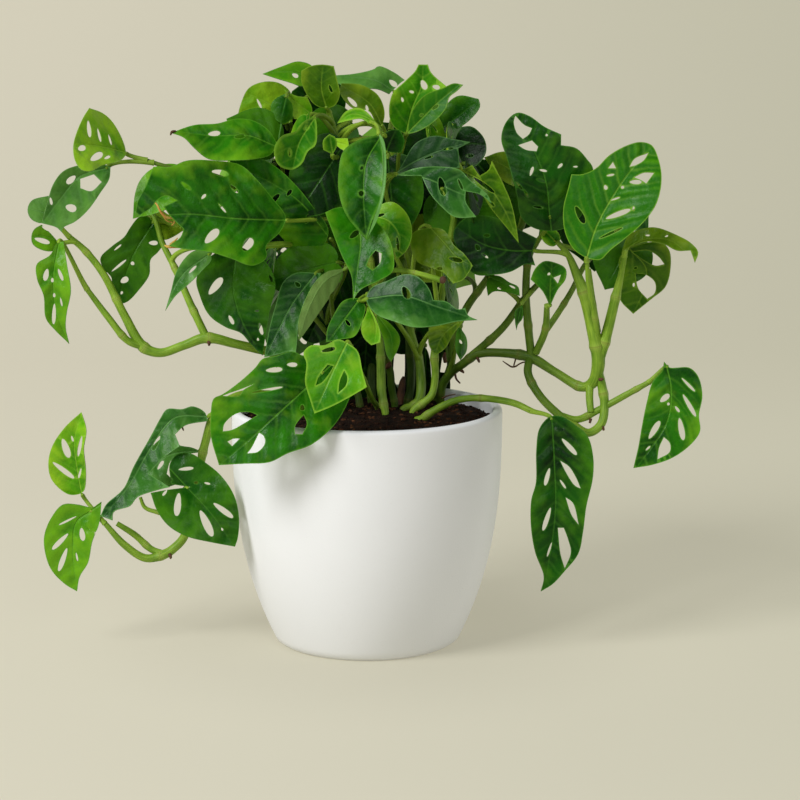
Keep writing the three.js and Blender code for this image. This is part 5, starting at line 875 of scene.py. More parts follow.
leaf("lower_lobe", [(-122, 277, 18), (-146, 292, 24)], "olive", "left_riser", 0.85, fold=16, tone=1.5,
     edge=[(-150, 292), (-143, 299), (-136, 295), (-133, 288), (-127, 284), (-119, 276), (-127, 271),
         (-133, 269), (-139, 272), (-147, 282)],
     holes=[(-142.5, 277, -141.5, 280, 2)])
leaf("low_left_inner", [(-112, 128, -8), (-134, 124, -11), (-154, 104, -18)], "grey", "left_low", 0.52,
     fold=18, curl=20, tone=1,
     edge=[(-131, 140), (-126, 132), (-117, 130), (-110, 127), (-122, 125), (-131, 121), (-134, 112),
         (-127, 105), (-140, 101), (-157, 98), (-158, 108), (-150, 122), (-140, 134)],
     holes=[(-148, 117, -142, 120, 2.4), (-140, 115, -136, 121, 2.4)])
leaf("olive_behind", [(26, 258, 44), (44, 264, 42), (64, 258, 40)], "olive", "mid", 0.5, fold=10, tone=0.5,
     edge=[(22, 282), (34, 286), (48, 284), (60, 276), (67, 262), (68, 248), (58, 242), (44, 241), (30, 242),
         (20, 252)])
leaf("turned_right_a", [(66, 318, -4), (70, 280, -14)], "mid", "mid_right", 0.85, width=38, roll=-75, fold=10,
     tone=-2)
leaf("turned_right_b", [(56, 344, 12), (60, 306, 4)], "grey", "mid_right", 0.97, width=36, roll=-70, fold=8)
leaf("turned_right_c", [(72, 290, 24), (76, 255, 16)], "dark", "right_back", 0.8, width=38, roll=-68, fold=12)
leaf("turned_right_d", [(50, 262, -8), (54, 224, -18)], "mid", "mid_right", 0.6, width=34, roll=-75, fold=10)
leaf("turned_right_e", [(40, 352, 0), (44, 318, -12)], "bright", "mid", 0.97, width=32, roll=-68, fold=14)
leaf("turned_left_a", [(-64, 316, 10), (-70, 276, 2)], "mid", "back_left", 0.75, width=40, roll=75, fold=10)
leaf("turned_left_b", [(-58, 348, 26), (-64, 314, 16)], "grey", "back_left", 0.9, width=34, roll=70, fold=8)
leaf("turned_left_c", [(-60, 262, 4), (-66, 224, -4)], "dark", "back_left", 0.6, width=38, roll=75, fold=12)
leaf("turned_left_d", [(-38, 350, -2), (-44, 318, -12)], "bright", "mid_left", 0.93, width=32, roll=70,
     fold=14, tone=-1)
leaf("turned_left_e", [(-46, 240, 2), (-52, 208, -6)], "mid", "back_left", 0.5, width=34, roll=75, fold=10)
leaf("pale_fold", [(-20, 333, -22), (-12, 331, -24)], "bright", "mid_left", 0.9, fold=10, tone=2,
     edge=[(-20, 335.5), (-12, 335.5), (-11.5, 329), (-14, 327), (-19, 330.5)])
leaf("rolled_margin", [(8, 338, -51), (11.5, 327, -58), (11, 305, -64), (7, 288, -68), (1, 272, -68)], "grey",
     "mid_left", 0.9, tone=2,
     edge=[(8, 339), (11.5, 334), (13, 322), (12.8, 308), (10.5, 294), (6.5, 281), (1, 271), (4.5, 282),
         (8.5, 294), (10.6, 308), (10.6, 322), (9.6, 332)])
print("blades in all:", len(LEAVES))

# %% [markdown]
# ## How a blade is curved
# A living blade is never flat. It folds up a little along its midrib, its midrib bends, and its edge ripples.
# A cloth simulation can't know this growth, so the blade is a surface given by a formula: a share of the way
# along the midrib and a distance to its side give one place in space. The same formula read backwards lays an
# edge that was drawn on the board onto the curved blade.

# %% Curved surface of a blade
EDGE_WAVES = 1.6  # ripples along one side of a blade
SPAN_STEPS = 12  # places on a smooth curve between two of the points that it goes through


def unit(vectors):
    return vectors / np.linalg.norm(vectors, axis=-1, keepdims=True)


def smooth_through(points, steps):
    """A curve through flat or spatial points, with so many steps between each two of them."""
    points = [np.array(p, float) for p in points]
    ends = [2 * points[0] - points[1], *points, 2 * points[-1] - points[-2]]
    made = []
    for p0, p1, p2, p3 in zip(ends, ends[1:], ends[2:], ends[3:]):
        d0, d1, d2 = (max(np.linalg.norm(b - a) ** 0.5, 1e-3) for a, b in ((p0, p1), (p1, p2), (p2, p3)))
        t1 = ((p1 - p0) / d0 - (p2 - p0) / (d0 + d1) + (p2 - p1) / d1) * d1
        t2 = ((p2 - p1) / d1 - (p3 - p1) / (d1 + d2) + (p3 - p2) / d2) * d1
        for step in range(steps):
            t = step / steps
            made.append(
                p1 + t1 * t + (3 * (p2 - p1) - 2 * t1 - t2) * t * t + (2 * (p1 - p2) + t1 + t2) * t ** 3
            )
    made.append(points[-1])
    return np.array(made)


def evenly(points, gap):
    """The same line with its points a gap apart."""
    run = np.concatenate([[0], np.cumsum(np.linalg.norm(np.diff(points, axis=0), axis=1))])
    count = max(3, round(run[-1] / gap))
    at = np.linspace(0, run[-1], count + 1)
    return np.stack([np.interp(at, run, points[:, k]) for k in range(points.shape[1])], axis=1)


def distance_to(points, starts, ends):
    """How far each flat point is from the nearest of the edges."""
    along = ends - starts
    share = ((points[:, None] - starts) * along).sum(-1) / np.maximum((along ** 2).sum(-1), 1e-9)
    nearest = starts + np.clip(share, 0, 1)[..., None] * along
    return np.linalg.norm(points[:, None] - nearest, axis=-1).min(axis=1)


def on_board(places):
    """Where the eye sees places against the board: mm across and mm up."""
    rays = places - np.array(EYE)
    return (np.array(EYE) + rays * (-EYE.y / rays[:, 1])[:, None])[:, [0, 2]]


class BladeSurface:
    """A curved blade. A share of the way along its midrib and mm to its side give a place in space."""

    def __init__(self, leaf):
        ends = [place(leaf["rib"][0]), place(leaf["rib"][-1])]
        along = (ends[1] - ends[0]).normalized()
        up = EYE - ends[0]
        up = (up - along * along.dot(up)).normalized()
        roll = math.radians(leaf["roll"])
        up = Matrix.Rotation(roll, 3, along) @ up
        self.base, self.along, self.up = np.array(ends[0]), np.array(along), np.array(up)
        line = evenly(smooth_through([place(p) for p in leaf["rib"]], SPAN_STEPS), 1.0)
        share = np.linspace(0, 1, len(line))[:, None]
        bow = leaf["arch"] * (ends[1] - ends[0]).length * 4 * share * (1 - share)
        self.line = line + self.up * bow
        self.length = np.linalg.norm(np.diff(self.line, axis=0), axis=1).sum()
        if leaf["edge"] is None:
            self.half = leaf["width"] / 2
        else:
            seen = on_board(self.line)
            widest = distance_to(np.array(leaf["edge"], float), seen[:-1], seen[1:]).max()
            self.half = widest / max(abs(math.cos(roll)), 0.5)
        self.fold = math.radians(leaf["fold"])
        self.curl = math.radians(leaf["curl"]) or 1e-4  # a curl of nothing would divide by 0
        self.wave = leaf["wave"]

    def midrib(self, share):
        """Places and directions of the midrib, which runs straight on past its ends."""
        steps = len(self.line) - 1
        inside = np.clip(share, 0, 1)
        low = np.minimum((inside * steps).astype(int), steps - 1)
        part = (inside * steps - low)[:, None]
        slopes = np.gradient(self.line, axis=0)
        spot = self.line[low] * (1 - part) + self.line[low + 1] * part
        ahead = unit(slopes[low] * (1 - part) + slopes[low + 1] * part)
        return spot + ahead * ((share - inside) * self.length)[:, None], ahead

    def at(self, share, side):
        """Places for arrays of shares along the midrib and mm to its right."""
        midrib, tangent = self.midrib(share)
        share, side = share[:, None], side[:, None]
        up = unit(self.up - tangent * (tangent @ self.up)[:, None])
        right = np.cross(tangent, up)
        out = np.abs(side) / self.half
        edge = self.fold - self.curl * out
        reach = self.half * (np.sin(self.fold) - np.sin(edge)) / self.curl
        lift = self.half * (np.cos(edge) - np.cos(self.fold)) / self.curl
        phase = EDGE_WAVES * share + np.where(side > 0, 0.2, 0.65)
        ripple = self.wave * self.half * np.minimum(out * out, 1.6) * np.sin(2 * np.pi * phase)
        return midrib + right * np.sign(side) * reach + up * (lift + ripple)

    def normal(self, share, side):
        """The upper side's direction, taken half a mm off the midrib, where the blade has a crease."""
        step, side = 0.02, side + np.sign(side) * 0.5
        forward = self.at(share + step, side) - self.at(share - step, side)
        sideways = self.at(share, side + 0.4) - self.at(share, side - 0.4)
        return unit(np.cross(sideways, forward))

    def laid(self, drawn):
        """Flat points (mm along, mm aside) that the eye sees at the points drawn on the board."""
        share, side = np.meshgrid(np.linspace(-0.5, 1.25, 50), np.linspace(-1.4, 1.4, 41) * self.half)
        share, side = share.ravel(), side.ravel()
        spots = on_board(self.at(share, side))
        nearest = np.linalg.norm(drawn[:, None] - spots, axis=-1).argmin(axis=1)
        share, side = share[nearest], side[nearest]
        ahead, aside = 0.004, 0.1  # a small share along and a small way to the side, to measure slopes with
        for _ in range(8):  # Newton's steps, from the nearest point of a coarse grid
            here = on_board(self.at(share, side))
            by_share = (on_board(self.at(share + ahead, side)) - here) / ahead
            by_side = (on_board(self.at(share, side + aside)) - here) / aside
            miss = drawn - here
            area = by_share[:, 0] * by_side[:, 1] - by_share[:, 1] * by_side[:, 0]
            area = np.where(np.abs(area) < 1e-3, 1e9, area)
            more_share = (miss[:, 0] * by_side[:, 1] - miss[:, 1] * by_side[:, 0]) / area
            more_side = (by_share[:, 0] * miss[:, 1] - by_share[:, 1] * miss[:, 0]) / area
            share = share + np.clip(more_share, -0.05, 0.05)
            side = side + np.clip(more_side, -3, 3)
        return np.column_stack([share * self.length, side])


# %% [markdown]
# ## How a blade is cut
# A leaf whose edge isn't drawn is a heart with a drip tip, and its holes are drops that lie between two side
# veins. The flat outline, its holes and a net of points between them are split into triangles, and both faces
# of the curved blade use that split. Cutting the holes with a boolean on the curved blade would leave ragged
# triangles; cutting on the flat leaves clean ones.

# %% Outline and holes on the flat
HALF_OUTLINE = [  # shares of the length and of the half width
    (0, 0), (-0.045, 0.22), (-0.02, 0.55), (0.12, 0.86), (0.34, 1), (0.57, 0.9), (0.77, 0.57), (0.92, 0.19),
    (1, 0),
]
VEIN_LEAN = math.radians(52)  # the side veins, and the holes between them, lean to the tip
NET = 2.3  # mm between the points of a blade's net
CORNER = math.radians(62)  # a drawn line stays sharp where it turns more than this


def blade_outline(surface, rng):
    """The flat outline, from the notch round one side to the tip and back along the other."""
    sides = []
    for side in (1, -1):
        swell = 1 + 0.05 * rng.uniform(-1, 1)
        corners = [(a * surface.length, side * w * surface.half * swell) for a, w in HALF_OUTLINE]
        sides.append(evenly(smooth_through(corners, 8), 0.8 * NET))
    return np.concatenate([sides[0][:-1], sides[1][::-1][:-1]])


def ring_through(points, gap):
    """A closed line through drawn points, smooth between its corners."""
    points = np.array(points, float)
    come, go = points - np.roll(points, 1, axis=0), np.roll(points, -1, axis=0) - points
    turn = np.arccos(np.clip((unit(come) * unit(go)).sum(axis=1), -1, 1))
    corners = np.flatnonzero(turn > CORNER)
    first = corners[0] if len(corners) else 0
    ring = np.concatenate([np.roll(points, -first, axis=0), points[first:first + 1]])
    stops = [*(corners - first), len(points)] if len(corners) else [0, len(points)]
    spans = [evenly(smooth_through(ring[a:b + 1], 6), gap)[:-1] for a, b in zip(stops, stops[1:])]
    return np.concatenate(spans)


def oval(middle, way, long, wide, taper):
    """A closed line round a hole, a little wider towards the end that way points to."""
    turns = np.linspace(0, 2 * np.pi, 20 if long > 9 else 12, endpoint=False)
    spread = wide / 2 * np.sin(turns) * (1 + taper * np.cos(turns))
    return middle + np.outer(long / 2 * np.cos(turns), way) + np.outer(spread, (-way[1], way[0]))


def drawn_hole(hole):
    """A hole on the board: an outline as it is, or the long oval between two ends."""
    if isinstance(hole, list):
        return ring_through(hole, 0.6 * NET)
    start, end, wide = np.array(hole[:2], float), np.array(hole[2:4], float), hole[4]
    long = np.linalg.norm(end - start)
    return oval((start + end) / 2, (end - start) / max(long, 1e-6), max(long, wide), wide, 0.2)


def drop(a, offset, long, wide, surface):
    """A drop-shaped hole: round at its outer end, narrower towards the midrib."""
    lean = (math.cos(VEIN_LEAN), math.copysign(math.sin(VEIN_LEAN), offset))
    return oval(np.array([a * surface.length, offset]), lean, long, wide, 0.28)


def sides_of(ring):
    """The starts and the ends of a closed line's sides."""
    return ring, np.roll(ring, -1, axis=0)


def within(points, ring):
    """Which of the flat points lie inside the ring."""
    x, y = points[:, 0][:, None], points[:, 1][:, None]
    a, b = sides_of(ring)
    spans = (a[:, 1] > y) != (b[:, 1] > y)
    rise = np.where(b[:, 1] == a[:, 1], 1e-9, b[:, 1] - a[:, 1])
    crosses = spans & (x < a[:, 0] + (b[:, 0] - a[:, 0]) * (y - a[:, 1]) / rise)
    return crosses.sum(axis=1) % 2 == 1


# %% Holes that fit
HOLE_MARGIN = 0.96  # mm of blade between two holes, or a hole and the edge
LEAST_HOLE = 3.0  # mm long


def ruled_holes(name, surface):
    """The few holes of a blade that lists none, as (share, offset, long, wide), by a seeded rule."""
    rng = random.Random(name)
    holes = []
    for a, side in ((0.22, 1), (0.3, -1), (0.42, 1), (0.5, -1), (0.62, 1), (0.68, -1)):
        long = surface.half * rng.uniform(0.3, 0.62) * (1.1 - 0.5 * a)
        holes.append((a + rng.uniform(-0.03, 0.03), side * surface.half * rng.uniform(0.3, 0.5), long,
                      long * rng.uniform(0.24, 0.4)))
    return holes


def fit_hole(hole, surface, outline, cuts):
    """Moves a hole off the midrib and draws it in until it is clear of the edge and of its neighbours."""
    a, offset, size, wide = hole
    side = math.copysign(1, offset)
    rings = [outline, *cuts]
    while size >= LEAST_HOLE:
        slim = min(wide, 0.62 * size)
        reach = (size * math.sin(VEIN_LEAN) + slim * math.cos(VEIN_LEAN)) / 2
        ring = drop(a, side * max(abs(offset), 1.0 + reach), size, slim, surface)
        clear = all(distance_to(ring, *sides_of(other)).min() > HOLE_MARGIN for other in rings)
        if clear and within(ring, outline).all():
            return ring
        size *= 0.9
    return None


# %% Veins between the holes
VEIN_GAP = 12.5  # mm between two side veins


def vein_phase(surface, holes, share, side):
    """A number that is whole on every side vein, and runs evenly from one vein to the next. The veins start
    at even steps along the midrib and are pushed aside where a hole would lie across them."""
    lean = 1 / math.tan(VEIN_LEAN)
    phases = np.zeros(len(share))
    for sign in (1, -1):
        count = max(4, round(surface.length / VEIN_GAP))
        feet = np.linspace(-0.12, 1.05, count + 2) * surface.length
        for a, offset, _, wide in holes:
            if offset * sign < 0:
                continue
            foot = a * surface.length - abs(offset) * lean
            room = wide / 2 + 1.1
            for k, at in enumerate(feet):
                if abs(at - foot) < room:
                    feet[k] = foot + math.copysign(room, at - foot)
        feet = np.maximum.accumulate(feet + np.arange(len(feet)) * 0.01)
        here = side * sign >= 0
        out = np.abs(side[here])
        foot = share[here] * surface.length - out * lean * (1 + 0.22 * out / surface.half)
        phases[here] = np.interp(foot, feet, np.arange(len(feet)))
    return phases


# %% The flat net of a blade
def cut_rings(leaf, surface):
    """The flat outline, the flat rings of the holes, and the holes as (share, offset, long, wide)."""
    if leaf["edge"] is not None:
        outline = surface.laid(ring_through(leaf["edge"], 0.8 * NET))
        cuts = [surface.laid(drawn_hole(hole)) for hole in leaf["holes"] or ()]
        spans = [(ring.mean(axis=0), np.ptp(ring, axis=0)) for ring in cuts]
        holes = [(mid[0] / surface.length, mid[1], max(span), 0.6 * min(span)) for mid, span in spans]
        return outline, cuts, holes
    outline = blade_outline(surface, random.Random(leaf["name"] + " edge"))
    holes = ruled_holes(leaf["name"], surface) if leaf["holes"] is None else leaf["holes"]
    cuts = []
    for hole in holes:
        ring = fit_hole(hole, surface, outline, cuts)
        if ring is not None:
            cuts.append(ring)
    return outline, cuts, holes


def on_blade(points, outline, cuts):
    """Which of the flat points lie on the blade: inside its outline and in none of its holes."""
    keep = within(points, outline)
    for ring in cuts:
        keep &= ~within(points, ring)
    return keep


def net_points(outline, cuts, length):
    """Even rows of points across the blade, and one along its midrib, clear of its edge and its holes."""
    low, high = outline.min(axis=0), outline.max(axis=0)
    inner = [
        (x + (0.5 * NET if k % 2 else 0), y)
        for k, y in enumerate(np.arange(low[1], high[1], NET * 0.87)) for x in np.arange(low[0], high[0], NET)
    ]
    inner = np.array(inner + [(x, 0.0) for x in np.arange(NET, length - NET, NET)])
    inner[np.abs(inner[:, 1]) < 0.45 * NET, 1] = 0
    inner = np.unique(inner.round(3), axis=0)
    keep = on_blade(inner, outline, cuts)
    for ring in [outline, *cuts]:
        keep &= distance_to(inner, *sides_of(ring)) > 0.42 * NET
    return inner[keep]


def flat_triangles(outline, cuts, inner):
    """Splits the flat blade into triangles, without its holes."""
    points, edges = [], []
    for ring in [outline, *cuts]:
        first = len(points)
        points += [tuple(p) for p in ring]
        edges += [(first + k, first + (k + 1) % len(ring)) for k in range(len(ring))]
    points += [tuple(p) for p in inner]
    flat, _, faces, *_ = geometry.delaunay_2d_cdt([Vector(p) for p in points], edges, [], 0, 1e-4)
    flat = np.array([tuple(p) for p in flat])
    faces = np.array([f for f in faces if len(f) == 3])
    faces = faces[on_blade(flat[faces].mean(axis=1), outline, cuts)]
    used, faces = np.unique(faces, return_inverse=True)
    return flat[used], faces.reshape(-1, 3)


# %% Both faces of a blade
BLADE_THICKNESS = 0.5  # mm
QUILT = 0.5  # mm that the skin swells between two side veins of a large blade
LARGE_BLADE = 60.0  # mm long
FLAT_RIM = 3.0  # mm beside the edge and the midrib where the swelling dies away


def blade_net(leaf):
    """Points, faces, walls and per-point numbers of one blade, in mm."""
    surface = BladeSurface(leaf)
    outline, cuts, holes = cut_rings(leaf, surface)
    flat, faces = flat_triangles(outline, cuts, net_points(outline, cuts, surface.length))
    sides = {(f[k], f[(k + 1) % 3]) for f in faces for k in range(3)}
    rim = np.array([(a, b) for a, b in sides if (b, a) not in sides])
    margin = distance_to(flat, flat[rim[:, 0]], flat[rim[:, 1]])

    share, side = flat[:, 0] / surface.length, flat[:, 1]
    phase = vein_phase(surface, holes, share, side)
    size = min(1.0, surface.length / LARGE_BLADE)
    swell = QUILT * size * np.sin(np.pi * phase) ** 2
    swell = swell * np.clip(margin / FLAT_RIM, 0, 1) * np.clip(np.abs(side) / FLAT_RIM, 0, 1)
    middle, normal = surface.at(share, side), surface.normal(share, side)
    upper = middle + normal * (BLADE_THICKNESS / 2 + swell)[:, None]
    under = middle - normal * (BLADE_THICKNESS / 2 - swell)[:, None]

    count = len(flat)
    skin = [(a, c, b) for a, b, c in faces] + [(a + count, b + count, c + count) for a, b, c in faces]
    walls = [(a, b, b + count, a + count) for a, b in rim]
    relief = size - 1 if leaf["relief"] is None else leaf["relief"]  # a small blade is flatter
    numbers = {
        "vein_phase": phase, "across_mm": side, "edge_mm": margin / leaf["rim"], "along": share,
        "out": np.clip(np.abs(side) / surface.half, 0, 1), "tone": np.full(count, float(leaf["tone"])),
        "relief": np.full(count, relief),
    }
    numbers = {key: np.concatenate([value, value]) for key, value in numbers.items()}
    numbers["upper_side"] = np.repeat([1.0, 0.0], count)
    return np.concatenate([upper, under]), skin, walls, numbers


# %% One piece of one or more blades
def add_piece(name, mesh, slot, *nodes):
    """Puts a finished mesh into the scene as one piece that rides on the part."""
    piece = bpy.data.objects.new(name, mesh)
    bpy.context.scene.collection.objects.link(piece)
    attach(piece, "root")
    if nodes:
        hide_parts(*nodes)


def blades_mesh(name, leaves, material):
    """One mesh of one or more blades. Its edges stay sharp where the two faces meet the margin."""
    points, faces, sharp, numbers = [], [], set(), {}
    for leaf in leaves:
        first = sum(len(p) for p in points)
        spots, skin, walls, carried = blade_net(leaf)
        points.append(spots)
        faces += [tuple(first + v for v in f) for f in skin + walls]
        for a, b, c, d in walls:
            sharp.update({frozenset((first + a, first + b)), frozenset((first + c, first + d))})
        for key, value in carried.items():
            numbers.setdefault(key, []).append(value)
    mesh = bpy.data.meshes.new(name)
    mesh.from_pydata((np.concatenate(points) * MM).tolist(), [], faces)
    mesh.validate()
    mesh.shade_smooth()
    crease = mesh.attributes.new("sharp_edge", "BOOLEAN", "EDGE")
    crease.data.foreach_set("value", [frozenset(e.vertices) in sharp for e in mesh.edges])
    for key, parts in numbers.items():
        mesh.attributes.new(key, "FLOAT", "POINT").data.foreach_set("value", np.concatenate(parts))
    mesh.materials.append(material)
    return mesh


# %% [markdown]
# ## The finish of a blade
# The skin is a glossy green, mottled all over, and darker beside the veins, where painted shade darkens the
# grooves. The midrib and the side veins are lighter and lie in shallow grooves, the margin has a thin light
# line that is partly a painted highlight, and the underside is paler and duller. Each blade is also painted
# lighter or darker by the light and shade that fall on it, and the grey green is painted sheen. The mesh
# carries the numbers that say where the veins and the margin are, so the finish needs no picture. Each green
# of the plant is the same recipe with other colours.

# %% Leaf greens
LEAF_COLOURS = {  # skin, deeper skin, yellower skin, veins, underside
    "dark": ((18, 76, 2), (3, 36, 1), (70, 128, 14), (64, 120, 30), (80, 124, 36)),
    # The grey green is painted sheen: it stands in for the soft light that glossy blades reflect
    "grey": ((50, 106, 30), (15, 64, 14), (104, 158, 66), (96, 148, 74), (96, 140, 62)),
    "mid": ((40, 114, 4), (10, 64, 1), (112, 170, 24), (92, 154, 40), (102, 148, 42)),
    "olive": ((76, 118, 5), (36, 80, 2), (134, 164, 28), (122, 158, 42), (118, 150, 46)),
    "bright": ((84, 156, 8), (38, 112, 3), (156, 202, 38), (142, 192, 56), (132, 174, 52)),
}


def leaf_finish(kind):
    """The skin of one green: the top side is body, the underside is back, and a painted shade darkens the
    blades that stand in shadow.
    """
    skin, deep, warm, vein, under = (colour(*c) for c in LEAF_COLOURS[kind])
    # the near-black green of the painted shade
    painted_shade_green = tuple(channel * 0.38 for channel in deep[:3]) + (1.0,)
    f = Finish("leaf_" + kind)
    phase, across, margin = f.written("vein_phase"), f.written("across_mm"), f.written("edge_mm")
    upper, out, along = f.written("upper_side"), f.written("out"), f.written("along")
    tone, relief = f.written("tone"), f.written("relief")
    patches, mottle, fleck = f.cloudy(26.0, 3.0), f.cloudy(85.0, 4.0), f.cloudy(420.0, 3.0)
    off_midrib = across.math("ABSOLUTE")
    strayed = phase + (mottle - 0.5) * 0.5
    off_vein = (strayed - strayed.math("ROUND")).math("ABSOLUTE")
    midrib = off_midrib.fades(0.2, 0.9) * along.fades(0.1, 1.3)
    # Painted shade: a blade set in shadow is darkened, on its top side and its underside
    painted_gloom = (tone * -0.45 - 0.2).clamped()
    calm = (relief + 1.0).clamped()
    groove = off_vein.fades(0.0, 0.16) * off_midrib.fades(4.0, 30.0) * calm
    folds = (patches * 1.6 - 0.3 - painted_gloom * 1.5 + relief).clamped()
    # The valleys beside the side veins are sunk by the bump and also painted darker, as painted shade in the
    # grooves
    valley_and_shade = off_vein.fades(0.0, 0.5) * folds
    cells = f.node("ShaderNodeTexVoronoi", {"feature": "DISTANCE_TO_EDGE"}, "Distance",
                   Vector=f.here(), Scale=380.0)
    net = cells.fades(0.0, 0.1)
    # Darker at random, beside the midrib and towards the middle of the blade; darker still with painted shade
    # in the vein grooves and on blades in shadow, paler with painted light on lit ones
    depth = (0.4 + (patches - 0.5) * 2.8 + (mottle - 0.5) * 1.8 + valley_and_shade * (0.4 + relief * 0.6)
             + off_midrib.fades(0.8, 6.0) * 0.25 + (fleck - 0.5) * 0.3 - tone * 0.55 - out * 0.3)
    body = f.mixed(depth.clamped(), skin, deep)
    # Yellower at random and towards the margin, with painted light on lit blades, and less in the painted
    # shade of the vein grooves
    yellow_and_lit = (mottle - 0.55) * 2.2 + (patches - 0.5) * -1.5 + out * out * 0.9 + tone * 0.5 - valley_and_shade * 0.4
    body = f.mixed(yellow_and_lit.clamped() * 0.8, body, warm)
    body = f.mixed(net * 0.05 + groove * (mottle * 0.45) + midrib * 0.55, body, vein)
    # The light line along the margin is partly the leaf's own pale edge and partly a painted highlight where
    # the edge catches the light
    body = f.mixed(margin.fades(0.15, 0.8) * 0.65, body, vein)
    # painted shade on the top side of a blade in shadow
    body = f.mixed(painted_gloom, body, painted_shade_green)
    back = f.mixed((mottle * 0.5 + groove * 0.3 + midrib * 0.4).clamped(), under, vein)
    # Painted shade darkens the underside of a blade in shadow, and painted light makes the underside of a lit
    # blade paler
    back = f.mixed(painted_gloom * 0.8, back, deep)
    back = f.mixed((tone * 0.3).clamped(), back, colour(176, 196, 136))
    height = (fleck * 0.04 + net * -0.03 - midrib * 0.7 - valley_and_shade * off_midrib.fades(2.0, 40.0)
              + (mottle - 0.5) * 3.0 + (patches - 0.5) * 7.0) * (upper * 2.0 - 1.0)
    return f.wear(
        Base_Color=f.mixed(upper, back, body),
        Roughness=(0.22 + mottle * 0.22) + (1.0 - upper) * 0.2 + painted_gloom * 0.25,
        Normal=f.bumped(height, 0.0005),
        Specular_IOR_Level=0.14,
    )


LEAF_FINISH = {kind: leaf_finish(kind) for kind in LEAF_COLOURS}
print("leaf finishes:", ", ".join(LEAF_FINISH))

# %% [markdown]
# ## The blades
# Each large blade is a piece of its own and takes the place of its solid. The small ones belong to their
# stem's solid, so they are gathered by colour.

# %% Large blades
for leaf_data in LEAVES:
    solid = "leaf_" + leaf_data["name"]
    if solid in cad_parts:
        mesh = blades_mesh("blade_" + leaf_data["name"], [leaf_data], LEAF_FINISH[leaf_data["finish"]])
        add_piece(mesh.name, mesh, "leaf_" + leaf_data["finish"], solid)
print("large blades:", sum("leaf_" + item["name"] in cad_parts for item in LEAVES))

# %% Small blades
small = [item for item in LEAVES if "leaf_" + item["name"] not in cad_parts]
for kind in LEAF_COLOURS:
    group = [item for item in small if item["finish"] == kind]
    if group:
        mesh = blades_mesh("small_blades_" + kind, group, LEAF_FINISH[kind])
        stems = sorted({ROUTES[item["route"]]["node"] for item in group})
        add_piece(mesh.name, mesh, "leaf_" + kind, *stems)
print("small blades:", len(small))

# %% [markdown]
# ## Stems and leaf stalks
# A stem is skinned along its route: a bare line of points that carry their thickness goes into a Geometry
# Nodes tree, which turns it into a curve and sweeps a ring along it. Modelling each tube by hand would take
# the same step fifty times. The skin swells where leaves grew, and each leaf stalk leaves its stem at a
# slant and ends in a small elbow behind the notch of its blade.

# %% Skin tree
STEM_SIDES, THIN_SIDES = 14, 8


def empty_tree(name, output, sockets):
    """A Geometry Nodes tree with named inputs. Returns it and the sockets that hand those inputs on."""
    tree = bpy.data.node_groups.new(name, "GeometryNodeTree")
    for label, kind in sockets.items():
        tree.interface.new_socket(label, in_out="INPUT", socket_type="NodeSocket" + kind)
    tree.interface.new_socket(output, in_out="OUTPUT", socket_type="NodeSocketGeometry")
    return tree, tree.nodes.new("NodeGroupInput").outputs


def add_node(tree, kind, output, inputs, **settings):
    """Adds a node and returns one of its outputs. An input is a plain value, or the socket that feeds it."""
    made = tree.nodes.new(kind)
    for key, value in settings.items():
        setattr(made, key, value)
    for key, value in inputs.items():
        if isinstance(value, bpy.types.NodeSocket):
            tree.links.new(value, made.inputs[key])
        else:
            made.inputs[key].default_value = value
    return made.outputs[output]


def finish_tree(tree, shape, finish, output):
    """Ends a tree in real faces with a finish on them."""
    real = add_node(tree, "GeometryNodeRealizeInstances", "Geometry", {"Geometry": shape})
    dressed = add_node(tree, "GeometryNodeSetMaterial", "Geometry", {"Geometry": real, "Material": finish})
    tree.links.new(dressed, tree.nodes.new("NodeGroupOutput").inputs[output])


def skin_tree():
    """Skins lines into tubes. The ring's own place is kept as around, and the way along the line as run."""
    tree, given = empty_tree("skin_along_lines", "Skin", {
        "Lines": "Geometry", "Sides": "Int", "Finish": "Material",
    })

    def kept(curve, name, value):
        """The same curve, which carries a value under a name at each of its points."""
        return add_node(tree, "GeometryNodeStoreNamedAttribute", "Geometry",
                        {"Geometry": curve, "Name": name, "Value": value}, data_type="FLOAT", domain="POINT")

    thick = add_node(tree, "GeometryNodeInputNamedAttribute", "Attribute", {"Name": "thickness"},
                     data_type="FLOAT")
    line = add_node(tree, "GeometryNodeMeshToCurve", "Curve", {"Mesh": given["Lines"]})
    line = add_node(tree, "GeometryNodeSetCurveRadius", "Curve", {"Curve": line, "Radius": thick})
    line = kept(line, "run", add_node(tree, "GeometryNodeSplineParameter", "Length", {}))
    ring = add_node(tree, "GeometryNodeCurvePrimitiveCircle", "Curve",
                    {"Resolution": given["Sides"], "Radius": 1.0})
    ring = kept(ring, "around", add_node(tree, "GeometryNodeSplineParameter", "Factor", {}))
    tube = add_node(tree, "GeometryNodeCurveToMesh", "Mesh",
                    {"Curve": line, "Profile Curve": ring, "Scale": thick, "Fill Caps": True})
    smooth = add_node(tree, "GeometryNodeSetShadeSmooth", "Geometry", {"Geometry": tube})
    finish_tree(tree, smooth, given["Finish"], "Skin")
    return tree


SKIN = skin_tree()
print("skin tree:", len(SKIN.nodes), "nodes")


def grown(name, seedling, tree, inputs):
    """Runs a Geometry Nodes tree on a mesh once, and returns the result as a plain mesh."""
    carrier = bpy.data.objects.new(name, seedling)
    bpy.context.scene.collection.objects.link(carrier)
    modifier = carrier.modifiers.new("grow", "NODES")
    modifier.node_group = tree
    for item in tree.interface.items_tree:
        if item.item_type == "SOCKET" and item.in_out == "INPUT" and item.name in inputs:
            modifier[item.identifier] = inputs[item.name]
    bpy.context.view_layer.update()
    seen = carrier.evaluated_get(bpy.context.evaluated_depsgraph_get())
    mesh = bpy.data.meshes.new_from_object(seen)
    bpy.data.objects.remove(carrier)
    mesh.name = name
    return mesh


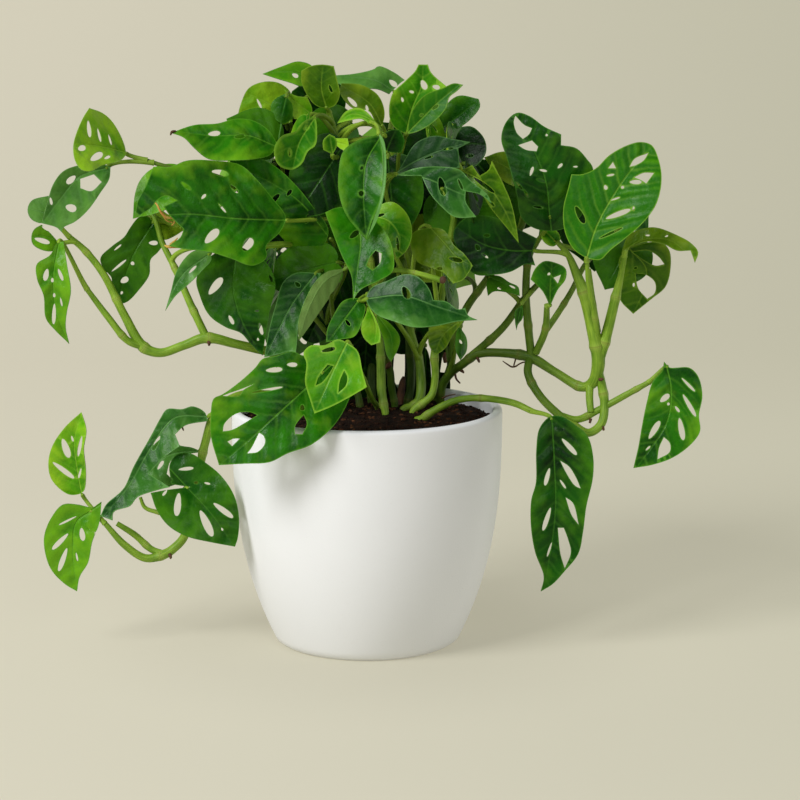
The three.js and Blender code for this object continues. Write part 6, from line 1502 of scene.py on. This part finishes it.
def lines_mesh(lines):
    """Bare lines for the skin tree: each line is its places in mm, its radii in mm, its age, its swollen
    nodes and its painted shade."""
    mesh = bpy.data.meshes.new("lines")
    points, edges, thickness, ages, rings, painted_shades = [], [], [], [], [], []
    for places, radii, age, ring, shade in lines:
        first = len(points)
        points += [tuple(p * MM) for p in places]
        edges += [(first + k, first + k + 1) for k in range(len(places) - 1)]
        thickness += [r * MM for r in radii]
        ages += [age] * len(places)
        rings += list(ring)
        painted_shades += list(np.broadcast_to(shade, len(places)))
    mesh.from_pydata(points, edges, [])
    for key, values in (("thickness", thickness), ("age", ages), ("ring", rings), ("shade", painted_shades)):
        mesh.attributes.new(key, "FLOAT", "POINT").data.foreach_set("value", values)
    return mesh


# %% Routes and stalks as lines
STALK_ROOT, STALK_TIP = 2.1, 1.15  # mm, radii of a leaf stalk at its stem and at its blade
ELBOW_LENGTH, ELBOW_SWELL = 4.5, 0.35  # mm, of the bend behind a blade
LINE_STEP = 1.6  # mm
ROOT_DEPTH = 14.0  # mm that a rooted stem goes on below its first place
NODE_GAP, NODE_LENGTH = 38.0, 2.2  # mm between two swollen nodes of a stem, and along one
FIRST_NODE = (14, 24)  # mm from the start of a stem, at least and at most


def route_path(name):
    return smooth_through([place(p) for p in ROUTES[name]["points"]], SPAN_STEPS)


def route_painted_shade(name, share):
    """How dark a route is painted with shade at a share of its length. Its painted shades are spread evenly
    along it.
    """
    painted_shades = ROUTES[name]["painted_shades"]
    return np.interp(share, np.linspace(0, 1, len(painted_shades)), painted_shades)


def route_line(name):
    """A route as the skin tree's line, with a swollen node now and then."""
    entry = ROUTES[name]
    rng = random.Random(name)
    places = [np.array(place(p)) for p in entry["points"]]
    radii = [p[3] for p in entry["points"]]
    if entry["rooted"]:
        places.insert(0, places[0] - (0, 0, ROOT_DEPTH))
        radii.insert(0, radii[0])
    curve = smooth_through(places, SPAN_STEPS)
    thick = np.interp(np.arange(len(curve)) / SPAN_STEPS, np.arange(len(radii)), radii)
    line = evenly(np.column_stack([curve, thick]), LINE_STEP)
    run = np.concatenate([[0], np.cumsum(np.linalg.norm(np.diff(line[:, :3], axis=0), axis=1))])
    ring = np.zeros(len(line))
    at = rng.uniform(*FIRST_NODE)
    while at < run[-1] - 8:
        ring = np.maximum(ring, np.exp(-(((run - at) / NODE_LENGTH) ** 2)))
        at += NODE_GAP * rng.uniform(0.8, 1.2)
    return line[:, :3], line[:, 3] * (0.95 + 0.15 * ring), 1.0, ring, route_painted_shade(name, run / run[-1])


def stalk_line(leaf):
    """A leaf's stalk as a line: one bend from its stem to the notch of its blade."""
    path = route_path(leaf["route"])
    at = leaf["share"] * (len(path) - 1)
    low = min(int(at), len(path) - 2)
    start = path[low] + (path[low + 1] - path[low]) * (at - low)
    tangent = unit(path[low + 1] - path[low])
    surface = BladeSurface(leaf)
    leave = unit(unit(surface.base - start) + tangent)
    arrive = unit(surface.along * 0.75 + surface.up * 0.65)
    end = surface.base + arrive * 0.4
    span = np.linalg.norm(end - start)
    b1, b2 = start + leave * 0.3 * span, end - arrive * 0.35 * span
    t = np.linspace(0, 1, max(8, round(span / LINE_STEP)))[:, None]
    line = start * (1 - t) ** 3 + 3 * b1 * t * (1 - t) ** 2 + 3 * b2 * t * t * (1 - t) + end * t ** 3
    share = t[:, 0]
    elbow = np.exp(-(((1 - share) * span / ELBOW_LENGTH) ** 2))
    radii = STALK_ROOT + (STALK_TIP - STALK_ROOT) * np.sqrt(share) + ELBOW_SWELL * elbow
    radii[-1] *= 0.6
    # painted shade: a stalk is as dark as its stem there, or darker where its blade stands in shadow
    shade = max(route_painted_shade(leaf["route"], leaf["share"]) * 0.7, -0.4 * leaf["tone"])
    return line, radii, 0.0, np.zeros(len(line)), shade


# %% [markdown]
# ## The finish of a stem
# Young stalks are a light yellowish green. Older stems are fuller green with fine streaks along them, and a
# pale, slightly swollen node with a brown line marks each place where a leaf once sat. Stems deep inside the
# plant, and the stalks of blades in shadow, are painted darker with the shade that falls on them.

# %% Stem finish
STEM_LIGHT, STEM_DEEP, STEM_PAINTED_SHADE = colour(150, 184, 54), colour(82, 126, 14), colour(28, 58, 5)
STEM_NODE, STEM_SCAR = colour(166, 190, 80), colour(112, 98, 40)


def stem_finish():
    f = Finish("stem_green")
    run, around, age, ring, shade = (f.written(key) for key in ("run", "around", "age", "ring", "shade"))
    turn = around * (2 * math.pi)
    wrap = f.node("ShaderNodeCombineXYZ", None, 0,
                  X=run * 40.0, Y=turn.math("COSINE") * 1.4, Z=turn.math("SINE") * 1.4)
    streak = f.cloudy(3.0, 4.0, wrap)
    mottle = f.cloudy(60.0, 3.0)
    fleck = f.cloudy(900.0, 2.0)
    share = ((streak - 0.5) * 1.6 + (mottle - 0.5) * 1.4 + age * 0.25 + 0.25).clamped()
    body = f.mixed(share, STEM_LIGHT, STEM_DEEP)
    body = f.mixed(ring * 0.45, body, STEM_NODE)
    # painted shade: a stem in the shade of the plant is darkened towards a deep green
    body = f.mixed(shade * 0.9, body, STEM_PAINTED_SHADE)
    scar = (ring - 0.86).math("ABSOLUTE").fades(0.0, 0.09) * streak
    body = f.mixed(scar * 0.8, body, STEM_SCAR)
    return f.wear(
        Base_Color=body,
        Roughness=0.42 + streak * 0.15,
        Normal=f.bumped(streak * 0.6 + fleck * 0.15 - scar * 0.5, 0.0004),
        Specular_IOR_Level=0.3,
    )


STEM = stem_finish()

# %% Stems with their stalks
for node in sorted({entry["node"] for entry in ROUTES.values()}):
    lines = [route_line(name) for name, entry in ROUTES.items() if entry["node"] == node]
    lines += [stalk_line(item) for item in LEAVES if ROUTES[item["route"]]["node"] == node]
    mesh = grown("canes_" + node, lines_mesh(lines), SKIN, {"Sides": STEM_SIDES, "Finish": STEM})
    add_piece(mesh.name, mesh, "stem", node)
    print(node, len(lines), "lines", len(mesh.polygons), "faces")

# %% [markdown]
# ## Roots, nubs and dry bits
# A stem that looks for a hold grows thin brown roots in the air, and keeps dark nubs where others broke off.
# A sheath and a leaf tip dry to yellow and orange. They are lines as the stems are, so the skin tree makes
# them too, with a rough brown finish in place of the green.

# %% Roots and dry bits as lines
ROOTS = [  # places on the board with a radius in mm
    [(90, 188.5, 16, 0.3), (93, 186.4, 15, 0.5), (96, 184.6, 14, 0.6), (98.5, 184.8, 13, 0.6),
     (101, 186.4, 12, 0.5), (103.8, 187.6, 11, 0.5), (106.5, 187.6, 10, 0.4)],
    [(99.6, 194, 13, 0.8), (98.8, 190.5, 12.5, 0.6), (97.4, 185.2, 12.5, 0.5)],
    [(52, 188, 57, 1.4), (51.4, 191.5, 54, 1.3), (51.8, 194, 53, 0.7)],
    [(22, 157, 50, 3.0), (22.6, 166, 52, 2.8), (23.6, 174, 53, 2.2), (24.6, 178, 53, 1.0)],
    [(61, 183, 33, 1.2), (63.4, 181.6, 32, 1.1), (64.4, 180.4, 32, 0.6)],
    [(58.6, 179.6, 34, 0.8), (59.4, 176.4, 33, 0.7), (62, 173.4, 32, 0.5)],
    [(50, 163.4, 20, 0.6), (54, 165.2, 18, 0.5), (59, 166.2, 17, 0.3)],
    [(-11, 154.8, 10, 0.5), (-4, 153.2, 8, 0.6), (2, 153.6, 6, 0.6), (8, 152.6, 4, 0.4)],
    [(12.8, 184, 26, 1.4), (14.8, 185.8, 24, 1.9), (15.6, 187.4, 23, 1.0)],
    [(73, 191, 23, 1.0), (74.2, 188.6, 22, 0.9), (74.6, 187.4, 22, 0.5)],
    [(-105, 203, -17, 1.3), (-104.4, 200, -18, 1.1), (-104.6, 198.6, -18, 0.5)],
    [(-133, 57, -24, 1.2), (-132.4, 54.6, -25, 1.0), (-132.6, 53.6, -25, 0.5)],
    [(154.6, 176, -14, 1.2), (156.4, 176.2, -16, 0.9), (157.2, 176.2, -16, 0.4)],
    [(149, 149.6, -17, 1.1), (148.4, 146.6, -18, 0.8)],
    [(157, 144.6, -18, 1.1), (157.8, 141.6, -18, 0.7)],
    [(49, 243, -57, 1.7), (50.6, 242.4, -59, 2.6), (52, 241.8, -59, 1.2)],
    [(-123.6, 145, -9, 0.9), (-122.2, 141.4, -9, 0.4)],
    [(-124, 340, -26, 0.7), (-126.4, 339.6, -27, 0.9), (-127.6, 337.4, -27, 0.4)],
]
DRY = [
    [(-139, 294, -44, 0.5), (-137, 292, -47, 0.6), (-135.4, 288.6, -48, 0.7), (-133, 285.4, -48, 0.9),
     (-130, 283.6, -48, 0.8), (-127.4, 283.4, -48, 0.6), (-125.6, 281.4, -47, 0.6),
     (-127.6, 278.4, -46, 0.4)],
    [(-133, 284.8, -48, 0.6), (-130.6, 281.6, -47, 0.5), (-127, 280.6, -46, 0.4)],
    [(-123, 264.6, -50, 1.0), (-127, 265, -51, 1.4), (-130.4, 264.6, -51, 1.0), (-132.6, 265.4, -50, 0.5)],
    [(-129, 266, -51, 0.8), (-125.6, 268.6, -50, 0.6), (-124, 270.4, -50, 0.3)],
]


def dry_finish(name, dark, light):
    f = Finish(name)
    streak, fleck = f.cloudy(160.0, 4.0), f.cloudy(900.0, 3.0)
    share = ((streak - 0.5) * 2.0 + (fleck - 0.5) + 0.5).clamped()
    return f.wear(
        Base_Color=f.mixed(share, colour(*dark), colour(*light)),
        Roughness=0.6 + fleck * 0.3,
        Normal=f.bumped(streak + fleck * 0.6, 0.0005),
    )


for name, lines, look in (
    ("air_roots", ROOTS, dry_finish("root_brown", (46, 24, 12), (104, 68, 34))),
    ("dry_bits", DRY, dry_finish("dry_sheath", (176, 112, 40), (206, 178, 84))),
):
    skinned = []
    for line in lines:
        places = smooth_through([np.append(np.array(place(p)), p[3]) for p in line], 6)
        skinned.append((places[:, :3], places[:, 3], 1.0, np.zeros(len(places)), 0.0))
    mesh = grown(name, lines_mesh(skinned), SKIN, {"Sides": THIN_SIDES, "Finish": look})
    add_piece(name, mesh, "stem")
    print(name, len(lines), "lines", len(mesh.polygons), "faces")

# %% [markdown]
# ## The pot
# The pot is cast white ceramic with a matte glaze. Its wall is a plain curve that closes in towards the
# foot, and its lip is rounded. A pot is turned on a wheel, so the piece is a profile turned round its axis.

# %% Pot profile
RIM_RADIUS, POT_HEIGHT, POT_TAPER, POT_TAPER_POWER = 90.0, 158.0, 29.0, 2.75
POT_WALL, POT_FLOOR, FOOT_RADIUS, LIP_ROUND = 6.2, 9.0, 60.0, 2.6
POT_TURNS = 144


def pot_radius(z):
    """The outside radius at a height, both in mm."""
    return RIM_RADIUS - POT_TAPER * (1 - z / POT_HEIGHT) ** POT_TAPER_POWER


def quarter(centre, radius, first, last, steps=5):
    """Points of an arc, in degrees from outwards to upwards."""
    turns = [math.radians(first + (last - first) * k / steps) for k in range(steps + 1)]
    return [(centre[0] + radius * math.cos(t), centre[1] + radius * math.sin(t)) for t in turns]


# The profile's points are a radius and a height in mm, from the middle of the foot round to the inner floor.
foot = [(0.0, 1.2), (FOOT_RADIUS - 6, 1.2), (FOOT_RADIUS - 5, 0.2), (FOOT_RADIUS - 1.2, 0.0)]
outside = [(pot_radius(z), z) for z in np.linspace(2.2, POT_HEIGHT - LIP_ROUND, 40)]
lip = quarter((RIM_RADIUS - LIP_ROUND, POT_HEIGHT - LIP_ROUND), LIP_ROUND, 0, 90)
lip += quarter((RIM_RADIUS - POT_WALL + LIP_ROUND, POT_HEIGHT - LIP_ROUND), LIP_ROUND, 90, 180)
inside = [(pot_radius(z) - POT_WALL, z) for z in np.linspace(POT_HEIGHT - LIP_ROUND - 3, POT_FLOOR + 6, 24)]
floor = [(pot_radius(POT_FLOOR) - POT_WALL - 5, POT_FLOOR), (0.0, POT_FLOOR)]
profile = foot + outside[:-1] + lip + inside + floor


def turned(name, profile, turns):
    """A closed body turned round the upright axis. The profile starts and ends on the axis."""
    points = [(0, 0, profile[0][1] * MM), (0, 0, profile[-1][1] * MM)]
    faces = []
    ringed = profile[1:-1]
    for radius, z in ringed:
        for k in range(turns):
            turn = 2 * math.pi * k / turns
            points.append((radius * math.cos(turn) * MM, radius * math.sin(turn) * MM, z * MM))
    for k in range(turns):
        nxt = (k + 1) % turns
        last = 2 + (len(ringed) - 1) * turns
        faces.append((0, 2 + nxt, 2 + k))
        faces.append((1, last + k, last + nxt))
        for row in range(len(ringed) - 1):
            a, b = 2 + row * turns + k, 2 + row * turns + nxt
            faces.append((a, b, b + turns, a + turns))
    mesh = bpy.data.meshes.new(name)
    mesh.from_pydata(points, [], faces)
    mesh.shade_smooth()
    return mesh


pot_mesh = turned("pot_body", profile, POT_TURNS)
print("pot profile:", len(profile), "points")

# %% Ceramic finish
def ceramic_finish():
    f = Finish("white_ceramic")
    cloud = f.cloudy(14.0, 3.0)
    speck = f.cloudy(900.0, 2.0)
    pits = f.node("ShaderNodeTexVoronoi", None, "Distance", Vector=f.here(), Scale=260.0).fades(0.0, 0.12)
    tint = f.mixed(cloud, colour(240, 241, 243), colour(234, 235, 237))
    tint = f.mixed(pits * 0.25, tint, colour(214, 208, 198))
    return f.wear(
        Base_Color=tint,
        Roughness=0.5 + cloud * 0.14,
        Normal=f.bumped(speck * 0.25 + cloud * 1.2 - pits * 0.3, 0.0003),
        Specular_IOR_Level=0.4,
    )


pot_mesh.materials.append(ceramic_finish())
add_piece("pot_body", pot_mesh, "pot", "pot")
print("pot:", len(pot_mesh.polygons), "faces")

# %% [markdown]
# ## The soil
# The potting soil is dark, crumbly peat with bits of bark. A smooth disc would look like paint, so the top is
# a rough mound, and a Geometry Nodes tree scatters crumbs of a few faces each over it, turned and sized by a
# fixed seed.

# %% Soil mound
SOIL_LEVEL, SOIL_MOUND, SOIL_SIDE = 149.0, 3.0, 12.0  # mm
SOIL_RINGS, SOIL_SPOKES = 44, 128


def soil_height(x, y):
    """mm above the pot's base, for a place in mm."""
    out = math.hypot(x, y) / (RIM_RADIUS - POT_WALL)
    lumps = noise.noise(Vector((x / 9, y / 9, 0.3))) * 1.5
    lumps += noise.noise(Vector((x / 3.1, y / 3.1, 5.1))) * 0.7
    return SOIL_LEVEL + SOIL_MOUND * (1 - out * out) + math.sin(9 * out) * 0.8 + lumps


def soil_mesh():
    """The mound as rings of points round its middle, closed below at the depth SOIL_SIDE."""
    base = SOIL_LEVEL - SOIL_SIDE
    edge, base_edge = pot_radius(SOIL_LEVEL) - POT_WALL - 0.15, pot_radius(base) - POT_WALL - 1.0
    points = [(0, 0, soil_height(0, 0) * MM)]
    for ring in range(1, SOIL_RINGS + 2):
        radius = edge * ring / SOIL_RINGS if ring <= SOIL_RINGS else base_edge
        for k in range(SOIL_SPOKES):
            turn = 2 * math.pi * k / SOIL_SPOKES
            x, y = radius * math.cos(turn), radius * math.sin(turn)
            points.append((x * MM, y * MM, (soil_height(x, y) if ring <= SOIL_RINGS else base) * MM))
    points.append((0, 0, base * MM))
    faces = []
    for k in range(SOIL_SPOKES):
        nxt = (k + 1) % SOIL_SPOKES
        faces.append((0, 1 + k, 1 + nxt))
        for ring in range(SOIL_RINGS):
            a, b = 1 + ring * SOIL_SPOKES + k, 1 + ring * SOIL_SPOKES + nxt
            faces.append((a, a + SOIL_SPOKES, b + SOIL_SPOKES, b))
        low = 1 + SOIL_RINGS * SOIL_SPOKES
        faces.append((low + k, len(points) - 1, low + nxt))
    mesh = bpy.data.meshes.new("soil_bed")
    mesh.from_pydata(points, [], faces)
    mesh.shade_smooth()
    return mesh


def soil_finish(name, dark, light):
    f = Finish(name)
    coarse, fine = f.cloudy(180.0, 5.0), f.cloudy(900.0, 4.0)
    share = ((coarse - 0.5) * 2.2 + (fine - 0.5) * 1.2 + 0.35).clamped()
    return f.wear(
        Base_Color=f.mixed(share, colour(*dark), colour(*light)),
        Roughness=0.85 + fine * 0.1,
        Normal=f.bumped(coarse * 1.2 + fine * 0.7, 0.0012),
        Specular_IOR_Level=0.12,
    )


bed = soil_mesh()
bed.materials.append(soil_finish("peat", (18, 10, 7), (48, 30, 20)))
add_piece("soil_bed", bed, "soil", "soil")
print("soil bed:", len(bed.polygons), "faces")

# %% Crumb tree
def crumb_tree():
    """Scatters crumbs over a surface: squashed, turned and sized balls of 20 faces."""
    tree, given = empty_tree("scatter_crumbs", "Crumbs", {
        "Ground": "Geometry", "Crumbs per square metre": "Float", "Smallest": "Float", "Largest": "Float",
        "Seed": "Int", "Finish": "Material",
    })

    def drawn(output, kind, low, high):
        """A random value for each crumb, between low and high."""
        return add_node(tree, "FunctionNodeRandomValue", output, low | high | {"Seed": given["Seed"]},
                        data_type=kind)

    spread = add_node(tree, "GeometryNodeDistributePointsOnFaces", "Points", {
        "Mesh": given["Ground"], "Density": given["Crumbs per square metre"], "Seed": given["Seed"],
    })
    ball = add_node(tree, "GeometryNodeMeshIcoSphere", "Mesh", {"Subdivisions": 1, "Radius": 1.0})
    flat = drawn("Value", "FLOAT_VECTOR", {"Min": (0.5, 0.35, 0.25)}, {"Max": (1.3, 0.8, 0.55)})
    turn = drawn("Value", "FLOAT_VECTOR", {"Min": (-0.6, -0.6, 0.0)}, {"Max": (0.6, 0.6, 6.28)})
    size = drawn(1, "FLOAT", {2: given["Smallest"]}, {3: given["Largest"]})
    scale = add_node(tree, "ShaderNodeVectorMath", "Vector", {"Vector": flat, "Scale": size},
                     operation="SCALE")
    put = add_node(tree, "GeometryNodeInstanceOnPoints", "Instances",
                   {"Points": spread, "Instance": ball, "Rotation": turn, "Scale": scale})
    finish_tree(tree, put, given["Finish"], "Crumbs")
    return tree


def top_of(mesh):
    """A copy of the bed that has its upper faces alone."""
    made = bpy.data.meshes.new("ground")
    upper = [tuple(p.vertices) for p in mesh.polygons if p.normal.z > 0.3]
    made.from_pydata([tuple(v.co) for v in mesh.vertices], [], upper)
    return made


CRUMBS = crumb_tree()
for name, look, low, high, number, seed in (
    ("soil_crumbs", soil_finish("dark_crumbs", (22, 12, 8), (64, 40, 26)), 0.6, 2.2, 90000.0, 4),
    ("bark_chips", soil_finish("bark", (60, 34, 20), (112, 74, 46)), 1.0, 3.0, 9000.0, 9),
):
    mesh = grown(name, top_of(bed), CRUMBS, {
        "Crumbs per square metre": number, "Smallest": low * MM, "Largest": high * MM, "Seed": seed,
        "Finish": look,
    })
    add_piece(name, mesh, "soil")
    print(name, len(mesh.polygons), "faces")
